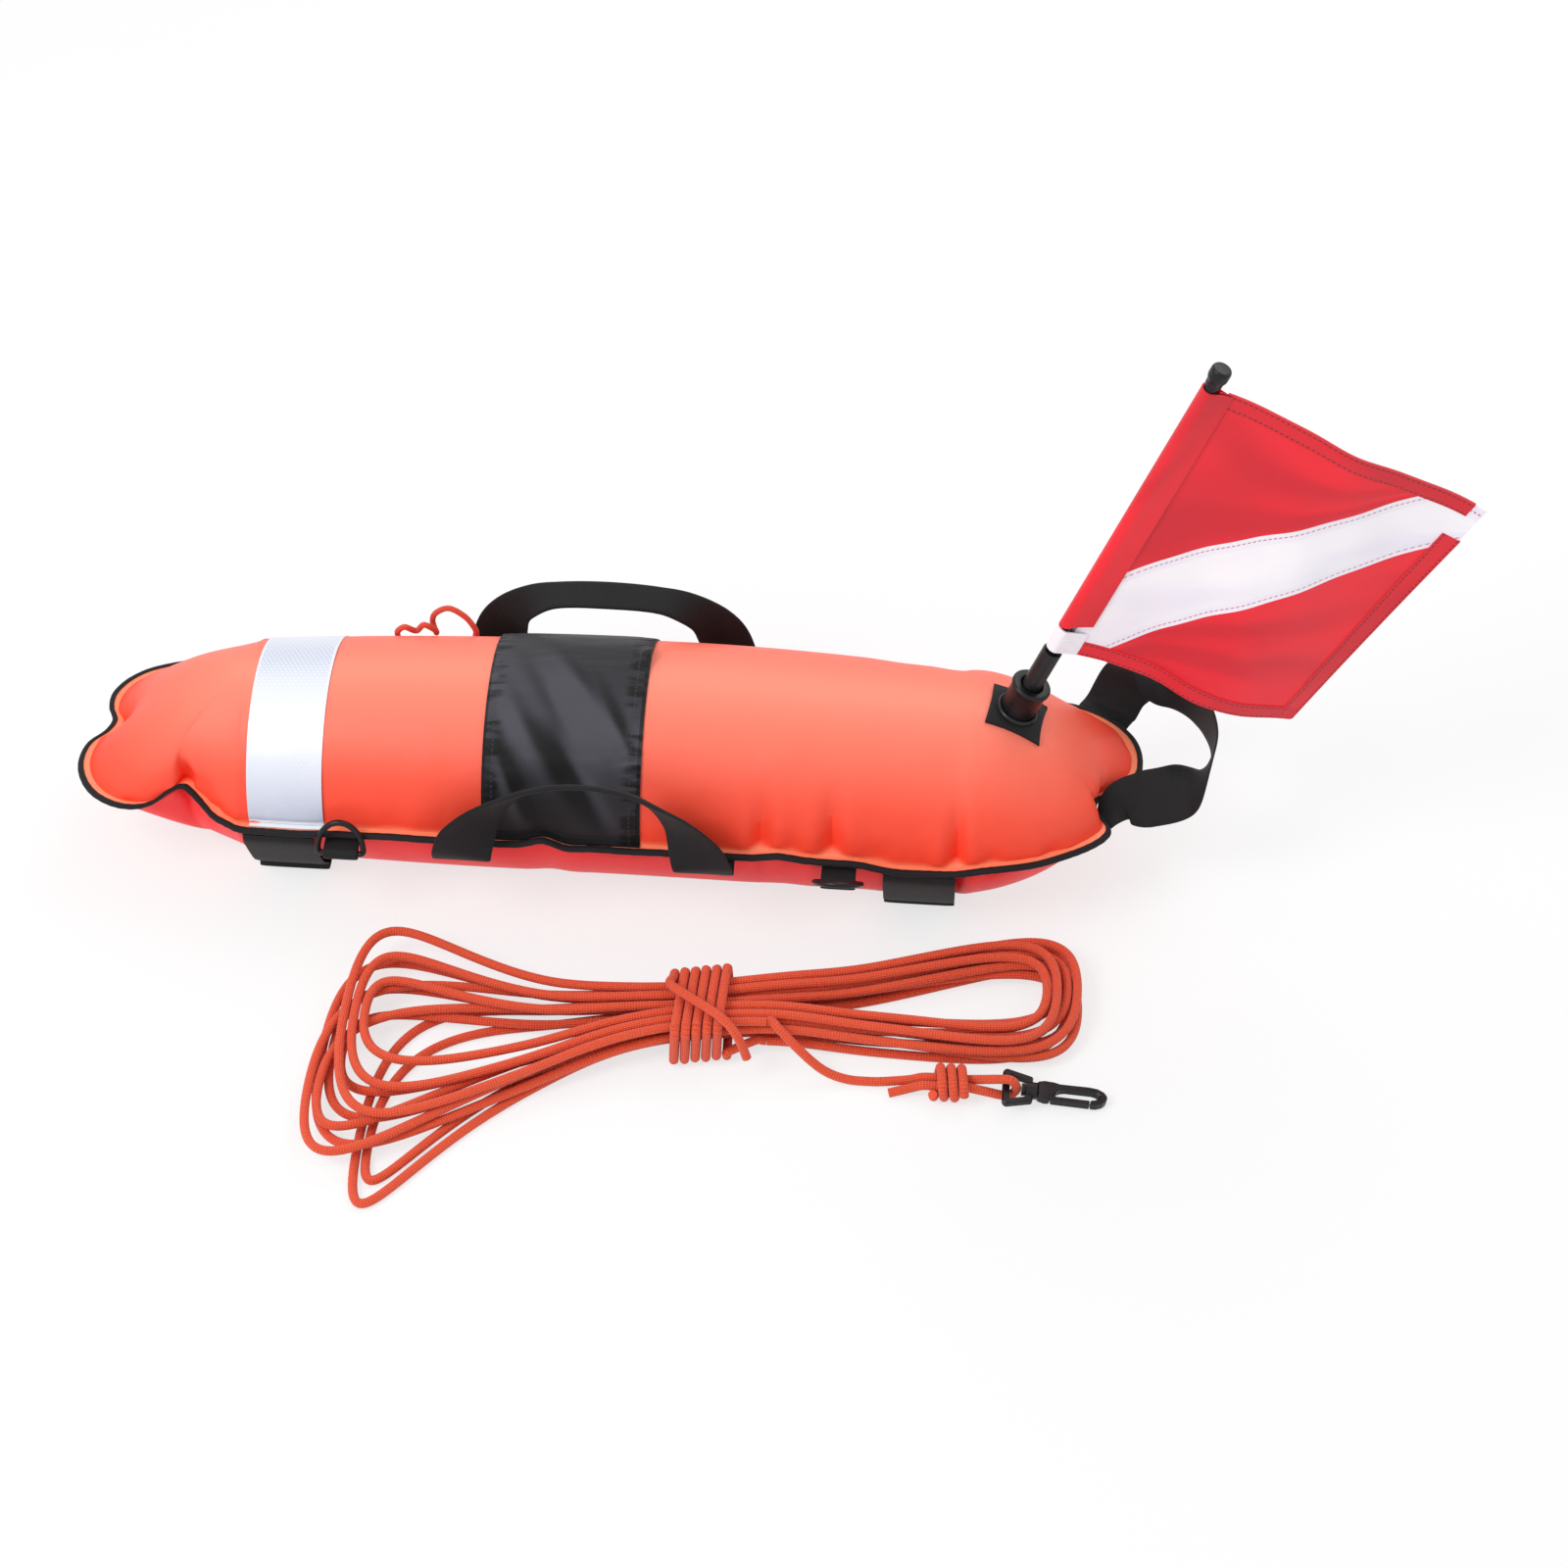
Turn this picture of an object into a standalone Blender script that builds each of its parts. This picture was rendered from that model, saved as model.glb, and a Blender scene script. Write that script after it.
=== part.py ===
"""Inflatable dive buoy: a torpedo-shaped float with a flag on a leaning pole, and its tow rope.

Metres, +Z up. The float lies along X with its nose at +X, and its belly rests on z = 0 at the origin.
The side that faces -Y is called near, the other side far.
"""
import math

import bmesh
import bpy
import numpy as np
from mathutils import Matrix, Vector

# Clearances and cloth thicknesses
GAP = 0.0003
SHEET = 0.0009
TAPE = 0.0007
WEBBING = 0.0018
CUTTER_OVERRUN = 0.002

# Float: two welded sheets, round in section, with a rounded end at each side
AFT_REACH = 0.352
NOSE_REACH = 0.353
AFT_END_LENGTH = 0.117
NOSE_END_LENGTH = 0.117
AFT_RADIUS = 0.0705
NOSE_RADIUS = 0.0740
BELLY_SWELL = 0.0055
FLAT_DEPTH = 0.0015
FLAT_DEG = 79.5
SKIN_ROWS = 5
MIDDLE_STEPS = 11
AFT_STEPS = 26
NOSE_STEPS = 22

# How finely round and bent pieces are divided
SMALL_SIDES = 16
ROUND_SIDES = 24
LARGE_SIDES = 32
HANDLE_STEPS = 29
NOSE_HANDLE_STEPS = 34
STRAP_STEPS = 41
BAND_COLUMNS = 5
PATCH_COLUMNS = 7
BORE_SIDES = 12

# Weld flange all round the seam, and the tape that binds its edge
FLANGE = 0.0070
BINDING_LAP = 0.0040
BINDING_PROUD = 0.0010
EDGE_OUT = FLANGE + BINDING_PROUD
STRAP_DIP_AFT = 0.0020
STRAP_DIP_FORE = 0.0060
STRAP_DIP_REACH = 0.034
CUSP_LIFT = 0.009

# Outer edge of the binding in plan: shares of the end's length and of its half width, far side first
AFT_EDGE_SHARES = [
    (0.0, 1.0), (0.26, 0.99), (0.50, 0.955), (0.77, 0.80), (0.905, 0.57), (0.925, 0.37), (0.880, 0.125),
    (0.99, -0.12), (1.0, -0.40), (0.90, -0.665), (0.71, -0.82), (0.53, -0.79), (0.385, -0.665),
    (0.265, -0.76), (0.145, -0.91), (0.0, -1.0),
]
END_RISE_POWER = 2.2
END_TURN_POWER = 0.75
END_OVAL_SHARE = 0.90
END_OVAL_POWER = 2.6
NOTCH_KEEP_DEG = 16.0
NOTCH_FADE_DEG = 40.0
RISE_STEPS = 61
NOSE_EDGE_SHARES = [
    (0.0, -1.0), (0.30, -0.955), (0.62, -0.765), (0.80, -0.57), (0.825, -0.44), (0.765, -0.31),
    (0.75, -0.17),
    (0.87, -0.03), (0.98, 0.14), (1.0, 0.34), (0.97, 0.52), (0.905, 0.66), (0.80, 0.79), (0.64, 0.90),
    (0.33, 0.98), (0.0, 1.0),
]
CUSP_SHARE = (0.385, -0.665)
CUSP_SPREAD_SHARE = 0.16

# Bands over the upper sheet
REFLECTIVE_X = -0.2045
REFLECTIVE_WIDTH = 0.050
PANEL_X = -0.0230
PANEL_WIDTH = 0.1030
BAND_FOOT_DEG = 6.0

# Webbing handles on both sides, hinged where they leave the seam
HANDLE_X = -0.0075
HANDLE_SPAN = 0.1580
HANDLE_FOOT_WIDTH = 0.038
HANDLE_GRIP_WIDTH = 0.020
HANDLE_GRIP_THICKNESS = 0.0038
HANDLE_OUTREACH = 0.0105
NEAR_HANDLE_RISE = 0.0620
FAR_HANDLE_RISE = 0.0740
HANDLE_HINGE_OUT = 0.0025
NEAR_GRIP_WAY = (0.0, -0.68, -0.73)
FAR_GRIP_WAY = (0.0, -0.95, -0.31)
# (along the half span, outreach, rise, narrowing towards the grip)
HANDLE_PATH_SHARES = [
    (-1.00, 0.00, 0.00, 0.0), (-1.00, 0.45, 0.00, 0.0), (-0.985, 1.00, 0.17, 0.0),
    (-0.92, 0.85, 0.42, 0.05),
    (-0.76, 0.30, 0.70, 0.40), (-0.45, -0.35, 0.93, 1.0), (0.0, -0.62, 1.00, 1.0),
]
# Width directions (along X, out from the float, up) at the same places
HANDLE_WIDTH_SHARES = [
    (1.0, 0.0, 0.0), (1.0, 0.0, 0.0), (0.99, 0.0, -0.14), (0.86, -0.18, -0.46),
    (0.52, -0.50, -0.69), (0.10, -0.68, -0.73), (0.0, -0.68, -0.73),
]

# Nose handle, sewn to the seam at two corners of the nose
NOSE_HANDLE_WIDTH = 0.038
NOSE_GATHERED_WIDTH = 0.0150
NOSE_HANDLE_LEAD = 0.0110
NOSE_FOOT_NEAR_SHARE = (0.765, -0.31)
NOSE_FOOT_FAR_SHARE = (0.76, 0.80)
NOSE_LOOP_REACH = 0.0440
NOSE_LOOP_SPAN = 0.0840
NOSE_LOOP_HEIGHT = 0.1190
# From the near foot out and back to the far foot: reach past the nose, span and height of the loop's middle
# line, with the webbing's width direction at each place
NOSE_ROUTE_SHARES = [
    (0.068, -0.369, 0.559), (0.545, -0.345, 0.639), (0.898, -0.179, 0.782), (1.0, 0.095, 0.916),
    (0.773, 0.393, 1.0), (0.341, 0.679, 1.0), (-0.023, 0.881, 0.882), (-0.295, 1.0, 0.723),
]
NOSE_WIDTH_WAYS = [
    (0.10, 1.0, 0.0), (0.25, 0.90, -0.25), (0.10, 0.74, -0.62), (-0.05, 0.60, -0.78),
    (-0.30, 0.52, -0.78), (-0.62, 0.42, -0.60), (-0.78, 0.52, -0.25), (-0.84, 0.53, -0.06),
]

# D-rings in webbing tabs along the seam
RING_AFT_X = -0.1670
RING_FORE_X = 0.1580
RING_ROD = 0.0040
RING_INNER_WIDTH = 0.0260
RING_DEPTH = 0.0235
RING_CORNER_SHARE = 0.6
TAB_WIDTH = 0.0225
TAB_PLY = 0.0019
TAB_LAP = 0.0055
TAB_BORE_CLEARANCE = 0.0004
TAB_BAR_OUT = 0.0065
NEAR_AFT_RING_DEG = 105.0
NEAR_FORE_RING_DEG = 46.0
FAR_RING_DEG = -78.0

# Webbing straps under the belly
STRAP_AFT_X = -0.2100
STRAP_FORE_X = 0.2100
STRAP_WIDTH = 0.0470
STRAP_FLAT_HALF = 0.0440
# (half width of the float, height of the seam), from under the binding down to the floor
STRAP_KNEE_SHARES = [(0.975, 0.60), (0.83, 0.31), (0.67, 0.11)]

# Pole, its socket and the square patch under it
POLE_FROM_NOSE = 0.0860
POLE_X = NOSE_REACH - POLE_FROM_NOSE
POLE_LEAN_DEG = 19.9
POLE_LENGTH = 0.3000
POLE_DIAMETER = 0.0080
FERRULE_DIAMETER = 0.0130
FERRULE_LENGTH = 0.0560
CAP_DIAMETER = 0.0130
CAP_HEIGHT = 0.0140
CAP_SKIRT = 0.0050
# Outline of the knob over its skirt: shares of its radius and of its height
CAP_SHARES = [(0.80, 0.0), (0.84, 0.30), (1.0, 0.45), (1.0, 0.80), (0.86, 1.0)]
PATCH_SIDE = 0.0360
PATCH_THICKNESS = 0.0015
PATCH_TURN_DEG = -7.0
SOCKET_FLANGE_DIAMETER = 0.0285
SOCKET_FLANGE_THICKNESS = 0.0028
SOCKET_DIAMETER = 0.0240
SOCKET_HEIGHT = 0.0260
SOCKET_FLOOR = 0.0030
SOCKET_LIP = 0.0012
SOCKET_RUN = 0.0004
POLE_TRAVEL = 0.0240
PATCH_CLEARANCE = 0.0005

# Flag: a sleeve round the pole and three sewn cloths with a wave in them
FLAG_HOIST = 0.2330
FLAG_FLY = 0.1960
FLAG_TOP_BELOW_CAP = 0.0030
FLAG_CLOTH = 0.0012
FLAG_SLEEVE_WALL = 0.0011
FLAG_SLEEVE_RUN = 0.0006
FLAG_WAVE = 0.0060
FLAG_DROOP = 0.0150
FLAG_TURN_DEG = -4.0
FLAG_COLUMNS = 12
FLAG_ROWS = 5
FLAG_RISE = 0.0060
FLAG_BEND_POWER = 1.4
FLAG_WAVES = 1.15
FLAG_WAVE_LEAN_SHARE = 0.22
FLAG_LOWER_WAVE_SHARE = 1.5
FLAG_LOWER_REACH_SHARE = 0.79
FLAG_UPPER_REACH_SHARE = 0.930
FLAG_WHITE_END = 0.0220
FLAG_END_BELOW = 0.0010
# The stripe's lower edge starts along the lower hem and ends up the fly edge; its upper edge starts up
# the sleeve and ends along the upper hem
STRIPE_LOW_START_SHARE = 0.12
STRIPE_LOW_END_SHARE = 0.86
STRIPE_HIGH_START_SHARE = 0.28
STRIPE_HIGH_END_SHARE = 0.83
STRIPE_TIP_SHARE = 0.03

# Valve on the far side of the lower sheet
VALVE_X = -0.0075
VALVE_DEG = -24.0
VALVE_FLANGE_DIAMETER = 0.0320
VALVE_FLANGE_THICKNESS = 0.0016
VALVE_NECK_DIAMETER = 0.0170
VALVE_NECK_HEIGHT = 0.0075
VALVE_BORE = 0.0100
VALVE_CAP_DIAMETER = 0.0230
VALVE_CAP_HEIGHT = 0.0090
VALVE_CAP_WALL = 0.0016
VALVE_TRAVEL = 0.0120

# Rope: hank, turns round its waist, lead to the hook
ROPE = 0.0060
ROPE_GAP = 0.0005
ROPE_STEP = ROPE + ROPE_GAP
HANK_LOOPS = 10
HANK_LAYERS = 4
HANK_POINTS = 24
HANK_WAIST = (0.0740, -0.1680)
HANK_HALF_LENGTH = 0.2220
HANK_START_TURN_SHARE = 0.030
HANK_CENTRE_TILT = 0.0450
HANK_CENTRE_BOW = 0.0150
HANK_ROUND_SHARE = 0.8
HANK_LEFT_FAN = 6.0
HANK_RIGHT_FAN = 2.8
HANK_LEFT_OPENING = 0.040
HANK_RIGHT_OPENING = 0.036
HANK_LIFT = 0.0073
HANK_LIFT_REACH_SHARE = 0.35
HANK_BULGE = 0.0028
HANK_LEFT_SPREADS = (-0.052, 0.018, -0.016, 0.044)
HANK_RIGHT_SPREADS = (0.018, -0.003, 0.010, 0.002)
HANK_LEFT_REACHES = (0.030, 0.0, -0.006, 0.012)
HANK_RIGHT_REACHES = (0.0, 0.008, 0.004, -0.006)
CLIMB_TURNS_SHARE = 0.055
HANK_OFF_SHARE = 0.25
WRAP_TURNS = 6
WRAP_CORNER_POINTS = 4
WRAP_IN_STEPS = 7
WRAP_RADIUS = ROPE_STEP + 0.0003
WRAP_PITCH = ROPE_STEP + 0.0002
LIE_HEIGHT = ROPE / 2 + GAP
LEAD_HEIGHT = LIE_HEIGHT + WRAP_RADIUS
OWN_END_DIAMETERS = 4

# The rope's free end over the turns, and its lead from the hank to the knot and through the hook's eye
TAIL_ROUTE = [
    (0.0552, -0.1610, 0.0405), (0.0570, -0.1665, 0.0440), (0.0650, -0.1730, 0.0447),
    (0.0760, -0.1805, 0.0447),
    (0.0870, -0.1880, 0.0447), (0.0960, -0.1945, 0.0420), (0.1030, -0.1995, 0.0330),
    (0.1080, -0.2030, 0.0200),
]
WRAP_LEAD_IN = (-0.0160, -0.0060, 0.0005)
WRAP_TAIL_STEPS = 1.6
LEAD_ROUTE = [
    (0.1280, -0.1860, 0.0290), (0.1430, -0.1955, 0.0190), (0.1570, -0.2005, 0.0090),
    (0.1720, -0.2025, 0.0040),
    (0.1900, -0.2025, 0.0033),
]
LEAD_STEPS = 1.2
LEAD_CROSSING = 0.0012
LANYARD = 0.0040
# Over the float's far side: place along X, degrees up from level, distance out from the sheet
LANYARD_OVER = [
    (-0.1530, 6, 0.0150), (-0.1510, 20, 0.0070), (-0.1485, 34, 0.0042), (-0.1460, 42, 0.0046),
    (-0.1425, 46, 0.0062),
    (-0.1385, 44, 0.0055), (-0.1360, 40, 0.0036), (-0.1330, 42, 0.0048), (-0.1285, 47, 0.0075),
    (-0.1235, 45, 0.0065),
    (-0.1215, 38, 0.0036), (-0.1235, 31, 0.0060), (-0.1250, 36, 0.0115), (-0.1210, 43, 0.0160),
    (-0.1130, 46, 0.0185),
    (-0.1040, 45, 0.0150), (-0.0975, 41, 0.0080), (-0.0950, 34, 0.0040), (-0.0990, 25, 0.0030),
    (-0.1070, 16, 0.0036), (-0.1125, 8, 0.0090), (-0.1140, -2, 0.0130), (-0.1130, -14, 0.0150),
]
# Along the floor behind the float: place along X, distance out from the binding's edge, height
LANYARD_DOWN = [
    (-0.1080, 0.0280, 0.0350), (-0.0950, 0.0360, 0.0100), (-0.0700, 0.0390, 0.0), (-0.0300, 0.0380, 0.0),
    (0.0200, 0.0350, 0.0), (0.0600, 0.0310, 0.0), (0.0880, 0.0265, 0.0060), (0.1040, 0.0225, 0.0240),
    (0.1140, 0.0170, 0.0460), (0.1240, 0.0112, 0.0660), (0.1370, 0.0072, 0.0758),
]
LANYARD_KNOT = 0.0098
# Outline of the lanyard's knots: shares of their radius, across and along
LANYARD_KNOT_SHARES = [(0, -1), (0.80, -0.72), (1, -0.35), (0.80, 0), (1, 0.35), (0.80, 0.72), (0, 1)]
LANYARD_STEPS = 2.9

# Knot: turns round the doubled lead
KNOT_X = 0.2270
KNOT_Y = -0.2050
KNOT_TURNS = 3
KNOT_APPROACH = 0.0140

# Swivel snap hook, lying flat
HOOK_X = 0.2730
HOOK_SIDE = 0.0012
HOOK_THICKNESS = 0.0066
HOOK_EYE_LENGTH = 0.0195
HOOK_EYE_WIDTH = 0.0290
HOOK_EYE_BAR = 0.0046
HOOK_EYE_NARROW_SHARE = 0.34
HOOK_WINDOW_SHARE = 0.62
HOOK_BOSS_DIAMETER = 0.0110
HOOK_BOSS_LENGTH = 0.0070
HOOK_STEM = 0.0046
HOOK_STEM_RUN = 0.0003
HOOK_HEAD_DIAMETER = 0.0080
HOOK_HEAD_LENGTH = 0.0022
HOOK_BODY_LENGTH = 0.0450
HOOK_BODY_WIDTH = 0.0165
HOOK_EDGE = 0.0009
GATE_THICKNESS = 0.0030
GATE_DEPTH = 0.0050
# Hook body in plan: shares of its length and of its width, from the collar round the bend to the beak
HOOK_BODY_SHARES = [
    (0.0, -0.36), (0.0, 0.36), (0.10, 0.44), (0.24, 0.42), (0.32, 0.36), (0.74, 0.38), (0.86, 0.34),
    (0.955, 0.20), (1.0, 0.0), (0.985, -0.18), (0.93, -0.34), (0.85, -0.44), (0.76, -0.47), (0.755, -0.25),
    (0.82, -0.22), (0.87, -0.13), (0.885, 0.0), (0.85, 0.10), (0.77, 0.15), (0.40, 0.14), (0.31, 0.08),
    (0.27, -0.04), (0.265, -0.20), (0.19, -0.24), (0.18, -0.44), (0.10, -0.45),
]
GATE_PIN_SHARE = (0.225, -0.36)
GATE_TIP_SHARE = 0.745

BLACK = (0.018, 0.017, 0.018)
ORANGE = (0.95, 0.13, 0.045)
CORD_ORANGE = (0.90, 0.09, 0.02)


def clear_scene():
    """Start from an empty scene."""
    for item in list(bpy.data.objects):
        bpy.data.objects.remove(item, do_unlink=True)


def finish(name, colour, roughness, metallic=0.0):
    """A plain material in the piece's colour."""
    made = bpy.data.materials.new(name)
    made.use_nodes = True
    shader = made.node_tree.nodes["Principled BSDF"]
    shader.inputs["Base Color"].default_value = (*colour, 1.0)
    shader.inputs["Roughness"].default_value = roughness
    shader.inputs["Metallic"].default_value = metallic
    return made


def add_object(name, data, look):
    """Link an object for a mesh or curve and give it its own material."""
    item = bpy.data.objects.new(name, data)
    bpy.context.scene.collection.objects.link(item)
    data.materials.append(finish(name, *look))
    return item


def add_mesh(name, points, faces, look, smooth_deg=35.0):
    """A closed mesh with its faces turned outwards."""
    mesh = bpy.data.meshes.new(name)
    work = bmesh.new()
    corners = [work.verts.new(tuple(p)) for p in points]
    for face in faces:
        work.faces.new([corners[i] for i in face])
    bmesh.ops.recalc_face_normals(work, faces=work.faces)
    work.to_mesh(mesh)
    work.free()
    mesh.shade_smooth()
    mesh.set_sharp_from_angle(angle=math.radians(smooth_deg))
    return add_object(name, mesh, look)


def pivot(name, place, turn=None):
    """An empty on a joint's axis, or one that carries a tilted group."""
    empty = bpy.data.objects.new(name, None)
    bpy.context.scene.collection.objects.link(empty)
    empty.matrix_world = Matrix.Translation(place) @ (turn or Matrix.Identity(4))
    return empty


def attach(item, carrier, keep_world=True):
    """Parent a piece to an empty, either where it already is or in the empty's own space."""
    bpy.context.view_layer.update()
    item.parent = carrier
    if keep_world:
        item.matrix_parent_inverse = carrier.matrix_world.inverted()


def combine(item, other, operation):
    """Join or cut a piece with another shape, and remove that shape."""
    step = item.modifiers.new("combine", "BOOLEAN")
    step.operation = operation
    step.solver = "EXACT"
    step.object = other
    bpy.context.view_layer.update()
    shape = bpy.data.meshes.new_from_object(item.evaluated_get(bpy.context.evaluated_depsgraph_get()))
    item.modifiers.clear()
    old, item.data = item.data, shape
    bpy.data.meshes.remove(old)
    bpy.data.objects.remove(other, do_unlink=True)


def through_points(rows, count):
    """Rows read from a smooth Catmull-Rom curve through the given rows, at even steps of its own count."""
    rows = np.asarray(rows, float)
    ends = [2 * rows[0] - rows[1]], [2 * rows[-1] - rows[-2]]
    knots = np.concatenate([ends[0], rows, ends[1]])
    place = np.linspace(0, len(rows) - 1, count)
    first = np.minimum(place.astype(int), len(rows) - 2)
    t = (place - first)[:, None]
    a, b, c, d = (knots[first + k] for k in range(4))
    return 0.5 * (2 * b + (c - a) * t + (2 * a - 5 * b + 4 * c - d) * t**2 + (3 * b - a - 3 * c + d) * t**3)


def even_steps(points, count):
    """The same polyline read at even distances."""
    length = np.concatenate([[0], np.cumsum(np.linalg.norm(np.diff(points, axis=0), axis=1))])
    wanted = np.linspace(0, length[-1], count)
    return np.stack([np.interp(wanted, length, points[:, k]) for k in range(3)], axis=1)


def route_steps(route, diameter, per_diameter=2.4):
    """A cord's smooth route with a point every two or three diameters."""
    fine = through_points(route, 12 * len(route))
    length = np.linalg.norm(np.diff(fine, axis=0), axis=1).sum()
    return even_steps(fine, max(6, int(length / (per_diameter * diameter))))


def straight_ended(first, route, last, diameter, per_diameter):
    """A cord's points: straight first and last pieces of two points, and a smooth route between."""
    middle = route_steps([first[1], *route, last[0]], diameter, per_diameter)
    return np.concatenate([[first[0]], middle, [last[1]]])


def cord(name, points, diameter, sides_step, look, cyclic=False):
    """A round cord: a poly curve with a bevel and filled caps."""
    curve = bpy.data.curves.new(name, "CURVE")
    curve.dimensions = "3D"
    spline = curve.splines.new("POLY")
    spline.points.add(len(points) - 1)
    for slot, place in zip(spline.points, points):
        slot.co = (*place, 1.0)
    spline.use_cyclic_u = cyclic
    curve.bevel_depth = diameter / 2
    curve.bevel_resolution = sides_step
    curve.use_fill_caps = True
    return add_object(name, curve, look)


def strip(name, centres, width_ways, widths, thicknesses, look, facing=None):
    """A flat strap: a box section carried along a path, its width turned to the given directions.

    Its two end faces look along the path, or along the two directions in facing.
    """
    centres = np.asarray(centres, float)
    along = np.gradient(centres, axis=0)
    if facing is not None:
        along[[0, -1]] = facing
    along /= np.linalg.norm(along, axis=1)[:, None]
    across = width_ways - (width_ways * along).sum(1)[:, None] * along
    across /= np.linalg.norm(across, axis=1)[:, None]
    up = np.cross(along, across)
    half, thick = np.asarray(widths)[:, None] / 2, np.asarray(thicknesses)[:, None] / 2
    signs = ((-1, -1), (1, -1), (1, 1), (-1, 1))
    corners = [centres + a * across * half + b * up * thick for a, b in signs]
    points = np.stack(corners, axis=1).reshape(-1, 3)
    return add_mesh(name, points, ring_faces(len(centres), 4), look)


def ring_faces(rings, sides, closed=False):
    """Faces of a tube whose rings follow each other, with both ends filled unless it closes on itself."""
    last = rings if closed else rings - 1
    faces = [
        (i * sides + j, i * sides + (j + 1) % sides, ((i + 1) % rings) * sides + (j + 1) % sides,
         ((i + 1) % rings) * sides + j)
        for i in range(last) for j in range(sides)
    ]
    if not closed:
        faces += [tuple(range(sides)), tuple((rings - 1) * sides + j for j in range(sides))]
    return faces


def turned(name, profile, sides, look, smooth_deg=35.0):
    """A turned piece about Z; its profile of (radius, height) closes over the axis or on itself."""
    points, rings, angles = [], [], [2 * math.pi * k / sides for k in range(sides)]
    for radius, height in profile:
        start = len(points)
        if radius == 0:
            points.append((0, 0, height))
            rings.append([start] * sides)
        else:
            points += [(radius * math.cos(a), radius * math.sin(a), height) for a in angles]
            rings.append(list(range(start, start + sides)))
    solid = profile[0][0] == 0 and profile[-1][0] == 0
    pairs = list(zip(rings, rings[1:])) + ([] if solid else [(rings[-1], rings[0])])
    faces = []
    for low, high in pairs:
        for k in range(sides):
            corner = [low[k], low[(k + 1) % sides], high[(k + 1) % sides], high[k]]
            faces.append(list(dict.fromkeys(corner)))
    return add_mesh(name, points, faces, look, smooth_deg)


def prism(name, outline, low, high, look):
    """A flat piece: an outline in X and Y raised from one height to another."""
    count = len(outline)
    points = [(x, y, z) for z in (low, high) for x, y in outline]
    sides = [(k, (k + 1) % count, (k + 1) % count + count, k + count) for k in range(count)]
    faces = [tuple(range(count)), tuple(range(count, 2 * count))] + sides
    return add_mesh(name, points, faces, look)


# The float's shape

def body_radius(x):
    """Radius of the float's section, swelling towards the middle of its straight part."""
    start, end = -AFT_REACH + AFT_END_LENGTH, NOSE_REACH - NOSE_END_LENGTH
    share = np.clip((np.asarray(x, float) - start) / (end - start), 0, 1)
    return AFT_RADIUS + (NOSE_RADIUS - AFT_RADIUS) * share + BELLY_SWELL * np.sin(math.pi * share)


def stations():
    """Places along X of the sections in the float's straight part, with one on each belly strap."""
    half = STRAP_WIDTH / 2
    middle = np.linspace(STRAP_AFT_X + half, STRAP_FORE_X - half, MIDDLE_STEPS + 1)
    first, last = -AFT_REACH + AFT_END_LENGTH, NOSE_REACH - NOSE_END_LENGTH
    return np.concatenate([[first, STRAP_AFT_X], middle, [STRAP_FORE_X, last]])


def seam_height(x, y):
    """Height of the seam: level with the section's middle, pulled down beside each belly strap."""
    base = body_radius(x) - FLAT_DEPTH
    straps = ((STRAP_AFT_X, STRAP_DIP_AFT), (STRAP_FORE_X, STRAP_DIP_FORE))
    dip = sum(depth * np.exp(-(((x - place) / STRAP_DIP_REACH) ** 4)) for place, depth in straps)
    cusp_x = -AFT_REACH + AFT_END_LENGTH - CUSP_SHARE[0] * AFT_END_LENGTH
    cusp_y = CUSP_SHARE[1] * (AFT_RADIUS + EDGE_OUT)
    away = np.hypot(x - cusp_x, y - cusp_y) / (CUSP_SPREAD_SHARE * AFT_END_LENGTH)
    return base - dip + CUSP_LIFT * np.exp(-away**2)


def side_seam(x):
    """Height of the seam along the straight sides, where it runs straight between stations."""
    places = stations()
    return float(np.interp(x, places, seam_height(places, body_radius(places))))


def binding_under(x, width=0.0):
    """Height of the binding's underside along the straight sides, at its lowest within a width."""
    places = [x - width / 2, x, x + width / 2] + [s for s in stations() if abs(s - x) < width / 2]
    return min(side_seam(place) for place in places) - GAP / 2 - SHEET - GAP - TAPE


def edge_ring():
    """Plan of the binding's outer edge with the spine point that each place is drawn from.

    Runs along the near side to the nose, round it, back along the far side and round the aft end.
    Also gives each place's number on the crest line.
    """
    along = stations()
    start, end = along[0], along[-1]
    half = body_radius(along) + EDGE_OUT
    near, far = np.stack([along, -half], 1), np.stack([along, half], 1)[::-1]
    nose_size = (NOSE_END_LENGTH, NOSE_RADIUS + EDGE_OUT)
    aft_size = (-AFT_END_LENGTH, AFT_RADIUS + EDGE_OUT)
    nose = through_points(NOSE_EDGE_SHARES, NOSE_STEPS + 1)[1:-1] * nose_size + (end, 0)
    aft = through_points(AFT_EDGE_SHARES, AFT_STEPS + 1)[1:-1] * aft_size + (start, 0)
    outer = np.concatenate([near, nose, far, aft])
    spine_x = np.concatenate([along, np.full(len(nose), end), along[::-1], np.full(len(aft), start)])
    order = np.arange(len(along))
    crest = np.concatenate([order, np.full(len(nose), order[-1]), order[::-1], np.zeros(len(aft), int)])
    return outer, np.stack([spine_x, 0 * spine_x], 1), crest.astype(int)


def moved_in(outer, spine, distance):
    """Plan points moved from the outer edge towards the spine."""
    way = outer - spine
    return outer - distance * way / np.linalg.norm(way, axis=1)[:, None]


def belly_floor(x):
    """Lowest height of the lower sheet: the floor, or just above a strap."""
    reach = STRAP_WIDTH / 2 + CUTTER_OVERRUN
    above = (np.abs(x - STRAP_AFT_X) < reach) | (np.abs(x - STRAP_FORE_X) < reach)
    return np.where(above | (x < STRAP_AFT_X) | (x > STRAP_FORE_X), WEBBING + GAP, 0.0)


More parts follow.
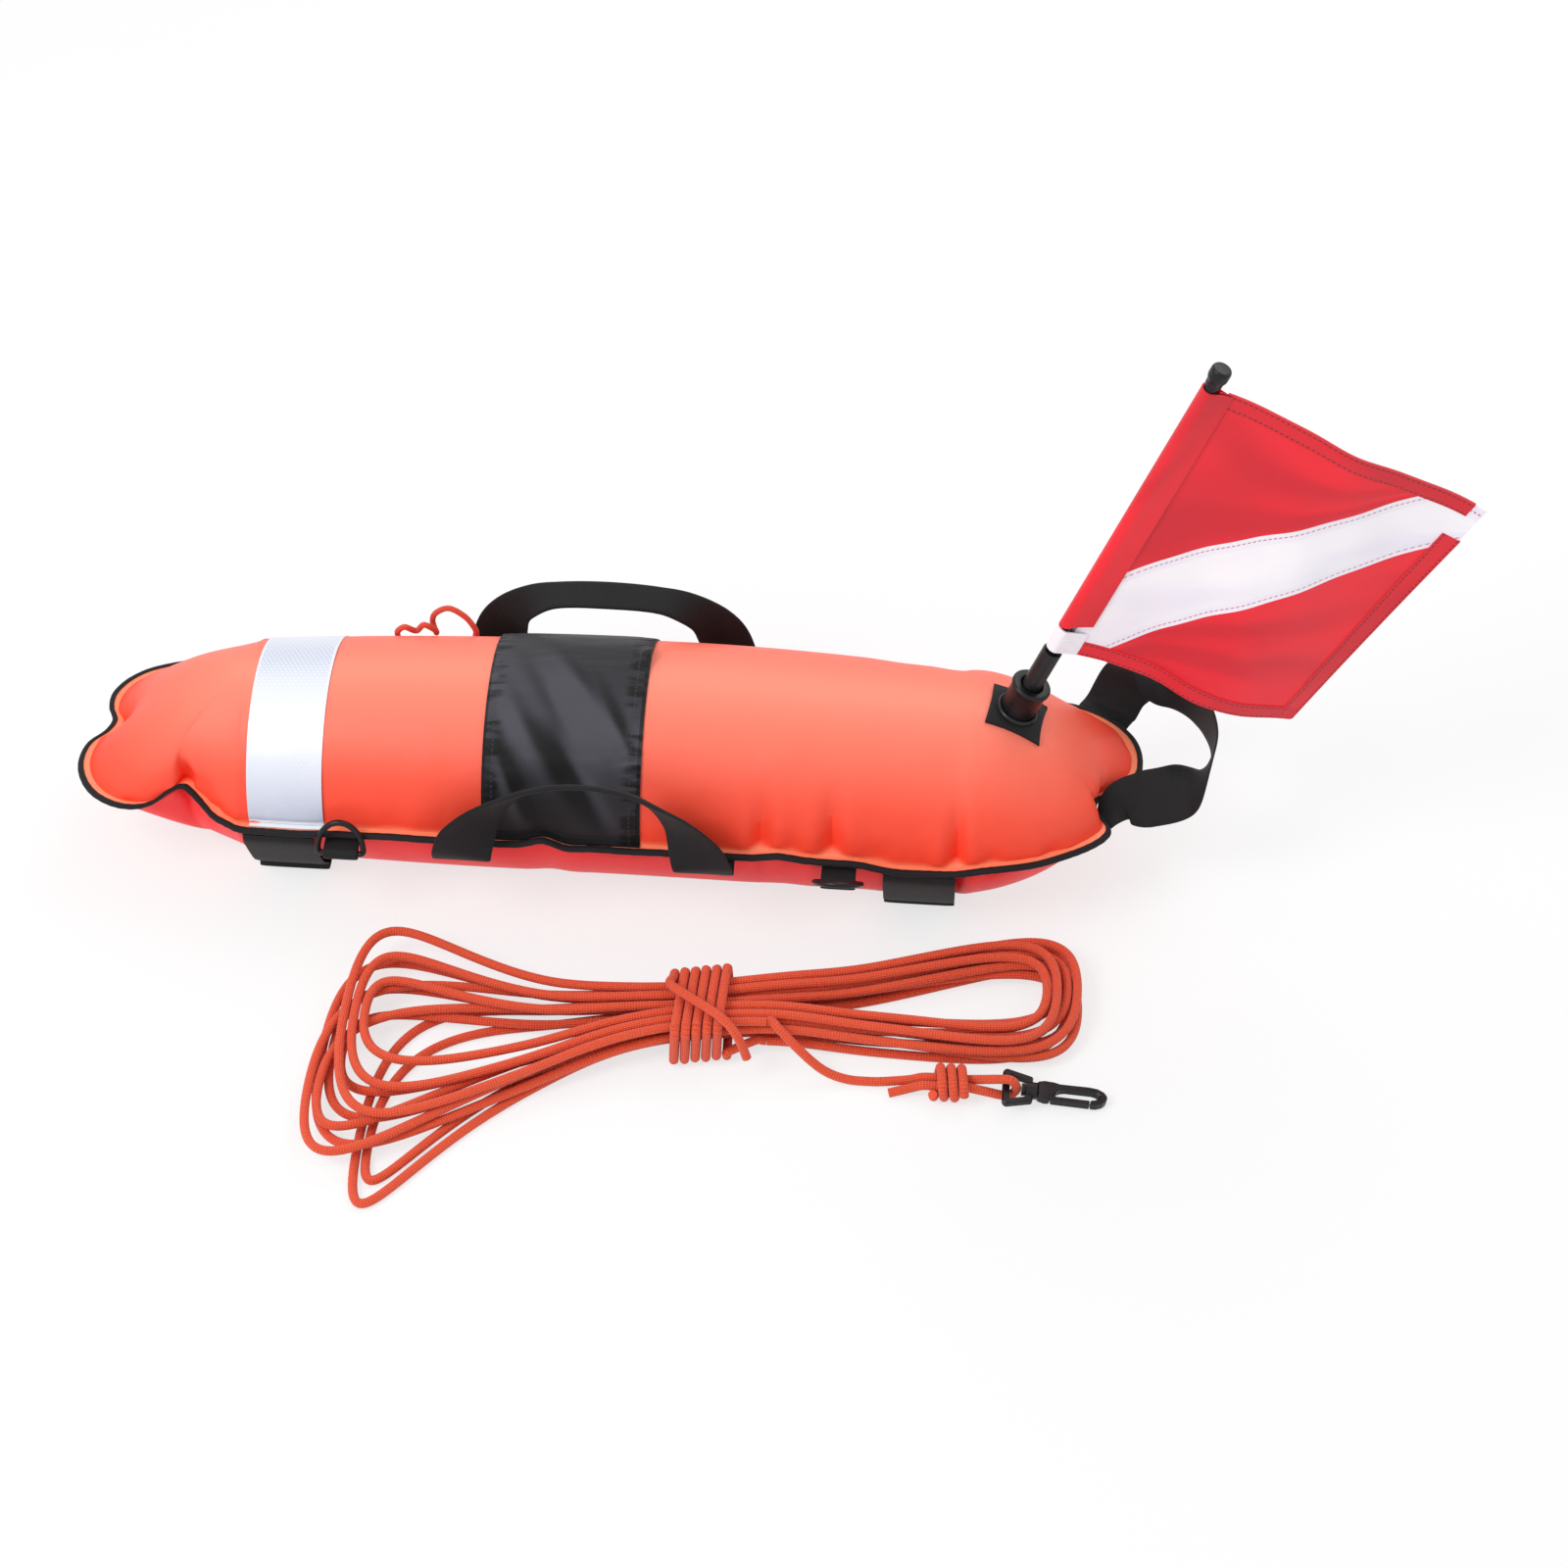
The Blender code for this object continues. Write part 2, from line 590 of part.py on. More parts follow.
def skin_rise(weld, spine, inset, angle):
    """Plan of the skin at a rise angle over the weld, and its share of the whole height there.

    Low down it keeps the weld's notches and higher up it follows a smooth oval. The ends rise from the
    weld less steeply than the round sides.
    """
    away = weld - spine
    distance = np.linalg.norm(away, axis=1)
    way = away / distance[:, None]
    size = (END_OVAL_SHARE * NOSE_END_LENGTH - inset, body_radius(spine[:, 0]) - inset)
    oval = sum((np.abs(way[:, k]) / size[k]) ** END_OVAL_POWER for k in (0, 1)) ** (-1 / END_OVAL_POWER)
    fade = min(max(math.degrees(angle) - NOTCH_KEEP_DEG, 0) / NOTCH_FADE_DEG, 1)
    share = fade * fade * (3 - 2 * fade)
    reach = (distance + (oval - distance) * share) * math.cos(angle)
    power = 1 + (END_RISE_POWER - 1) * np.abs(way[:, 0]) ** END_TURN_POWER
    return spine + way * reach[:, None], math.sin(angle) ** power


def sheet_points(side, inset):
    """Rings of one sheet from the flange's edge up to the crest line; side is 1 for the upper sheet."""
    outer, spine, _ = edge_ring()
    seam_z = seam_height(outer[:, 0], outer[:, 1]) + side * (GAP / 2 + SHEET - inset)
    weld = moved_in(outer, spine, EDGE_OUT + inset)
    radius = body_radius(spine[:, 0])
    top = radius - FLAT_DEPTH + side * (radius - inset)
    rings = [np.column_stack([moved_in(outer, spine, BINDING_PROUD), seam_z])]
    last = math.radians(90 - 90 / SKIN_ROWS if side > 0 else FLAT_DEG)
    for row in range(SKIN_ROWS):
        angle = last * row / (SKIN_ROWS - 1)
        plan, share = skin_rise(weld, spine, inset, angle)
        rings.append(np.column_stack([plan, seam_z + (top - seam_z) * share]))
    along = stations()
    crest_radius = body_radius(along)
    crest_z = crest_radius - FLAT_DEPTH + side * (crest_radius - inset)
    points = np.concatenate(rings + [np.column_stack([along, 0 * along, crest_z])])
    if side < 0:
        points[:, 2] = np.maximum(points[:, 2], belly_floor(points[:, 0]) + inset)
    return points


def sheet(name, side, look):
    """One of the two sheets, as a thin shell that is open at its flange."""
    outer, _, crest = edge_ring()
    count, rows = len(outer), SKIN_ROWS + 1
    skins = [sheet_points(side, 0), sheet_points(side, SHEET)]
    size = len(skins[0])
    faces = []
    for base in (0, size):
        for row in range(rows - 1):
            for k in range(count):
                after = (k + 1) % count
                low, high = base + row * count, base + (row + 1) * count
                faces.append((low + k, low + after, high + after, high + k))
        low, top = base + (rows - 1) * count, base + rows * count
        for k in range(count):
            after = (k + 1) % count
            ends = dict.fromkeys((low + k, low + after, top + crest[after], top + crest[k]))
            faces.append(tuple(ends))
    faces += [(k, (k + 1) % count, size + (k + 1) % count, size + k) for k in range(count)]
    return add_mesh(name, np.concatenate(skins), faces, look, 50.0)


def binding(look):
    """Folded tape round the flange's edge: a channel section carried round the outline."""
    outer, spine, _ = edge_ring()
    height = seam_height(outer[:, 0], outer[:, 1])
    slot = GAP / 2 + SHEET + GAP
    cover = slot + TAPE
    section = [
        (0, -cover), (0, cover), (BINDING_LAP, cover), (BINDING_LAP, slot),
        (BINDING_PROUD - GAP, slot), (BINDING_PROUD - GAP, -slot), (BINDING_LAP, -slot),
        (BINDING_LAP, -cover),
    ]
    rings = [np.column_stack([moved_in(outer, spine, depth), height + rise]) for depth, rise in section]
    points = np.stack(rings, axis=1).reshape(-1, 3)
    return add_mesh("seam_binding", points, ring_faces(len(outer), len(section), closed=True), look)


def band(name, middle, width, look):
    """A band of cloth over the upper sheet, from one weld to the other."""
    columns = np.linspace(middle - width / 2, middle + width / 2, BAND_COLUMNS)
    row_deg = 90 / SKIN_ROWS
    inner = np.arange(row_deg, 180 - row_deg / 2, row_deg / 2)
    angles = np.radians(np.concatenate([[BAND_FOOT_DEG], inner, [180 - BAND_FOOT_DEG]]))
    x, angle = np.meshgrid(columns, angles, indexing="ij")
    skins = []
    for lift in (GAP, GAP + TAPE):
        radius = body_radius(x) + lift
        weld = np.array([[side_seam(a)] for a in columns]) + GAP / 2 + SHEET
        top = 2 * body_radius(x) - FLAT_DEPTH + lift
        skins.append(np.stack([x, -radius * np.cos(angle), weld + (top - weld) * np.sin(angle)], -1))
    return add_slab(name, skins, look)


def add_slab(name, skins, look):
    """A closed slab between two grids of points of the same size."""
    across, along, _ = skins[0].shape
    size = across * along
    faces = []
    for base in (0, size):
        faces += [
            (base + i * along + j, base + i * along + j + 1, base + (i + 1) * along + j + 1,
             base + (i + 1) * along + j)
            for i in range(across - 1) for j in range(along - 1)
        ]
    rim = list(range(along)) + [i * along + along - 1 for i in range(1, across)]
    rim += [(across - 1) * along + j for j in range(along - 2, -1, -1)]
    rim += [i * along for i in range(across - 2, 0, -1)]
    faces += [(a, b, b + size, a + size) for a, b in zip(rim, rim[1:] + rim[:1])]
    return add_mesh(name, np.concatenate([s.reshape(-1, 3) for s in skins]), faces, look, 50.0)


def skin_height(x, y):
    """Height of the upper sheet over the nose end, found along the ray from the end's middle."""
    end = NOSE_REACH - NOSE_END_LENGTH
    outer, spine, _ = edge_ring()
    weld = moved_in(outer, spine, EDGE_OUT)
    keep = weld[:, 0] > end
    turn = np.arctan2(weld[keep, 1], weld[keep, 0] - end)
    ahead = np.arctan2(y, x - end).ravel()
    reach = np.interp(ahead, turn, np.hypot(weld[keep, 0] - end, weld[keep, 1]))
    core = np.tile((end, 0.0), (len(ahead), 1))
    rim = core + np.column_stack([np.cos(ahead), np.sin(ahead)]) * reach[:, None]
    rows = [skin_rise(rim, core, 0, angle) for angle in np.linspace(math.pi / 2, 0, RISE_STEPS)]
    away = np.array([np.hypot(*(plan - core).T) for plan, _ in rows])
    rise = np.array([share for _, share in rows])
    wanted = np.hypot(x - end, y).ravel()
    share = np.array([np.interp(d, away[:, k], rise[:, k]) for k, d in enumerate(wanted)])
    weld_z = NOSE_RADIUS - FLAT_DEPTH + GAP / 2 + SHEET
    return weld_z + (2 * NOSE_RADIUS - FLAT_DEPTH - weld_z) * share.reshape(x.shape)


def pole_turn():
    """Turn that leans the pole towards the nose."""
    return Matrix.Rotation(math.radians(POLE_LEAN_DEG), 4, "Y")


def pole_foot():
    """Where the pole's axis meets the top of the patch."""
    return Vector((POLE_X, 0, patch_top()))


def patch_grid():
    """Plan of the patch's underside, turned a little as it was sewn."""
    share = np.linspace(-1, 1, PATCH_COLUMNS)
    u, v = np.meshgrid(share * PATCH_SIDE / 2, share * PATCH_SIDE / 2, indexing="ij")
    turn = math.radians(PATCH_TURN_DEG)
    return u * math.cos(turn) - v * math.sin(turn), u * math.sin(turn) + v * math.cos(turn)


def patch_top():
    """Height of the patch's flat top on the pole's axis: just clear of the sheet all over its underside."""
    x, y = patch_grid()
    rise = skin_height(POLE_X + x, y) + math.tan(math.radians(POLE_LEAN_DEG)) * x
    return float(rise.max()) + PATCH_CLEARANCE + PATCH_THICKNESS


def patch(look):
    """Square patch: its underside follows the sheet and its top is square to the pole."""
    x, y = patch_grid()
    top = patch_top() - math.tan(math.radians(POLE_LEAN_DEG)) * x
    under = skin_height(POLE_X + x, y) + PATCH_CLEARANCE
    skins = [np.stack([POLE_X + x, y, height], -1) for height in (under, top)]
    return add_slab("socket_patch", skins, look)


def socket(look_flange, look_cup):
    """Round flange on the patch and the cup that the pole stands in."""
    carrier = pivot("socket_place", pole_foot(), pole_turn())
    neck = SOCKET_DIAMETER / 2
    bore = FERRULE_DIAMETER / 2 + SOCKET_RUN
    flange_profile = [
        (neck + GAP, GAP), (SOCKET_FLANGE_DIAMETER / 2, GAP),
        (SOCKET_FLANGE_DIAMETER / 2, SOCKET_FLANGE_THICKNESS / 2),
        (SOCKET_FLANGE_DIAMETER / 2 - SOCKET_FLANGE_THICKNESS / 2, SOCKET_FLANGE_THICKNESS),
        (neck + GAP, SOCKET_FLANGE_THICKNESS),
    ]
    flange = turned("socket_flange", flange_profile, LARGE_SIDES, look_flange)
    top, lip = SOCKET_HEIGHT, SOCKET_LIP
    cup_profile = [
        (0, GAP), (neck, GAP), (neck, top - 3 * lip), (neck + lip, top - 2 * lip), (neck + lip, top - lip),
        (neck, top), (bore + lip, top), (bore, top - lip), (bore, SOCKET_FLOOR), (0, SOCKET_FLOOR),
    ]
    cup = turned("socket_cup", cup_profile, LARGE_SIDES, look_cup)
    for item in (flange, cup):
        attach(item, carrier, keep_world=False)


def pole(look_pole, look_ferrule, look_cap):
    """Pole with the ferrule that seats in the socket, and the knob on its top."""
    carrier = pivot("pole_place", pole_foot(), pole_turn())
    low = SOCKET_FLOOR + GAP
    rod = POLE_DIAMETER / 2
    sleeve = FERRULE_DIAMETER / 2
    ferrule_profile = [
        (0, low), (sleeve - SOCKET_LIP, low), (sleeve, low + SOCKET_LIP), (sleeve, low + FERRULE_LENGTH),
        (rod + GAP, low + FERRULE_LENGTH), (rod + GAP, low + SHEET), (0, low + SHEET),
    ]
    ferrule = turned("pole_ferrule", ferrule_profile, ROUND_SIDES, look_ferrule)
    top = low + SHEET + GAP + POLE_LENGTH
    rod_profile = [(0, low + SHEET + GAP), (rod, low + SHEET + GAP), (rod, top), (0, top)]
    shaft = turned("flag_pole", rod_profile, ROUND_SIDES, look_pole)
    knob = CAP_DIAMETER / 2
    cap_low = top - CAP_SKIRT
    cap_profile = [(0, top + GAP), (rod + GAP, top + GAP), (rod + GAP, cap_low)]
    cap_profile += [(knob * across, cap_low + CAP_HEIGHT * up) for across, up in CAP_SHARES]
    cap_profile += [(0, cap_low + CAP_HEIGHT)]
    cap = turned("pole_cap", cap_profile, ROUND_SIDES, look_cap)
    for item in (ferrule, shaft, cap):
        attach(item, carrier, keep_world=False)


def flag_ends():
    """Heights along the pole of the flag's lower and upper edge."""
    cap_low = SOCKET_FLOOR + 2 * GAP + SHEET + POLE_LENGTH - CAP_SKIRT
    return cap_low - FLAG_TOP_BELOW_CAP - FLAG_HOIST, cap_low - FLAG_TOP_BELOW_CAP


def flag_place(fly, hoist):
    """Points of the flag in the pole's space, for shares of its fly and of its hoist from below."""
    low, _ = flag_ends()
    start = POLE_DIAMETER / 2 + FLAG_SLEEVE_RUN + FLAG_SLEEVE_WALL + GAP
    reach = FLAG_FLY * (FLAG_LOWER_REACH_SHARE + (FLAG_UPPER_REACH_SHARE - FLAG_LOWER_REACH_SHARE) * hoist)
    rise = FLAG_RISE * (1 - hoist) - FLAG_DROOP * hoist
    wave = np.sin(2 * math.pi * (FLAG_WAVES * fly + FLAG_WAVE_LEAN_SHARE * hoist)) * np.sqrt(fly)
    across = FLAG_WAVE * wave * (FLAG_LOWER_WAVE_SHARE + (1 - FLAG_LOWER_WAVE_SHARE) * hoist)
    height = low + FLAG_HOIST * hoist + rise * fly**FLAG_BEND_POWER
    return np.stack([start + reach * fly, across, height], -1)


def stripe_low(fly):
    """Lower edge of the stripe over the fly, as a share of the hoist."""
    start = STRIPE_LOW_START_SHARE
    return np.clip((fly - start) * STRIPE_LOW_END_SHARE / (1 - start), 0, 1)


def stripe_high(fly):
    """Upper edge of the stripe over the fly, as a share of the hoist."""
    start = STRIPE_HIGH_START_SHARE
    return np.clip(start + fly * (1 - start) / STRIPE_HIGH_END_SHARE, 0, 1)


def flag_cloth(name, fly, low, high, look):
    """One cloth of the flag: its lower and upper edges are shares of the hoist at places along the fly."""
    row = np.linspace(0, 1, FLAG_ROWS + 1)
    fly, row = np.meshgrid(fly, row, indexing="ij")
    hoist = low[:, None] + (high - low)[:, None] * row
    middle = flag_place(fly, hoist)
    offset = np.zeros_like(middle)
    offset[..., 1] = FLAG_CLOTH / 2
    return add_slab(name, [middle - offset, middle + offset], look)


def flag(look_red, look_white):
    """Sleeve round the pole, two red cloths and the white stripe between them."""
    turn = pole_turn() @ Matrix.Rotation(math.radians(FLAG_TURN_DEG), 4, "Z")
    carrier = pivot("flag_place", pole_foot(), turn)
    bore = POLE_DIAMETER / 2 + FLAG_SLEEVE_RUN
    wall = bore + FLAG_SLEEVE_WALL
    low, high = flag_ends()
    split = low + FLAG_WHITE_END
    red_profile = [(bore, split + GAP), (wall, split + GAP), (wall, high), (bore, high)]
    red = turned("flag_sleeve", red_profile, SMALL_SIDES, look_red)
    end_low = low - FLAG_END_BELOW
    white_profile = [(bore, end_low), (wall, end_low), (wall, split), (bore, split)]
    white = turned("flag_sleeve_end", white_profile, SMALL_SIDES, look_white)
    seam = 2 * GAP / FLAG_HOIST
    whole = np.linspace(0, 1, FLAG_COLUMNS + 1)
    upper = np.linspace(0, STRIPE_HIGH_END_SHARE - STRIPE_TIP_SHARE, FLAG_COLUMNS - 1)
    lower = np.linspace(STRIPE_LOW_START_SHARE + STRIPE_TIP_SHARE, 1, FLAG_COLUMNS - 1)
    cloths = [
        flag_cloth("flag_stripe", whole, stripe_low(whole), stripe_high(whole), look_white),
        flag_cloth("flag_upper_cloth", upper, stripe_high(upper) + seam, 0 * upper + 1, look_red),
        flag_cloth("flag_lower_cloth", lower, 0 * lower, stripe_low(lower) - seam, look_red),
    ]
    for item in [red, white] + cloths:
        attach(item, carrier, keep_world=False)


# Webbing: handles, rings in their tabs, and belly straps

def hinge_line():
    """Where a side handle leaves its feet: distance out and height of the webbing's middle."""
    feet = [HANDLE_X - HANDLE_SPAN / 2, HANDLE_X + HANDLE_SPAN / 2]
    out = max(float(body_radius(x)) for x in feet) + EDGE_OUT + HANDLE_HINGE_OUT
    return out, min(binding_under(x, HANDLE_FOOT_WIDTH) for x in feet) - GAP - WEBBING / 2


def handle(name, side, rise, grip_way, look):
    """A side handle: two feet under the binding, and the loop that folds to a narrow grip."""
    out, height = hinge_line()
    for label, x in (("aft", HANDLE_X - HANDLE_SPAN / 2), ("fore", HANDLE_X + HANDLE_SPAN / 2)):
        inner = float(body_radius(x + HANDLE_FOOT_WIDTH / 2)) + EDGE_OUT - BINDING_LAP
        under = binding_under(x, HANDLE_FOOT_WIDTH) - GAP - WEBBING / 2
        lap = [(inner, under), (inner + BINDING_LAP / 2, under), (out - WEBBING / 2, height), (out, height)]
        lap = [(x, side * away, up) for away, up in lap]
        count = len(lap)
        strip(f"{name}_foot_{label}", lap, np.tile((1.0, 0, 0), (count, 1)), [HANDLE_FOOT_WIDTH] * count,
              [WEBBING] * count, look)
    path = np.array(HANDLE_PATH_SHARES)
    ways = np.array(HANDLE_WIDTH_SHARES)
    ways[-2:] = grip_way
    table = np.column_stack([path, ways])
    mirrored = table[-2::-1] * (-1, 1, 1, 1, -1, 1, 1)
    table = through_points(np.concatenate([table, mirrored]), HANDLE_STEPS)
    centres = np.column_stack([
        HANDLE_X + table[:, 0] * HANDLE_SPAN / 2, side * (out + GAP + table[:, 1] * HANDLE_OUTREACH),
        height + table[:, 2] * rise,
    ])
    narrow = np.clip(table[:, 3], 0, 1)
    widths = HANDLE_FOOT_WIDTH + (HANDLE_GRIP_WIDTH - HANDLE_FOOT_WIDTH) * narrow
    thick = WEBBING + (HANDLE_GRIP_THICKNESS - WEBBING) * narrow
    facing = ((0, side, 0), (0, -side, 0))
    loop = strip(f"{name}_loop", centres, table[:, 4:] * (1, side, 1), widths, thick, look, facing)
    attach(loop, pivot(f"{name}_hinge", (HANDLE_X, side * (out + GAP / 2), height - WEBBING / 2)))


def nose_foot(share):
    """Edge place, outward way and height for a foot of the nose handle."""
    outer, spine, _ = edge_ring()
    size = NOSE_END_LENGTH, NOSE_RADIUS + EDGE_OUT
    place = np.array([NOSE_REACH - NOSE_END_LENGTH, 0]) + np.array(share) * size
    near = int(np.argmin(np.hypot(*(outer - place).T)))
    along = outer[near + 1] - outer[near - 1]
    way = np.array([along[1], -along[0]]) / np.linalg.norm(along)
    seam = seam_height(outer[near - 1:near + 2, 0], outer[near - 1:near + 2, 1]).min()
    return outer[near], way, float(seam) - GAP / 2 - SHEET - GAP - TAPE - GAP - WEBBING / 2


def nose_handle(look):
    """The nose handle: two feet under the binding and a twisted loop, gathered at its near foot."""
    ends = []
    shares, wide = (NOSE_FOOT_NEAR_SHARE, NOSE_FOOT_FAR_SHARE), (NOSE_GATHERED_WIDTH, NOSE_HANDLE_WIDTH)
    for label, share, width in zip(("near", "far"), shares, wide):
        edge, way, height = nose_foot(share)
        lap = [np.append(edge + way * step, height) for step in (-BINDING_LAP, 0, HANDLE_HINGE_OUT)]
        across = np.array([-way[1], way[0], 0.0])
        strip(f"nose_handle_foot_{label}", lap, np.tile(across, (3, 1)), [width] * 3, [WEBBING] * 3, look)
        start = np.append(edge + way * (HANDLE_HINGE_OUT + GAP), height)
        ends.append((start, np.append(way, 0), across))
    (near, near_way, near_across), (far, far_way, far_across) = ends
    lead = NOSE_HANDLE_LEAD
    size = NOSE_LOOP_REACH, NOSE_LOOP_SPAN, NOSE_LOOP_HEIGHT
    route = np.array(NOSE_ROUTE_SHARES) * size + (NOSE_REACH, 0, 0)
    centres = [near, near + near_way * lead, *route, far + far_way * lead, far]
    ways = [near_across, near_across, *NOSE_WIDTH_WAYS, far_across, far_across]
    widths = [NOSE_GATHERED_WIDTH] * 2 + [NOSE_HANDLE_WIDTH] * (len(route) + 2)
    table = through_points(np.column_stack([np.array(centres), np.array(ways), widths]), NOSE_HANDLE_STEPS)
    strip("nose_handle_loop", table[:, :3], table[:, 3:6], np.minimum(table[:, 6], NOSE_HANDLE_WIDTH),
          [WEBBING] * len(table), look, (near_way, -far_way))


def ring_place(x):
    """Distance out and height of a ring's bar, and of the inner end of its tab."""
    edge = float(body_radius(x)) + EDGE_OUT
    return edge + TAB_BAR_OUT, binding_under(x, TAB_WIDTH) - GAP - tab_radius(), edge - TAB_LAP


def tab_radius():
    """Outer radius of a tab round its ring's bar."""
    return RING_ROD / 2 + TAB_BORE_CLEARANCE + TAB_PLY


def ring_tab(name, x, side, look):
    """Webbing folded round a ring's bar, its two plies sewn under the binding."""
    out, height, inner = ring_place(x)
    bore, outer = RING_ROD / 2 + TAB_BORE_CLEARANCE, tab_radius()
    turn = [math.pi / 2 - math.pi * k / 8 for k in range(9)]
    profile = [(inner, height - 2 * TAB_PLY + outer), (inner, height + outer)]
    profile += [(out + outer * math.cos(a), height + outer * math.sin(a)) for a in turn]
    neck = out - outer
    profile += [(neck, height - 2 * TAB_PLY + outer)]
    tab = prism(name, [(side * p[0], p[1]) for p in profile], -TAB_WIDTH / 2, TAB_WIDTH / 2, look)
    hole = [(side * (out + bore * math.cos(a)), height + bore * math.sin(a))
            for a in (2 * math.pi * k / BORE_SIDES for k in range(BORE_SIDES))]
    reach = TAB_WIDTH / 2 + CUTTER_OVERRUN
    combine(tab, prism("bore_cutter", hole, -reach, reach, look), "DIFFERENCE")
    tab.data.transform(Matrix(((0, 0, 1, x), (1, 0, 0, 0), (0, 1, 0, 0), (0, 0, 0, 1))))
    return tab


def ring(name, x, side, turn_deg, look):
    """A D-ring: its straight bar in the tab, turned up or down from straight out."""
    out, height, _ = ring_place(x)
    half, corner = (RING_INNER_WIDTH + RING_ROD) / 2, RING_ROD * RING_CORNER_SHARE
    angles = [math.pi * k / 12 for k in range(13)]
    plan = [(-half + corner, 0), (half - corner, 0)]
    plan += [(half * math.cos(a), corner + (RING_DEPTH - corner) * math.sin(a)) for a in angles]
    turn = math.radians(turn_deg)
    points = [(x + u, side * (out + v * math.cos(turn)), height + v * math.sin(turn)) for u, v in plan]
    made = cord(name, points, RING_ROD, 1, look, cyclic=True)
    attach(made, pivot(f"{name}_hinge", (x, side * out, height)))


def belly_strap(name, x, look):
    """A strap from the seam on one side, down to the floor and up to the seam on the other."""
    radius, seam = float(body_radius(x)), side_seam(x)
    out, top = radius + FLANGE - BINDING_PROUD, binding_under(x, STRAP_WIDTH) - GAP
    half = [(out, top), (out, top - FLANGE)] + [(radius * a, seam * b) for a, b in STRAP_KNEE_SHARES]
    half += [(STRAP_FLAT_HALF, WEBBING / 2), (0, WEBBING / 2)]
    rows = np.array([(x, -out, up) for out, up in half])
    rows = np.concatenate([rows, rows[-2::-1] * (1, -1, 1)])
    rows = through_points(rows, STRAP_STEPS)
    rows[:, 2] = np.maximum(rows[:, 2], WEBBING / 2)
    count = len(rows)
    across = np.tile((1.0, 0, 0), (count, 1))
    return strip(name, rows, across, [STRAP_WIDTH] * count, [WEBBING] * count, look)


def valve(look_patch, look_neck, look_cap):
    """Mouth valve on the far side of the lower sheet: welded patch, neck and push-on cap."""
    radius = float(body_radius(VALVE_X))
    turn = math.radians(VALVE_DEG)
    place = Vector((VALVE_X, radius * math.cos(turn), radius - FLAT_DEPTH + radius * math.sin(turn)))
    lean = Matrix.Rotation(turn - math.pi / 2, 4, "X")
    carrier = pivot("valve_place", place, lean)
    neck, bore = VALVE_NECK_DIAMETER / 2, VALVE_BORE / 2
    rim = VALVE_FLANGE_DIAMETER / 2
    thick = VALVE_FLANGE_THICKNESS
    patch_profile = [(0, GAP), (rim, GAP), (rim, thick / 2), (rim - SHEET, thick), (0, thick)]
    base = thick + GAP
    end = base + VALVE_NECK_HEIGHT
    floor = base + SHEET
    neck_profile = [(0, base), (neck, base), (neck, end), (bore, end), (bore, floor), (0, floor)]
    inner = neck + GAP
    outer = VALVE_CAP_DIAMETER / 2
    roof, cap_low = end + GAP, base + GAP
    top = max(cap_low + VALVE_CAP_HEIGHT, roof + VALVE_CAP_WALL)
    cap_profile = [
        (0, roof), (inner, roof), (inner, cap_low), (outer - SHEET, cap_low), (outer, cap_low + SHEET),
        (outer, top - SHEET), (outer - SHEET, top), (0, top),
    ]
    pieces = [
        turned("valve_patch", patch_profile, ROUND_SIDES, look_patch),
        turned("valve_neck", neck_profile, ROUND_SIDES, look_neck),
        turned("valve_cap", cap_profile, ROUND_SIDES, look_cap),
    ]
    for item in pieces:
        attach(item, carrier, keep_world=False)


# Rope and lanyard

def hank_point(turn):
    """Centre of the rope after a number of turns of the hank.

    The turns spiral in and out between the outer and the inner loop and climb a layer where the spiral
    reverses. Both ends fan out from the waist, and the waist is lifted over the turns that pass under it.
    """
    per_layer = HANK_LOOPS / HANK_LAYERS
    phase = np.mod(turn, 2 * per_layer)
    inward = np.where(phase < per_layer, phase, 2 * per_layer - phase)
    off = ROPE_STEP * (per_layer + HANK_OFF_SHARE - inward)
    climbs = per_layer * np.arange(1, HANK_LAYERS)
    step = np.clip((turn[:, None] - climbs) / (2 * CLIMB_TURNS_SHARE) + 0.5, 0, 1)
    layer = (step * step * (3 - 2 * step)).sum(axis=1)
    along, side = np.sin(2 * math.pi * turn), -np.cos(2 * math.pi * turn)
    side *= (1 + HANK_ROUND_SHARE) / (np.abs(side) + HANK_ROUND_SHARE)
    square = along**2
    left = along < 0
    fan = np.where(left, HANK_LEFT_FAN, HANK_RIGHT_FAN)
    opening = np.where(left, HANK_LEFT_OPENING, HANK_RIGHT_OPENING)
    spread = off * (1 + (fan - 1) * square) + opening * square
    layers = np.arange(HANK_LAYERS)
    rows = (HANK_LEFT_SPREADS, HANK_RIGHT_SPREADS, HANK_LEFT_REACHES, HANK_RIGHT_REACHES)
    left_shift, right_shift, left_reach, right_reach = (np.interp(layer, layers, row) for row in rows)
    bend = np.abs(along) ** 3
    x = HANK_WAIST[0] + along * (HANK_HALF_LENGTH + off) + np.where(left, left_reach, right_reach) * bend
    y = hank_centre(along) + np.where(left, left_shift, right_shift) * bend + side * spread
    lift = HANK_LIFT * np.exp(-((along / HANK_LIFT_REACH_SHARE) ** 4))
    return np.stack([x, y, LIE_HEIGHT + layer * ROPE_STEP + lift], axis=1)


def hank_centre(along):
    """Middle line of the hank in plan."""
    return HANK_WAIST[1] + HANK_CENTRE_TILT * along - HANK_CENTRE_BOW * along**2


def waist_middle(x):
    """Middle line of the hank near its waist, over X."""
    return hank_centre((x - HANK_WAIST[0]) / HANK_HALF_LENGTH)


def knot_middle(x):
    """Middle line of the knot: straight along X."""
    return KNOT_Y + 0 * x


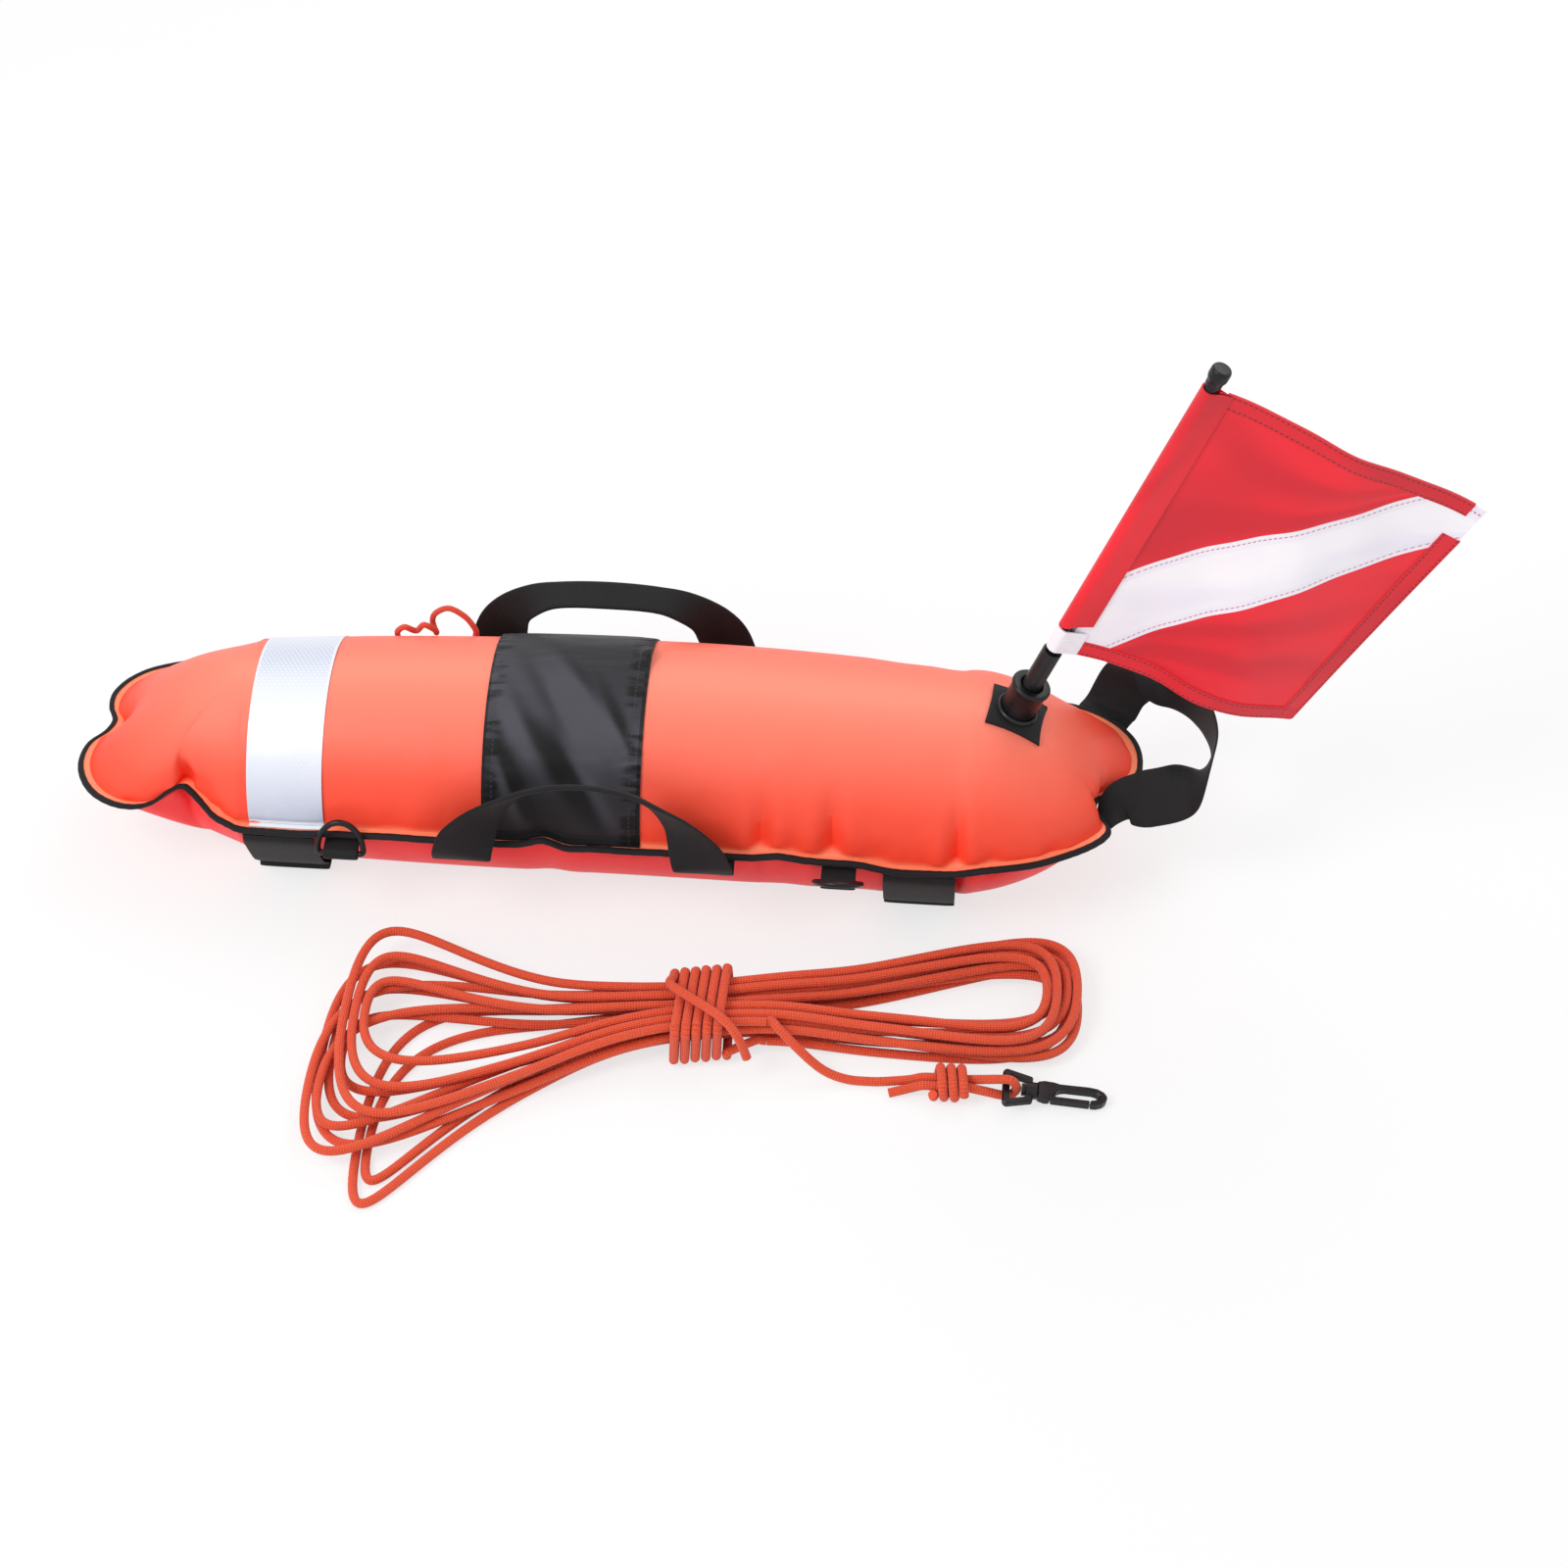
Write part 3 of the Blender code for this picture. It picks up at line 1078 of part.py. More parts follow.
def wrap_turns(first_x, pitch, turns, box, middle):
    """Turns wound round a bundle; its box is (near, far, low, high) of its corner strands' centres.

    The rope keeps one step away from the corner strands and advances evenly with its length.
    """
    near, far, low, high = box
    corners = [(near, low, 180), (far, low, 270), (far, high, 0), (near, high, 90)]
    section = []
    for out, up, start in corners:
        for k in range(WRAP_CORNER_POINTS):
            angle = math.radians(start + 90 * k / (WRAP_CORNER_POINTS - 1))
            section.append((out + WRAP_RADIUS * math.cos(angle), up + WRAP_RADIUS * math.sin(angle)))
    section = [p for p, q in zip(section, section[1:] + section[:1]) if math.dist(p, q) > GAP]
    sides = [math.dist(p, q) for p, q in zip(section, section[1:] + section[:1])]
    points, run = [], 0.0
    for number in range(turns * len(section) + 1):
        out, up = section[number % len(section)]
        x = first_x + pitch * run / sum(sides)
        points.append((x, middle(x) + out, up))
        run += sides[number % len(section)]
    return points


def print_cord(name, points, diameter):
    """Print a cord's length and its least gap to itself."""
    length = float(np.linalg.norm(np.diff(np.asarray(points), axis=0), axis=1).sum())
    print(f"{name}: least gap {1000 * least_gap(points, diameter):.2f} mm, length {length:.3f} m")


def least_gap(points, diameter, apart=OWN_END_DIAMETERS):
    """Least gap between stretches of a cord that aren't neighbours, measured on points along it."""
    points = np.asarray(points)
    fine = np.concatenate([points[:-1] + (points[1:] - points[:-1]) * k / 4 for k in range(4)])
    fine = fine.reshape(4, -1, 3).transpose(1, 0, 2).reshape(-1, 3)
    run = np.concatenate([[0], np.cumsum(np.linalg.norm(np.diff(fine, axis=0), axis=1))])
    least = math.inf
    for k in range(0, len(fine), 64):
        away = np.linalg.norm(fine[k:k + 64, None] - fine[None], axis=2)
        same = np.abs(run[k:k + 64, None] - run[None]) < apart * diameter
        least = min(least, float(np.where(same, math.inf, away).min()))
    return least - diameter


def rope(look):
    """The tow rope: hank, turns round its waist with the free end, lead to the hook and the knot on it."""
    count = HANK_LOOPS * HANK_POINTS
    hank = hank_point(np.linspace(HANK_START_TURN_SHARE, HANK_LOOPS + HANK_START_TURN_SHARE, count + 1))
    cord("rope_hank", hank, ROPE, 1, look)
    wraps = waist_turns(hank)
    cord("rope_waist_turns", wraps, ROPE, 1, look)
    lead = rope_lead(hank)
    cord("rope_lead", lead, ROPE, 2, look)
    across = WRAP_RADIUS / 2
    box = (-across, across, LEAD_HEIGHT, LEAD_HEIGHT)
    knot = wrap_turns(KNOT_X, WRAP_PITCH, KNOT_TURNS, box, knot_middle)
    cord("rope_knot", knot, ROPE, 1, look)
    for label, points in (("hank", hank), ("waist turns", wraps), ("lead", lead), ("knot", knot)):
        print_cord(label, points, ROPE)


def waist_turns(hank):
    """From the hank's lower end once more round its waist, turn beside turn, and out over them."""
    per_layer = HANK_LOOPS / HANK_LAYERS
    near = -ROPE_STEP * (per_layer + HANK_OFF_SHARE) - HANK_BULGE
    far = ROPE_STEP * (per_layer - HANK_OFF_SHARE) + HANK_BULGE
    high = LIE_HEIGHT + HANK_LIFT + ROPE_STEP * (HANK_LAYERS - 1) + ROPE_GAP
    box = (near, far, LIE_HEIGHT + WRAP_RADIUS, high)
    first = HANK_WAIST[0] + WRAP_PITCH * WRAP_TURNS / 2
    turns = wrap_turns(first, -WRAP_PITCH, WRAP_TURNS, box, waist_middle)
    turns = turns[:len(turns) - WRAP_CORNER_POINTS - 1]
    way = (hank[0] - hank[1]) / np.linalg.norm(hank[0] - hank[1])
    start = hank[0] + way * GAP
    route = [start + way * ROPE / 2, start + way * ROPE, start + np.array(WRAP_LEAD_IN), turns[0]]
    lead_in = np.concatenate([[start], through_points(route, WRAP_IN_STEPS)[:-1]])
    tail = route_steps([turns[-1]] + TAIL_ROUTE, ROPE, WRAP_TAIL_STEPS)[1:]
    return np.concatenate([lead_in, turns, tail])


def rope_lead(hank):
    """From the hank's upper end down to the floor, through the knot, round the hook's eye and back."""
    way = (hank[-1] - hank[-2]) / np.linalg.norm(hank[-1] - hank[-2])
    start = hank[-1] + way * GAP
    across, radius = WRAP_RADIUS / 2, lead_bend()
    knot_end = KNOT_X + WRAP_PITCH * KNOT_TURNS
    places = [KNOT_X - ROPE, KNOT_X, knot_end, knot_end + ROPE / 2]
    there = [(KNOT_X - KNOT_APPROACH, KNOT_Y + across, LEAD_HEIGHT - across)]
    there += [(x, KNOT_Y + across, LEAD_HEIGHT) for x in places]
    rise = LIE_HEIGHT + radius
    bend = [math.radians(90 - 30 * k) for k in range(7)]
    side = [KNOT_Y + LEAD_CROSSING * (1 - k / 3) - HOOK_SIDE for k in range(7)]
    round_eye = [(HOOK_X + radius * math.cos(a), y, rise + radius * math.sin(a))
                 for a, y in zip(bend, side)]
    back = [(x, y - 2 * (y - KNOT_Y), z) for x, y, z in there[::-1]]
    back += [(KNOT_X - 2 * KNOT_APPROACH, KNOT_Y - ROPE, LIE_HEIGHT)]
    route = [*LEAD_ROUTE, *there, *round_eye, *back]
    points = route_steps([start + way * ROPE / 2, *route], ROPE, LEAD_STEPS)
    points = np.concatenate([[start], points])
    points[:, 2] = np.maximum(points[:, 2], LIE_HEIGHT)
    return points


def lead_bend():
    """Radius of the rope's centre line round the bar of the hook's eye."""
    return HOOK_EYE_BAR / math.sqrt(2) + ROPE / 2 + ROPE_GAP


def lanyard_route():
    """Centre line of the thin cord between its two knots, apart from its straight ends."""
    points = []
    for x, rise_deg, clear in LANYARD_OVER:
        radius, angle = float(body_radius(x)), math.radians(rise_deg)
        reach = radius + clear
        points.append((x, reach * math.cos(angle), radius - FLAT_DEPTH + reach * math.sin(angle)))
    for x, clear, height in LANYARD_DOWN:
        points.append((x, float(body_radius(x)) + EDGE_OUT + clear, height))
    return points


def lanyard(look):
    """The thin cord along the far side, tied at both ends to the ring tabs there."""
    ends = []
    for label, x, way in (("aft", RING_AFT_X, 1), ("fore", RING_FORE_X, -1)):
        out, height, _ = ring_place(x)
        radius = LANYARD_KNOT / 2
        centre = Vector((x, out, height + tab_radius() + GAP + radius))
        profile = [(radius * across, radius * up) for across, up in LANYARD_KNOT_SHARES]
        knot = turned(f"lanyard_knot_{label}", profile, SMALL_SIDES, look, 60)
        lying_down = Matrix.Rotation(math.pi / 2, 4, "Y")
        attach(knot, pivot(f"lanyard_knot_{label}_place", centre, lying_down), False)
        start = centre + Vector((way * (radius + GAP), 0, 0))
        ends.append([tuple(start), tuple(start + Vector((way * LANYARD, 0, 0)))])
    points = straight_ended(ends[0], lanyard_route(), ends[1][::-1], LANYARD, LANYARD_STEPS)
    points[:, 2] = np.maximum(points[:, 2], LANYARD / 2 + GAP)
    cord("far_lanyard", points, LANYARD, 2, look)
    print_cord("lanyard", points, LANYARD)


# Swivel snap hook

def hook_frame():
    """Place and tilt of the hook: its eye is held up by the rope under its bar and its tip lies down."""
    rise = LIE_HEIGHT + lead_bend()
    reach = HOOK_EYE_LENGTH + HOOK_BODY_LENGTH
    tilt = math.asin((rise - HOOK_THICKNESS / 2 - 2 * GAP) / reach)
    return Vector((HOOK_X, KNOT_Y - HOOK_SIDE, rise)), Matrix.Rotation(tilt, 4, "Y")


def lying(item):
    """Turn a piece made about Z so that its axis lies along X."""
    item.data.transform(Matrix.Rotation(math.pi / 2, 4, "Y"))
    return item


def rod(name, radius, start, end, sides, look):
    """A plain rod along X."""
    return lying(turned(name, [(0, start), (radius, start), (radius, end), (0, end)], sides, look))


def hook(look):
    """The swivel eye with its collar, the hook body with its stem in the collar, and the sprung gate."""
    place, tilt = hook_frame()
    carrier = pivot("hook_place", place, tilt)
    bar = HOOK_EYE_BAR
    half, narrow = HOOK_EYE_WIDTH / 2, HOOK_EYE_WIDTH * HOOK_EYE_NARROW_SHARE
    back = HOOK_EYE_LENGTH - HOOK_BOSS_LENGTH
    chamfer = bar / 2
    outline = [
        (-bar / 2, -half + chamfer), (-bar / 2 + chamfer, -half), (back + bar, -narrow),
        (back + bar, narrow), (-bar / 2 + chamfer, half), (-bar / 2, half - chamfer),
    ]
    eye = prism("hook_eye", outline, -bar / 2, bar / 2, look)
    edge = eye.modifiers.new("edge", "BEVEL")
    edge.width, edge.segments, edge.limit_method = HOOK_EDGE, 1, "ANGLE"
    side = narrow - bar * HOOK_WINDOW_SHARE
    window = [(bar / 2, -half + bar), (back, -side), (back, side), (bar / 2, half - bar)]
    combine(eye, prism("window_cutter", window, -bar, bar, look), "DIFFERENCE")
    combine(eye, rod("boss", HOOK_BOSS_DIAMETER / 2, back, HOOK_EYE_LENGTH, ROUND_SIDES, look), "UNION")
    bore = HOOK_STEM / 2 + HOOK_STEM_RUN
    bore_ends = back - CUTTER_OVERRUN, HOOK_EYE_LENGTH + CUTTER_OVERRUN
    combine(eye, rod("bore_cutter", bore, *bore_ends, SMALL_SIDES, look), "DIFFERENCE")
    start = HOOK_EYE_LENGTH + GAP
    body_outline = [(start + HOOK_BODY_LENGTH * a, HOOK_BODY_WIDTH * b) for a, b in HOOK_BODY_SHARES]
    body = prism("hook_body", body_outline, -HOOK_THICKNESS / 2, HOOK_THICKNESS / 2, look)
    edge = body.modifiers.new("edge", "BEVEL")
    edge.width, edge.segments, edge.limit_method = HOOK_EDGE, 1, "ANGLE"
    head_end = back - GAP
    stem_ends = head_end - HOOK_HEAD_LENGTH / 2, start + CUTTER_OVERRUN
    combine(body, rod("stem", HOOK_STEM / 2, *stem_ends, SMALL_SIDES, look), "UNION")
    head_ends = head_end - HOOK_HEAD_LENGTH, head_end
    combine(body, rod("head", HOOK_HEAD_DIAMETER / 2, *head_ends, SMALL_SIDES, look), "UNION")
    pin = (start + HOOK_BODY_LENGTH * GATE_PIN_SHARE[0], HOOK_BODY_WIDTH * GATE_PIN_SHARE[1])
    tip = start + HOOK_BODY_LENGTH * GATE_TIP_SHARE
    round_end = [math.radians(90 + 180 * k / 6) for k in range(7)]
    radius = GATE_THICKNESS / 2
    gate_outline = [(pin[0] + radius * math.cos(a), pin[1] + radius * math.sin(a)) for a in round_end]
    gate_outline += [(tip, pin[1] - radius), (tip, pin[1] + radius)]
    gate = prism("hook_gate", gate_outline, -GATE_DEPTH / 2, GATE_DEPTH / 2, look)
    for item in (eye, body, gate):
        attach(item, carrier, keep_world=False)


def main():
    """Build the buoy and its rope."""
    clear_scene()
    skin = (ORANGE, 0.42)
    black = (BLACK, 0.75)
    plastic = (BLACK, 0.38)
    sheet("float_upper_sheet", 1, skin)
    sheet("float_lower_sheet", -1, skin)
    binding(black)
    band("reflective_band", REFLECTIVE_X, REFLECTIVE_WIDTH, ((0.80, 0.82, 0.86), 0.35))
    band("grip_panel", PANEL_X, PANEL_WIDTH, (BLACK, 0.5))
    handle("near_handle", -1, NEAR_HANDLE_RISE, NEAR_GRIP_WAY, black)
    handle("far_handle", 1, FAR_HANDLE_RISE, FAR_GRIP_WAY, black)
    nose_handle(black)
    rings = [
        ("near_aft", RING_AFT_X, -1, NEAR_AFT_RING_DEG), ("near_fore", RING_FORE_X, -1, NEAR_FORE_RING_DEG),
        ("far_aft", RING_AFT_X, 1, FAR_RING_DEG), ("far_fore", RING_FORE_X, 1, FAR_RING_DEG),
    ]
    for label, x, side, turn_deg in rings:
        ring_tab(f"ring_tab_{label}", x, side, black)
        ring(f"d_ring_{label}", x, side, turn_deg, plastic)
    belly_strap("belly_strap_aft", STRAP_AFT_X, black)
    belly_strap("belly_strap_fore", STRAP_FORE_X, black)
    patch(plastic)
    socket(plastic, plastic)
    pole((BLACK, 0.3), plastic, plastic)
    flag(((0.75, 0.01, 0.02), 0.6), ((0.88, 0.88, 0.90), 0.6))
    valve(skin, plastic, plastic)
    lanyard((CORD_ORANGE, 0.7))
    rope((CORD_ORANGE, 0.7))
    hook(plastic)


main()
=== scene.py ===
"""Looks of the inflatable dive buoy: its float, webbing, pole with the flag, and tow rope.

Metres, +Z up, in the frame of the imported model: nose and flag at +X, near side at -Y, belly on z = 0.
Shapes are worked out with numpy as whole grids of points, and each finish is a small class.
"""
from __future__ import annotations

import logging
import math
from dataclasses import dataclass
from enum import Enum
from typing import Callable, Sequence, Union

import bmesh
import bpy
import numpy as np
from mathutils import Matrix, Vector

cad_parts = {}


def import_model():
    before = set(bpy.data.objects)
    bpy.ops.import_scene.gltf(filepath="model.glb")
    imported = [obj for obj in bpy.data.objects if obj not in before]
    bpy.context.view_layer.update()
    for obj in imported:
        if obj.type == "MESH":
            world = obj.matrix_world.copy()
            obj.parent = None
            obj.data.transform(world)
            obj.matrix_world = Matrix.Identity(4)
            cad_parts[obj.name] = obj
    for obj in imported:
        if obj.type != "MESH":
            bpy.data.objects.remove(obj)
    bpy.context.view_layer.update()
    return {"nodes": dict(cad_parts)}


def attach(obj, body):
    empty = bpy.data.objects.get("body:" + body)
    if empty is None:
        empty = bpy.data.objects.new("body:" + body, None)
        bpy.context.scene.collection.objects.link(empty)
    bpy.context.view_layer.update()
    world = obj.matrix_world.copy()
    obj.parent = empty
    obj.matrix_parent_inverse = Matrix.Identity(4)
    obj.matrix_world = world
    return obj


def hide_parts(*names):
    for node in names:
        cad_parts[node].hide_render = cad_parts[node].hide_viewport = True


log = logging.getLogger("dive_buoy")
Array = np.ndarray
Colour = tuple[float, float, float]

GAP = 0.0003
SHEET = 0.0009
TAPE = 0.0007
WEBBING = 0.0018
ALONG = (1.0, 0.0, 0.0)
UV_NAME = "surface"


class Side(Enum):
    """Side of the float: near faces -Y."""

    NEAR = -1
    FAR = 1


class Cap(Enum):
    """How the first and last row of a closed section are filled."""

    NONE = "none"
    FAN = "fan"
    STRIP = "strip"


class Slot(Enum):
    """Material slots of the record."""

    SKIN = "coated_fabric"
    WEBBING = "black_webbing"
    PANEL = "panel_cloth"
    TAPE = "reflective_tape"
    PLASTIC = "black_plastic"
    ROD = "pole_rod"
    RED = "flag_red"
    WHITE = "flag_white"
    CORD = "orange_cord"


def srgb(red: int, green: int, blue: int) -> Colour:
    """Linear colour of an 8 bit one."""
    share = np.array([red, green, blue]) / 255
    linear = np.where(share <= 0.04045, share / 12.92, ((share + 0.055) / 1.055) ** 2.4)
    return tuple(float(c) for c in linear)


# Shader sums and finishes

def operator(operation: str, backwards: bool = False) -> Callable[[Term, Feed], Term]:
    """Operator of a term that adds one Math node; backwards, the other value comes first."""
    def apply(term: Term, other: Feed) -> Term:
        """Result of the operation on the term and the other value."""
        return term.math(operation, *((other, term) if backwards else (term, other)))
    return apply


class Term:
    """A socket that takes part in sums."""

    __add__ = __radd__ = operator("ADD")
    __sub__, __rsub__ = operator("SUBTRACT"), operator("SUBTRACT", True)
    __mul__ = __rmul__ = operator("MULTIPLY")
    __truediv__ = operator("DIVIDE")

    def __init__(self, board: Board, socket: bpy.types.NodeSocket) -> None:
        """Keep the board that the socket's node stands on."""
        self.board, self.socket = board, socket

    def math(self, operation: str, *values: Feed) -> Term:
        """Result of a Math node on the given values."""
        return self.board.add("ShaderNodeMath", {"operation": operation}, *values)

    def __abs__(self) -> Term:
        """Size without the sign."""
        return self.math("ABSOLUTE", self)

    def wave(self, length: float) -> Term:
        """Sine of the value with the given wave length."""
        return self.math("SINE", self * (2 * math.pi / length))

    def step(self, low: float, high: float) -> Term:
        """Smooth step from 0 at low to 1 at high."""
        kind = {"interpolation_type": "SMOOTHSTEP"}
        return self.board.add("ShaderNodeMapRange", kind, self, low, high, 0.0, 1.0)

    def out(self, name: str) -> Term:
        """Another output of the same node."""
        return Term(self.board, self.socket.node.outputs[name])


Feed = Union[Term, float, Sequence[float]]


class Board:
    """The node tree of one material or of the world."""

    def __init__(self, owner: bpy.types.ID) -> None:
        """Start from an empty tree."""
        owner.use_nodes = True
        self.tree = owner.node_tree
        self.tree.nodes.clear()

    def add(self, kind: str, settings: dict | None = None, *values: Feed, output: str | int = 0,
            **named: Feed) -> Term:
        """Add a node.

        Args:
            kind: The node's type.
            settings: Its own settings, set first; "stops" are a ramp's places and colours.
            values: Values or links of its inputs in their order.
            output: The output to go on with.
            named: Values or links of inputs by name, with _ for a space, or by number as n6.

        Returns:
            The chosen output.
        """
        node = self.tree.nodes.new(kind)
        for key, value in (settings or {}).items():
            setattr(node, key, value)
        places: list[tuple[str | int, Feed]] = list(enumerate(values))
        places += [(int(k[1:]) if k[1:].isdigit() else k.replace("_", " "), v) for k, v in named.items()]
        for place, value in places:
            socket = node.inputs[place]
            if isinstance(value, Term):
                self.tree.links.new(value.socket, socket)
            elif socket.type == "RGBA":
                socket.default_value = (*value[:3], 1.0)
            else:
                socket.default_value = value
        return Term(self, node.outputs[output]) if node.outputs else Term(self, node.inputs[0])

    def place(self) -> Term:
        """Object coordinates."""
        return self.add("ShaderNodeTexCoord", output="Object")

    def surface(self) -> tuple[Term, Term]:
        """The piece's own UV map in metres: across it and along it."""
        both = self.add("ShaderNodeSeparateXYZ", None, self.add("ShaderNodeUVMap", {"uv_map": UV_NAME}))
        return both.out("X"), both.out("Y")

    def mark(self, name: str) -> Term:
        """A number stored on the mesh's points."""
        return self.add("ShaderNodeAttribute", {"attribute_name": name}, output="Fac")

    def pair(self, x: Feed, y: Feed) -> Term:
        """A vector of two numbers."""
        return self.add("ShaderNodeCombineXYZ", None, x, y, 0.0)

    def stretched(self, vector: Term, scale: Sequence[float], turn: Sequence[float] = (0, 0, 0)) -> Term:
        """A vector scaled and turned before a pattern reads it."""
        return self.add("ShaderNodeMapping", None, vector, Rotation=turn, Scale=scale)

    def noise(self, vector: Term, scale: float, detail: float = 2.0, rough: float = 0.5) -> Term:
        """Soft noise from 0 to 1."""
        return self.add("ShaderNodeTexNoise", None, Vector=vector, Scale=scale, Detail=detail,
                        Roughness=rough)

    def mix(self, share: Feed, first: Feed, second: Feed) -> Term:
        """Colour between two others."""
        kind = {"data_type": "RGBA"}
        return self.add("ShaderNodeMix", kind, n0=share, n6=first, n7=second, output=2)

    def finish(self, base: Feed, roughness: Feed, height: Term, **fixed: Feed) -> None:
        """Principled shader on the material's output, its surface raised by a height in metres."""
        normal = self.add("ShaderNodeBump", None, Strength=1.0, Distance=1.0, Height=height)
        fixed.update(Base_Color=base, Roughness=roughness, Normal=normal)
        shader = self.add("ShaderNodeBsdfPrincipled", None, **fixed)
        self.add("ShaderNodeOutputMaterial", None, Surface=shader)


def weave(u: Term, v: Term, thread: float) -> Term:
    """Plain weave from 0 to 1: threads along each way rise over the other in turn."""
    over = u.wave(4 * thread) * v.wave(4 * thread)
    warp, weft = abs(u.wave(2 * thread)), abs(v.wave(2 * thread))
    return 0.5 * (warp + weft) + 0.5 * over * (warp - weft)


def stitches(across: Term, along: Term, at: float, pitch: float, thread: float = 0.0007) -> Term:
    """Mask of a row of stitches at a place across the cloth."""
    line = 1 - abs(across - at).step(0.5 * thread, 0.9 * thread)
    return line * along.wave(pitch).step(-0.45, -0.1)


def margin(across: Term, width: float, inner: float, outer: float) -> Term:
    """Mask of both margins of a band: 0 up to the inner distance from its edges, 1 from the outer one on."""
    return abs(across - width / 2).step(width / 2 - inner, width / 2 - outer)


@dataclass(frozen=True)
class Finish:
    """A finish that makes its material once and then shares it."""

    name: str
    slot: Slot

    def draw(self, board: Board) -> None:
        """Lay out the nodes."""
        raise NotImplementedError

    def material(self) -> bpy.types.Material:
        """The material of this finish."""
        found = bpy.data.materials.get(f"{self.name}_finish")
        if found is None:
            found = bpy.data.materials.new(f"{self.name}_finish")
            self.draw(Board(found))
        return found


@dataclass(frozen=True)
class CoatedCloth(Finish):
    """Satin coated cloth: fine weave under the coat, a paler weld strip, painted shade near the seam and
    painted light at the crest.
    """

    colour: Colour
    # Colour of the painted shade near the seam.
    deep: Colour
    weld: Colour
    # Colour of the painted light at the crest: a paler sheen on top of the upper sheet, a darker shade under
    # the lower one.
    crest: Colour
    thread: float = 0.00045
    weave_height: float = 0.00004
    grain_height: float = 0.00005
    slack_height: float = 0.0022
    roughness: float = 0.43

    def draw(self, board: Board) -> None:
        """Coat colour by broad noise with painted shade near the seam and painted light at the crest, weld
        strip by its mark, weave and slack as relief.
        """
        u, v = board.surface()
        place = board.place()
        broad, fine = board.noise(place, 9.0, 3.0), board.noise(place, 160.0, 2.0)
        near = board.mark("near_seam")
        # Painted shade: the colour deepens towards the seam (near_seam mark), mixed with a broad random tone.
        base = board.mix(0.30 * broad + 0.7 * near, self.colour, self.deep)
        # Painted light: the crest mark blends in the crest colour, a painted sheen on the upper sheet and
        # painted shade on the lower one.
        base = board.mix(board.mark("crest"), base, self.crest)
        base = board.mix(board.mark("weld"), base, self.weld)
        height = self.weave_height * weave(u, v, self.thread) + self.grain_height * fine
        height += self.slack_height * board.noise(place, 26.0, 2.0)
        rough = self.roughness + 0.10 * fine + 0.06 * near
        board.finish(base, rough, height, Coat_Weight=0.05, Coat_Roughness=0.32, Specular_IOR_Level=0.35)


@dataclass(frozen=True)
class ReflectiveTape(Finish):
    """Silver safety tape: small cells walled by paler ridges, with plain borders."""

    colour: Colour
    ridge: Colour
    # Bluish-grey of the painted shade towards the band's foot; it also tints the cell interiors near the
    # crest.
    low: Colour
    width: float
    cell: float = 0.0030
    row: float = 0.866
    border: tuple = (0.0020, 0.0012)
    ridge_height: float = 0.00006
    slack_height: float = 0.0016
    weld_height: float = 0.0006

    def draw(self, board: Board) -> None:
        """Three waves 60 degrees apart add up to the cells, which show most near the crest; painted shade
        darkens the band towards its foot.
        """
        u, v = board.surface()
        step, half = self.cell * self.row, u * self.row
        cells = v.wave(step) + (half + v * 0.5).wave(step) + (half - v * 0.5).wave(step)
        border = margin(u, self.width, *self.border)
        plain = cells.step(-0.6, -1.6) * (1 - border)
        broad = board.noise(board.place(), 16.0, 3.0)
        crest, foot = board.mark("crest"), board.mark("foot")
        base = board.mix(0.22 * plain + 0.35 * broad, self.colour, self.ridge)
        base = board.mix(crest * (1 - plain) * 0.55 * (1 - border), base, self.low)
        # Painted shade: bluish-grey towards the foot of the band, in broad patches.
        base = board.mix(foot * (0.45 + 0.8 * broad), base, self.low)
        base = board.mix(foot.step(0.962, 0.970) * 0.85, base, self.ridge)
        welds = foot.step(0.968, 0.974) * (1 - foot.step(0.988, 0.992))
        height = self.ridge_height * plain + self.slack_height * board.noise(board.place(), 22.0, 2.0)
        height = height + self.weld_height * welds
        board.finish(base, 0.34 + 0.14 * broad, height, Metallic=0.10, Coat_Weight=0.20, Coat_Roughness=0.16)


@dataclass(frozen=True)
class PanelCloth(Finish):
    """Black satin nylon with a stitch line inside each edge and slanting soft wrinkles, and painted sheen and
    shade in its colour.
    """

    colour: Colour
    # Colour of the painted sheen; the stitch rows are drawn in it as well.
    sheen: Colour
    width: float
    inset: float = 0.0065
    pitch: float = 0.0034
    fold: tuple = (0.0019, 0.0012)
    thread: float = 0.00040
    weave_height: float = 0.00005
    slack_height: float = 0.0040
    pucker_height: float = 0.0010
    stitch_depth: float = 0.0003
    fold_depth: float = 0.0004

    def draw(self, board: Board) -> None:
        """Weave, slanting slack and two rows of stitches as relief; painted light from the lit mark and the
        slack, painted shade in the folds and puckers.
        """
        u, v = board.surface()
        place = board.place()
        slack = board.noise(board.stretched(place, (1.0, 3.2, 1.6), (0.0, 0.0, -0.85)), 13.0, 2.0, 0.5)
        rows = stitches(u, v, self.inset, self.pitch) + stitches(u, v, self.width - self.inset, self.pitch)
        fold = margin(u, self.width, *self.fold)
        pucker = board.noise(board.stretched(place, (0.4, 2.4, 2.4), (0.0, 0.0, 0.35)), 75.0, 1.0)
        edge = margin(u, self.width, 2.2 * self.inset, self.inset)
        # Painted light: the lit mark and the slack lighten the cloth towards the sheen colour; painted shade
        # darkens the folded margins and the puckers.
        lit = board.mark("lit") + 0.45 * slack - 0.35 * fold - 0.50 * edge * pucker.step(0.45, 0.62) - 0.25
        base = board.mix(lit.step(0.0, 1.0), self.colour, self.sheen)
        base = board.mix(0.45 * rows, base, self.sheen)
        height = self.weave_height * weave(u, v, self.thread) + self.slack_height * slack
        height = height + self.pucker_height * edge * pucker - self.stitch_depth * rows
        board.finish(base, 0.42 + 0.16 * slack, height - self.fold_depth * fold, Sheen_Weight=0.05,
                     Specular_IOR_Level=0.20)


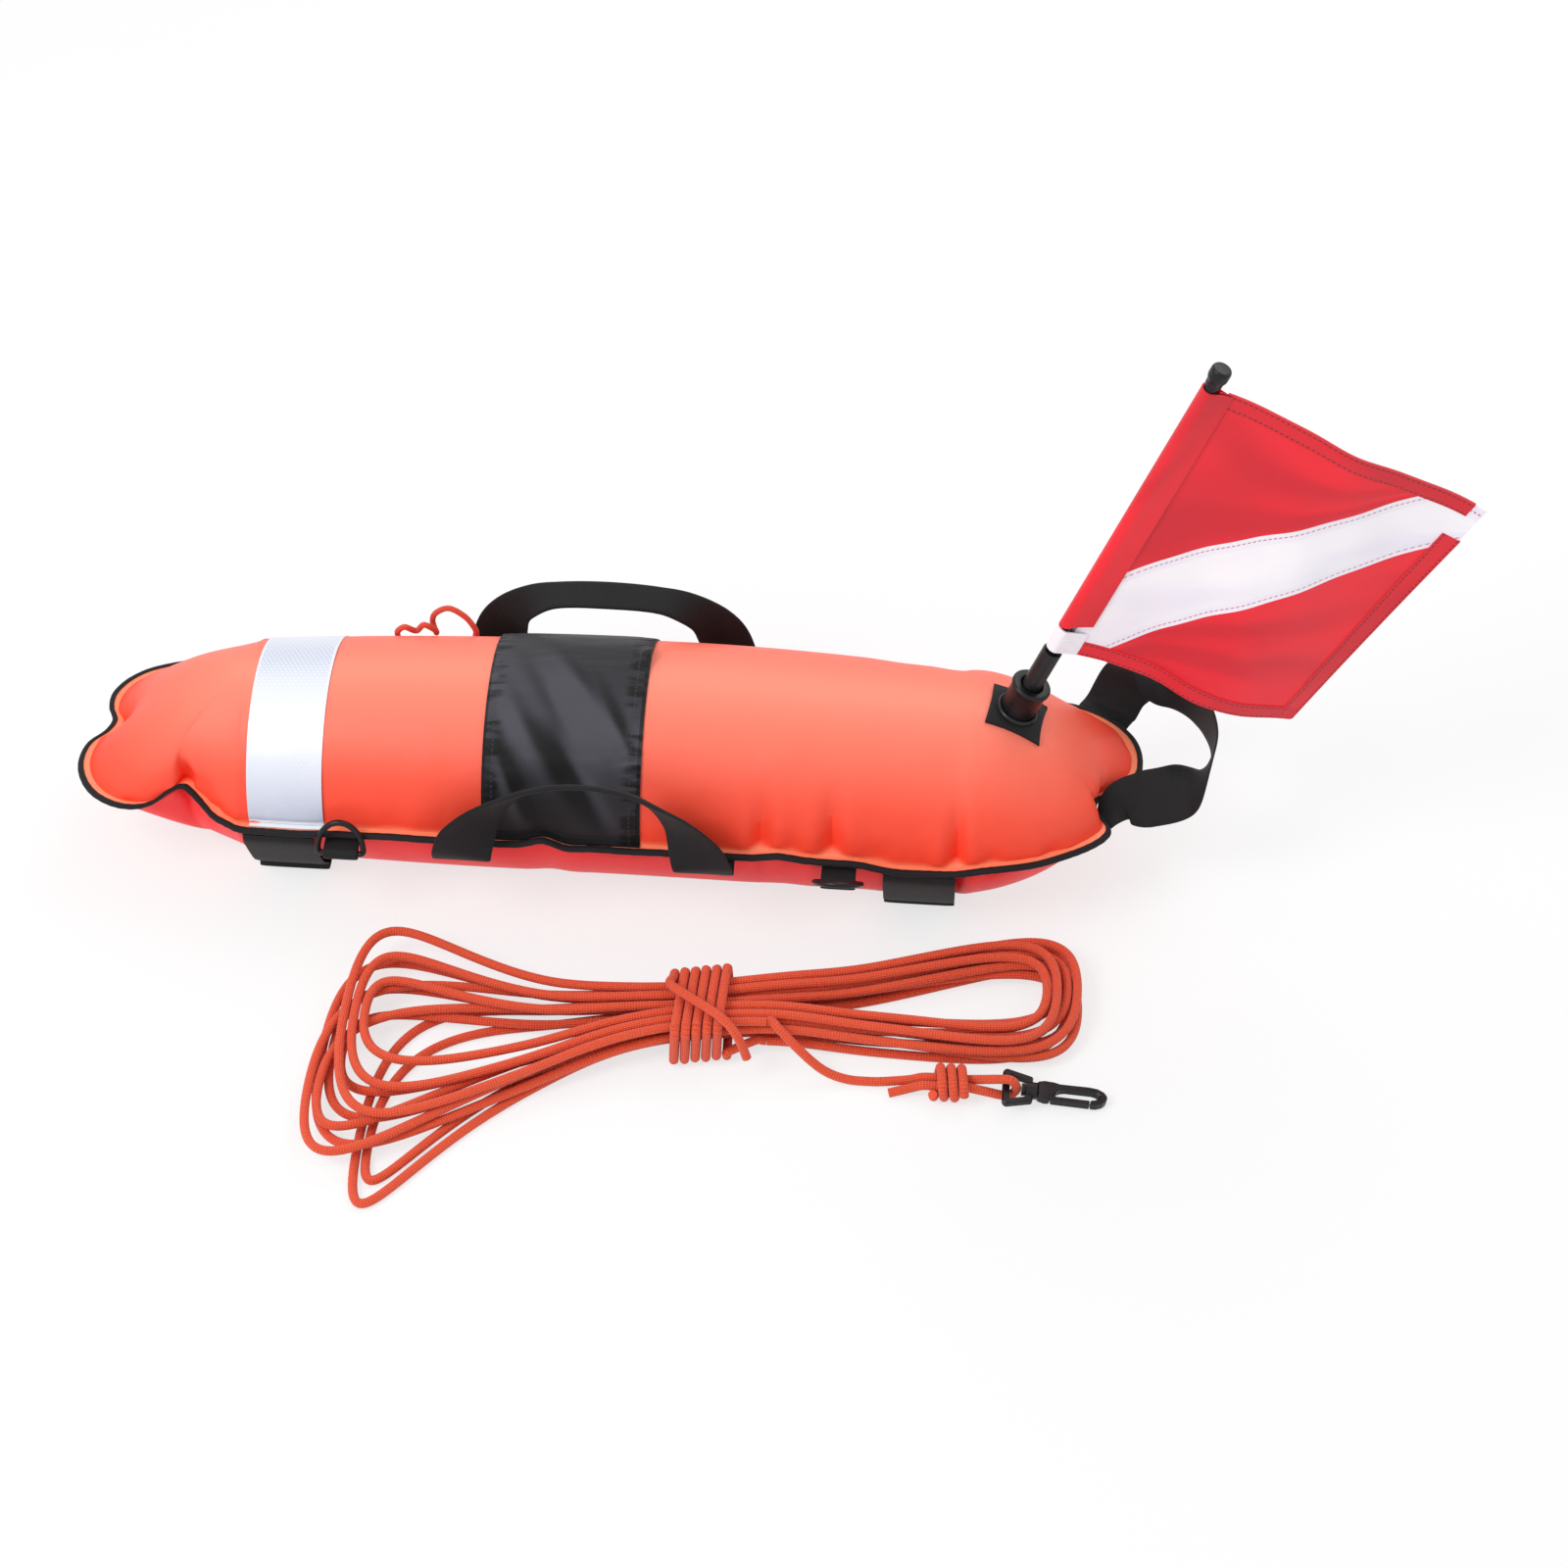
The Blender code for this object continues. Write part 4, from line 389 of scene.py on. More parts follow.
@dataclass(frozen=True)
class WovenStrap(Finish):
    """Black nylon webbing: weft ribs across it in a twill, and firm selvedges."""

    colour: Colour
    light: Colour
    rib: float = 0.0011
    twill: float = 0.0085
    shift: float = 0.0009
    warp: float = 0.0009
    rib_height: float = 0.00010
    warp_height: float = 0.00004
    fuzz_height: float = 0.00006
    roughness: float = 0.62

    def draw(self, board: Board) -> None:
        """Ribs zigzag across the width; the rib tops, the fuzz and the wear noise are drawn lighter."""
        u, v = board.surface()
        zig = abs(u.wave(self.twill)) * self.shift
        ribs = (v + zig).wave(self.rib) * 0.5 + 0.5
        warp = u.wave(self.warp) * 0.5 + 0.5
        fuzz, wear = board.noise(board.place(), 420.0, 2.0), board.noise(board.place(), 30.0, 3.0)
        base = board.mix(0.25 * ribs + 0.30 * fuzz + 0.35 * wear, self.colour, self.light)
        height = self.rib_height * ribs + self.warp_height * warp + self.fuzz_height * fuzz
        board.finish(base, self.roughness + 0.14 * fuzz, height, Sheen_Weight=0.04, Specular_IOR_Level=0.25)


@dataclass(frozen=True)
class MouldedPlastic(Finish):
    """Black moulded plastic with a faint grain and softly rubbed places."""

    colour: Colour
    worn: Colour
    roughness: float = 0.34
    grain_height: float = 0.00004

    def draw(self, board: Board) -> None:
        """Grain in the relief, rubbing in the colour and the roughness."""
        place = board.place()
        grain, rub = board.noise(place, 900.0, 2.0), board.noise(place, 55.0, 4.0, 0.6)
        base = board.mix(rub.step(0.50, 0.75), self.colour, self.worn)
        rough = self.roughness + 0.18 * rub - 0.05 * grain
        board.finish(base, rough, self.grain_height * grain, Coat_Weight=0.05, Coat_Roughness=0.20,
                     Specular_IOR_Level=0.30)


@dataclass(frozen=True)
class FlagCloth(Finish):
    """Flag nylon: weave, soft creases with painted shade, and a row of stitches at a distance from the marked
    edge.
    """

    colour: Colour
    shade: Colour
    thread_colour: Colour
    stitch_at: float = 0.0050
    pitch: float = 0.0036
    sewing: float = 0.0009
    turned_in: tuple = (0.0105, 0.0115)
    thread: float = 0.00042
    weave_height: float = 0.00004
    crease_height: float = 0.0036
    stitch_depth: float = 0.0003

    def draw(self, board: Board) -> None:
        """Painted shade darkens the creases; the thread lies where the edge mark has its distance."""
        u, v = board.surface()
        crease = board.noise(board.pair(0.9 * u + 0.45 * v, 2.6 * u - 0.7 * v), 9.0, 1.5, 0.5)
        row = stitches(board.mark("edge"), v, self.stitch_at, self.pitch, self.sewing)
        # Painted shade: the creases darken towards the shade colour.
        base = board.mix(crease.step(0.42, 0.66) * 0.7, self.colour, self.shade)
        # The hems and the stripe's edges are drawn darker, towards the shade colour.
        base = board.mix(0.4 - board.mark("edge").step(*self.turned_in) * 0.4, base, self.shade)
        base = board.mix(row * 0.85, base, self.thread_colour)
        height = self.weave_height * weave(u, v, self.thread) + self.crease_height * crease
        board.finish(base, 0.55, height - self.stitch_depth * row, Sheen_Weight=0.15, Sheen_Roughness=0.4)


@dataclass(frozen=True)
class BraidedCord(Finish):
    """Braided cord: strands cross in two slanting families, with painted shade where they dive."""

    colour: Colour
    # Colour of the painted shade where the strands dive, and of the random tone.
    deep: Colour
    diameter: float
    strands: int = 7
    pitch: float = 0.0036
    braid_height: float = 0.00070
    fibre_height: float = 0.00012

    def draw(self, board: Board) -> None:
        """The product of two slanting waves makes the diamonds of a braid."""
        u, v = board.surface()
        around, along = u * (self.strands / (math.pi * self.diameter)), v / self.pitch
        plait = (around + along).wave(1.0) * (around - along).wave(1.0) * 0.5 + 0.5
        fibre, tone = board.noise(board.place(), 700.0, 2.0), board.noise(board.place(), 22.0, 2.0)
        # Painted shade: the deep colour where the strands dive; the broad tone noise adds random tone.
        base = board.mix(0.85 * plait + 0.25 * fibre, self.deep, self.colour)
        base = board.mix(0.25 * tone, base, self.deep)
        height = self.braid_height * plait + self.fibre_height * fibre
        board.finish(base, 0.66 + 0.12 * fibre, height, Sheen_Weight=0.18, Sheen_Roughness=0.5)


# Upper cloth: its deep and crest colours are painted shade near the seam and a painted sheen on top.
SKIN_UPPER = CoatedCloth("coated_cloth_upper", Slot.SKIN, srgb(255, 99, 75), srgb(255, 64, 35),
                         srgb(255, 142, 104), srgb(255, 140, 116))
# Painted light: the lower sheet is the same cloth as the upper one, given the pinker colours it shows in
# shade and in the floor's bounced light; the valve patch shares them.
SKIN_LOWER = CoatedCloth("coated_cloth_lower", Slot.SKIN, srgb(255, 56, 60), srgb(252, 50, 52),
                         srgb(255, 110, 88), srgb(255, 50, 54))
WEB = WovenStrap("webbing_black", Slot.WEBBING, srgb(10, 10, 11), srgb(33, 32, 35))
BINDING = WovenStrap("binding_black", Slot.WEBBING, srgb(12, 11, 13), srgb(32, 30, 34), rib=0.0009)
PLASTIC = MouldedPlastic("plastic_black", Slot.PLASTIC, srgb(14, 13, 16), srgb(32, 31, 35), roughness=0.27)
ROD = MouldedPlastic("pole_rod_black", Slot.ROD, srgb(26, 25, 27), srgb(50, 48, 52), roughness=0.28)
RED = FlagCloth("flag_nylon_red", Slot.RED, srgb(242, 24, 44), srgb(198, 10, 34), srgb(140, 6, 24))
WHITE = FlagCloth("flag_nylon_white", Slot.WHITE, srgb(253, 250, 255), srgb(240, 235, 249),
                  srgb(214, 104, 138))
ROPE_BRAID = BraidedCord("rope_braid", Slot.CORD, srgb(255, 106, 56), srgb(218, 42, 12), 0.006)
LANYARD_BRAID = BraidedCord("lanyard_braid", Slot.CORD, srgb(255, 90, 52), srgb(226, 54, 24), 0.004, 6,
                            0.0022)


# Grids of points and the meshes made of them

def catmull_rom(a: Array, b: Array, c: Array, d: Array, t: Array) -> Array:
    """Smooth curve from b to c between the neighbours a and d."""
    return 0.5 * (2 * b + (c - a) * t + (2 * a - 5 * b + 4 * c - d) * t**2 + (3 * b - a - 3 * c + d) * t**3)


def through_points(rows: Array | Sequence, count: int) -> Array:
    """Smooth curve through rows of numbers, read at even steps of its own count."""
    rows = np.asarray(rows, float)
    knots = np.concatenate([[2 * rows[0] - rows[1]], rows, [2 * rows[-1] - rows[-2]]])
    place = np.linspace(0, len(rows) - 1, count)
    first = np.minimum(place.astype(int), len(rows) - 2)
    t = (place - first)[:, None]
    return catmull_rom(*(knots[first + k] for k in range(4)), t)


def round_through(rows: Array, steps: int) -> Array:
    """Closed smooth curve through the rows, with so many steps between neighbours."""
    t = (np.arange(steps) / steps)[None, :, None]
    corners = (np.roll(rows, -k, axis=0)[:, None] for k in (-1, 0, 1, 2))
    return catmull_rom(*corners, t).reshape(-1, rows.shape[1])


def run_along(points: Array) -> Array:
    """Running length of a polyline at each of its points."""
    return np.append(0, np.cumsum(np.linalg.norm(np.diff(points, axis=0), axis=1)))


def even_steps(points: Array, count: int) -> Array:
    """The same polyline read at even distances."""
    run = run_along(points)
    wanted = np.linspace(0, run[-1], count)
    return np.stack([np.interp(wanted, run, points[:, k]) for k in range(3)], axis=1)


def route_steps(route: Sequence, diameter: float, per_diameter: float) -> Array:
    """A cord's smooth route with a point every few diameters."""
    fine = through_points(route, 12 * len(route))
    return even_steps(fine, max(6, int(run_along(fine)[-1] / (per_diameter * diameter))))


def hump(away: Array | float, power: int = 2) -> Array:
    """Bell curve: 1 in the middle, 1/e where away is 1."""
    return np.exp(-(away**power))


def ease(share: Array) -> Array:
    """Smooth step of a share, which is cut to 0 to 1."""
    share = np.clip(share, 0, 1)
    return share * share * (3 - 2 * share)


def unit(vectors: Array) -> Array:
    """Vectors with length one."""
    return vectors / np.maximum(np.linalg.norm(vectors, axis=-1, keepdims=True), 1e-12)


def surface_normals(points: Array, columns_close: bool = False) -> Array:
    """Unit normals of a grid: the cross product of its slopes along rows and columns."""
    if columns_close:
        across = np.roll(points, -1, axis=1) - np.roll(points, 1, axis=1)
    else:
        across = np.gradient(points, axis=1)
    return unit(np.cross(across, np.gradient(points, axis=0)))


def moved(points: Array, place: Matrix) -> Array:
    """Points turned and moved by a matrix."""
    turn = np.array(place.to_3x3())
    return points @ turn.T + np.array(place.translation)


def tube(path: Array, radius: float, sides: int) -> Array:
    """Round tube: path + radius * (side * cos a + up * sin a), its side carried along without twist."""
    way = unit(np.gradient(path, axis=0))
    start = np.cross(way[0], (0.0, 0.0, 1.0))
    side = [start / np.linalg.norm(start) if np.linalg.norm(start) > 0.1 else np.array([1.0, 0, 0])]
    for ahead in way[1:]:
        carried = side[-1] - (side[-1] @ ahead) * ahead
        side.append(carried / np.linalg.norm(carried))
    across = np.array(side)[:, None]
    up = np.cross(way, np.array(side))[:, None]
    angle = (2 * math.pi * np.arange(sides) / sides)[None, :, None]
    return path[:, None] + radius * (across * np.cos(angle) + up * np.sin(angle))


def strap(centres: Array, ways: Array | tuple, widths: Array | float, thick: Array | float = WEBBING,
          facing: tuple | None = None, sides: int = 28, squareness: float = 0.45) -> Array:
    """Flat strap with rounded edges: centre + a width/2 across + b thickness/2 up.

    (a, b) runs round a squarish oval: the sign of the cosine and sine times their small powers.

    Args:
        centres: The strap's middle line.
        ways: Direction of its width, one for all places or one for each.
        widths: Its width there.
        thick: Its thickness there.
        facing: Directions of the two end faces, where they aren't the path's own.
        sides: Points round the section.
        squareness: The small power.

    Returns:
        The grid of points, one row for each place.
    """
    along = np.gradient(centres, axis=0)
    if facing is not None:
        along[[0, -1]] = facing
    along = unit(along)
    ways = np.asarray(ways, float)
    across = unit(ways - (ways * along).sum(1)[:, None] * along)
    up = np.cross(along, across)
    angle = 2 * math.pi * (np.arange(sides) + 0.5) / sides
    a, b = (np.sign(turn) * np.abs(turn) ** squareness for turn in (np.cos(angle), np.sin(angle)))
    half, deep = (np.broadcast_to(size, len(centres))[:, None, None] / 2 for size in (widths, thick))
    wide, tall = half * across[:, None] * a[None, :, None], deep * up[:, None] * b[None, :, None]
    return centres[:, None] + wide + tall


def slab(inner: Array, outer: Array) -> Array:
    """Closed section between two grids: out over one and back over the other."""
    return np.concatenate([outer, inner[:, ::-1]], axis=1)


def rounded(profile: Sequence, radius: float, steps: int = 4) -> Array:
    """A profile with its corners rounded: each becomes a parabola between points a radius away from it."""
    points = np.asarray(profile, float)
    here, back, ahead = points[1:-1], points[:-2], points[2:]
    reach_back = np.minimum(radius, 0.45 * np.linalg.norm(here - back, axis=1))[:, None]
    reach_ahead = np.minimum(radius, 0.45 * np.linalg.norm(ahead - here, axis=1))[:, None]
    first, last = here + unit(back - here) * reach_back, here + unit(ahead - here) * reach_ahead
    t = np.linspace(0, 1, steps)[None, :, None]
    curve = (1 - t) ** 2 * first[:, None] + 2 * t * (1 - t) * here[:, None] + t**2 * last[:, None]
    return np.concatenate([points[:1], curve.reshape(-1, points.shape[1]), points[-1:]])


def lathe(profile: Array, sides: int, place: Matrix) -> Array:
    """Turned piece: each (radius, height) of the profile goes once round the place's Z."""
    angle = 2 * math.pi * np.arange(sides) / sides
    radius, height = profile[:, 0, None], profile[:, 1, None]
    ring = np.stack([radius * np.cos(angle), radius * np.sin(angle), height + 0 * angle], -1)
    return moved(ring, place)


def running_lengths(points: Array, rows_close: bool) -> Array:
    """UV in metres: the mean running lengths across the columns and along the rows."""
    if rows_close:
        points = np.concatenate([points, points[:1]])
    points = np.concatenate([points, points[:, :1]], axis=1)
    down = np.cumsum(np.linalg.norm(np.diff(points, axis=0), axis=2).mean(1))
    over = np.cumsum(np.linalg.norm(np.diff(points, axis=1), axis=2).mean(0))
    v, u = np.meshgrid(np.append(0, down), np.append(0, over), indexing="ij")
    return np.stack([u, v], -1)


def cap_faces(rows: int, columns: int, cap: Cap) -> list[Array]:
    """Corner numbers that fill the first and last row of a closed section."""
    if cap is Cap.NONE:
        return []
    if cap is Cap.FAN:
        row = np.arange(columns)
        return [row[::-1], (rows - 1) * columns + row]
    low = np.arange(columns // 2 - 1)
    strip = np.stack([low, low + 1, columns - 2 - low, columns - 1 - low], axis=1)
    return list(strip[:, ::-1]) + list(strip + (rows - 1) * columns)


def linked(name: str, data: bpy.types.ID) -> bpy.types.Object:
    """A new object of the scene."""
    item = bpy.data.objects.new(name, data)
    bpy.context.scene.collection.objects.link(item)
    return item


def grid_object(name: str, points: Array, finish: Finish, rows_close: bool = False, cap: Cap = Cap.NONE,
                marks: dict[str, Array] | None = None, merge: bool = False,
                sharp_deg: float = 50.0) -> bpy.types.Object:
    """Make a mesh object of a grid of points whose last column meets the first.

    Args:
        name: Name of the piece.
        points: Rows by columns of places.
        finish: Its finish.
        rows_close: The last row meets the first.
        cap: Filling of the first and last row.
        marks: Numbers on the points that its material reads.
        merge: Join points that fall together, as at a pole.
        sharp_deg: Edges over this angle stay sharp.

    Returns:
        The object, with its faces turned outwards.
    """
    rows, columns = points.shape[:2]
    i, j = np.meshgrid(np.arange(rows - (not rows_close)), np.arange(columns), indexing="ij")
    row, column = i.reshape(-1, 1) + (0, 0, 1, 1), j.reshape(-1, 1) + (0, 1, 1, 0)
    quads = (row % rows) * columns + column % columns
    spots = row * (columns + 1) + column
    flat, flat_uv = points.reshape(-1, 3), running_lengths(points, rows_close).reshape(-1, 2)
    caps = cap_faces(rows, columns, cap)
    a, b, c, d = (flat[quads[:, k]] for k in range(4))
    volume = (a * np.cross(b, c)).sum() + (a * np.cross(c, d)).sum()
    corners = [quads, *([face] for face in caps)]
    cap_uv = [flat_uv[np.zeros(len(face), int)] for face in caps]
    if volume < 0:
        corners = [np.asarray(part)[:, ::-1] for part in corners]
        spots = spots[:, ::-1]
    loops = np.concatenate([np.asarray(part).ravel() for part in corners])
    totals = np.concatenate([np.full(len(quads), 4), [len(face) for face in caps]]).astype(int)
    mesh = bpy.data.meshes.new(name)
    mesh.vertices.add(len(flat))
    mesh.vertices.foreach_set("co", flat.ravel())
    mesh.loops.add(len(loops))
    mesh.loops.foreach_set("vertex_index", loops.astype(np.int32))
    mesh.polygons.add(len(totals))
    mesh.polygons.foreach_set("loop_start", np.append(0, np.cumsum(totals)[:-1]).astype(np.int32))
    mesh.update(calc_edges=True)
    layer = mesh.uv_layers.new(name=UV_NAME)
    layer.data.foreach_set("uv", np.concatenate([flat_uv[spots.ravel()], *cap_uv]).ravel())
    for key, values in (marks or {}).items():
        mark = mesh.attributes.new(key, "FLOAT", "POINT")
        mark.data.foreach_set("value", np.asarray(values, float).ravel())
    if merge:
        work = bmesh.new()
        work.from_mesh(mesh)
        bmesh.ops.remove_doubles(work, verts=work.verts, dist=1e-6)
        work.to_mesh(mesh)
        work.free()
    mesh.validate()
    mesh.shade_smooth()
    mesh.set_sharp_from_angle(angle=math.radians(sharp_deg))
    item = linked(name, mesh)
    mesh.materials.append(finish.material())
    return item


def seat(item: bpy.types.Object, body: str, *nodes: str) -> bpy.types.Object:
    """Let a piece ride on a body in place of CAD nodes, and report it."""
    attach(item, body)
    if nodes:
        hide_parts(*nodes)
    log.info("%s: %d faces on %s", item.name, len(item.data.polygons), body)
    return item


def make_strap(name: str, body: str, *shape: Array | tuple | float) -> bpy.types.Object:
    """A strap of webbing that stands for the node of its own name; its shape is what strap() takes."""
    return seat(grid_object(f"{name}_looks", strap(*shape), WEB, cap=Cap.FAN), body, name)


def make_cord(name: str, path: Array, finish: BraidedCord, sides: int) -> bpy.types.Object:
    """A stretch of cord as a tube that stands for the node of its own name, with its real length."""
    made = grid_object(f"{name}_looks", tube(path, finish.diameter / 2, sides), finish, cap=Cap.FAN)
    seat(made, "float", name)
    return made


def make_turned(name: str, body: str, profile: Sequence, place: Matrix, finish: Finish, edge: float,
                closed: bool = False, sides: int = 72) -> bpy.types.Object:
    """A turned piece that stands for the node of its own name; a closed profile returns to its start."""
    outline = [*profile, profile[0], profile[1]] if closed else profile
    soft = rounded(outline, edge)
    if closed:
        soft = soft[1:-1]
    points = lathe(soft, sides, place)
    made = grid_object(f"{name}_looks", points, finish, closed, merge=not closed, sharp_deg=40.0)
    return seat(made, body, name)


# Float

@dataclass(frozen=True)
class Fold:
    """A fold of the skin that starts at the seam: where, how far up it reaches, its depth, width and lean."""

    x: float
    y: float
    reach: float
    depth: float
    width: float
    lean: float = 0.0


@dataclass(frozen=True)
class FloatForm:
    """Shape of the inflated float, with the same sizes as its solids."""

    aft_reach: float = 0.352
    nose_reach: float = 0.353
    end_length: float = 0.117
    aft_radius: float = 0.0705
    nose_radius: float = 0.0740
    swell: float = 0.0055
    flat: float = 0.0015
    flange: float = 0.0080
    proud: float = 0.0010
    dips: tuple = ((-0.2100, 0.0020), (0.2100, 0.0060))
    dip_reach: float = 0.034
    cusp_lift: float = 0.009
    cusp: tuple = (0.385, -0.665)
    cusp_spread: float = 0.16
    flat_radius: float = 0.05
    strap_width: float = 0.047
    sections: int = 12
    near_waves: tuple = ((-0.034, 0.0058, 0.0105), (-0.020, -0.0012, 0.0100), (0.118, 0.0032, 0.0120))
    rise_power: float = 2.2
    turn_powers: tuple = (0.75, 2.0)
    oval_share: float = 0.90
    oval_power: float = 2.6
    upper_fades_deg: tuple = ((14.0, 38.0), (8.0, 28.0))
    lower_fades_deg: tuple = ((16.0, 40.0), (16.0, 40.0))
    lip: float = 0.004
    pucker: float = 0.00038
    pucker_reach: float = 0.0075
    steps: int = 8
    aft_points: int = 27
    nose_points: int = 23
    aft_edge: tuple = (
        (0.0, 1.0), (0.26, 0.99), (0.50, 0.955), (0.77, 0.80), (0.905, 0.57), (0.925, 0.37), (0.880, 0.125),
        (0.99, -0.12), (1.0, -0.40), (0.90, -0.665), (0.71, -0.82), (0.53, -0.79), (0.385, -0.665),
        (0.265, -0.76), (0.145, -0.91), (0.0, -1.0),
    )
    nose_edge: tuple = (
        (0.0, -1.0), (0.30, -0.955), (0.62, -0.765), (0.80, -0.57), (0.825, -0.44), (0.765, -0.31),
        (0.75, -0.17), (0.87, -0.03), (0.98, 0.14), (1.0, 0.34), (0.97, 0.52), (0.905, 0.66), (0.80, 0.79),
        (0.64, 0.90), (0.33, 0.98), (0.0, 1.0),
    )
    folds: tuple = (
        Fold(-0.280, -0.053, 0.064, 0.0062, 0.0050, 0.0), Fold(-0.338, 0.009, 0.040, 0.0045, 0.0070),
        Fold(0.325, -0.028, 0.060, 0.0066, 0.0050, 0.0), Fold(0.106, -0.080, 0.060, 0.0060, 0.0055, 0.05),
        Fold(0.128, -0.080, 0.020, 0.0014, 0.0050), Fold(0.151, -0.080, 0.066, 0.0070, 0.0058),
        Fold(0.183, -0.080, 0.022, 0.0016, 0.0060, 0.10), Fold(0.232, -0.080, 0.062, 0.0070, 0.0052),
        Fold(0.258, -0.079, 0.020, 0.0015, 0.0055, -0.10), Fold(-0.132, -0.080, 0.044, 0.0011, 0.0080),
        Fold(-0.255, -0.070, 0.026, 0.0018, 0.0060, 0.20), Fold(-0.318, -0.066, 0.022, 0.0016, 0.0070),
        Fold(0.120, 0.080, 0.030, 0.0022, 0.0060), Fold(0.190, 0.080, 0.034, 0.0026, 0.0060),
        Fold(-0.120, 0.080, 0.030, 0.0020, 0.0070), Fold(-0.240, 0.078, 0.034, 0.0026, 0.0060),
        Fold(-0.320, 0.060, 0.026, 0.0018, 0.0080), Fold(0.290, 0.076, 0.030, 0.0022, 0.0070),
        Fold(0.345, 0.040, 0.024, 0.0018, 0.0070), Fold(0.300, -0.066, 0.024, 0.0016, 0.0060),
    )

    @property
    def first(self) -> float:
        """X where the straight part starts."""
        return self.end_length - self.aft_reach

    @property
    def last(self) -> float:
        """X where the straight part ends."""
        return self.nose_reach - self.end_length

    def radius(self, x: Array | float) -> Array:
        """Section radius: from the aft to the nose radius, plus a sine's swell between."""
        share = np.clip((np.asarray(x, float) - self.first) / (self.last - self.first), 0, 1)
        straight = self.aft_radius + (self.nose_radius - self.aft_radius) * share
        return straight + self.swell * np.sin(math.pi * share)

    def seam(self, x: Array | float, y: Array | float) -> Array:
        """Seam height: the section's middle, less a dip at each belly strap, plus the lifted notch.

        The near side also has waves where nothing is sewn to it, each a Gaussian of its own width.
        """
        dip = sum(depth * hump((x - place) / self.dip_reach, 4) for place, depth in self.dips)
        cusp_x = self.first - self.cusp[0] * self.end_length
        cusp_y = self.cusp[1] * (self.aft_radius + self.flange)
        away = np.hypot(x - cusp_x, y - cusp_y) / (self.cusp_spread * self.end_length)
        near = np.clip(-np.asarray(y) / self.flat_radius, 0, 1)
        waves = sum(height * hump((x - place) / wide) for place, height, wide in self.near_waves)
        return self.radius(x) - self.flat - dip + self.cusp_lift * hump(away) + near * waves

    def stations(self) -> Array:
        """Places along X of the solids' sections."""
        aft, fore = (place for place, _ in self.dips)
        between = np.linspace(aft + self.strap_width / 2, fore - self.strap_width / 2, self.sections)
        return np.concatenate([[self.first, aft], between, [fore, self.last]])

    def under(self, x: float, width: float) -> float:
        """Lowest height of the binding's underside within a width along the float."""
        places = self.stations()
        inside = [s for s in places if abs(s - x) < width / 2]
        heights = self.seam(places, self.radius(places))
        low = min(float(np.interp(p, places, heights)) for p in [x - width / 2, x, x + width / 2, *inside])
        return low - GAP / 2 - SHEET - GAP - TAPE

    def ring(self) -> tuple[Array, Array]:
        """Plan of the binding's outer edge and the spine point that each place is drawn from."""
        along = self.stations()
        half = self.radius(along) + self.flange
        near, far = np.stack([along, -half], 1), np.stack([along, half], 1)[::-1]
        nose = through_points(self.nose_edge, self.nose_points)[1:-1]
        nose = nose * (self.end_length, self.nose_radius + self.flange)
        aft = through_points(self.aft_edge, self.aft_points)[1:-1]
        aft = aft * (-self.end_length, self.aft_radius + self.flange)
        outer = np.concatenate([near, nose + (self.last, 0), far, aft + (self.first, 0)])
        ends = np.full(len(nose), self.last), np.full(len(aft), self.first)
        spine = np.concatenate([along, ends[0], along[::-1], ends[1]])
        return outer, np.stack([spine, 0 * spine], 1)

    def outline(self) -> tuple[Array, Array, Array]:
        """The ring drawn finer as one smooth closed curve, its spine and its running length."""
        fine, core = (round_through(rows, self.steps) for rows in self.ring())
        core[:, 0] = np.clip(core[:, 0], self.first, self.last)
        return fine, core, run_along(fine)

    def slack(self, run: Array, rise: Array, side: int) -> Array:
        """Depth of the skin's folds at a running length along the seam and a rise above it.

        Each fold is a Gaussian along the seam that fades with the square of its rise; small puckers
        between them fade within a centimetre.
        """
        fine, _, length = self.outline()
        total = length[-1] + np.linalg.norm(fine[0] - fine[-1])
        depth = np.zeros(np.broadcast(run, rise).shape)
        for fold in self.folds:
            at = length[np.argmin(np.hypot(fine[:, 0] - fold.x, fine[:, 1] - fold.y))]
            away = (run - at - side * fold.lean * rise + total / 2) % total - total / 2
            fade = (1 - np.clip(rise / fold.reach, 0, 1) ** 2) ** 2
            bulge = 0.35 * hump((np.abs(away) - 2.1 * fold.width) / (1.3 * fold.width))
            depth += fold.depth * fade * (hump(away / fold.width) - bulge)
        small = np.sin(run / 0.0021 + 1.7 * np.sin(run / 0.031)) * (0.6 + 0.4 * np.sin(run / 0.0133))
        small = self.pucker * small * np.exp(-rise / self.pucker_reach)
        return np.clip(rise / self.lip, 0, 1) * (depth + small)

    def rise(self, distance: Array, way: Array, radius: Array | float, angle: Array,
             side: int = 1) -> tuple[Array, Array]:
        """Reach from the spine and share of the full height, at an angle above a place of the weld.

        The reach eases from the notched outline to an oval |x/a|^n + |y/b|^n = 1. The share is a power of
        the angle's sine: 1 along the sides, and more towards the tips, which thins them to wedges.
        """
        wide = np.abs(way[..., 0]) / (self.oval_share * self.end_length)
        tall = np.abs(way[..., 1]) / radius
        oval = (wide**self.oval_power + tall**self.oval_power) ** (-1 / self.oval_power)
        aft, nose = self.upper_fades_deg if side > 0 else self.lower_fades_deg
        ahead = way[..., 0] > 0
        start, span = (np.where(ahead, nose[k], aft[k]) for k in (0, 1))
        fade = ease((np.degrees(angle) - start) / span)
        power = 1 + (self.rise_power - 1) * np.abs(way[..., 0]) ** np.where(ahead, *self.turn_powers[::-1])
        reach = (distance + (oval - distance) * fade) * np.cos(angle) + np.maximum(-angle, 0) * radius
        return reach, np.sin(np.maximum(angle, 0)) ** power

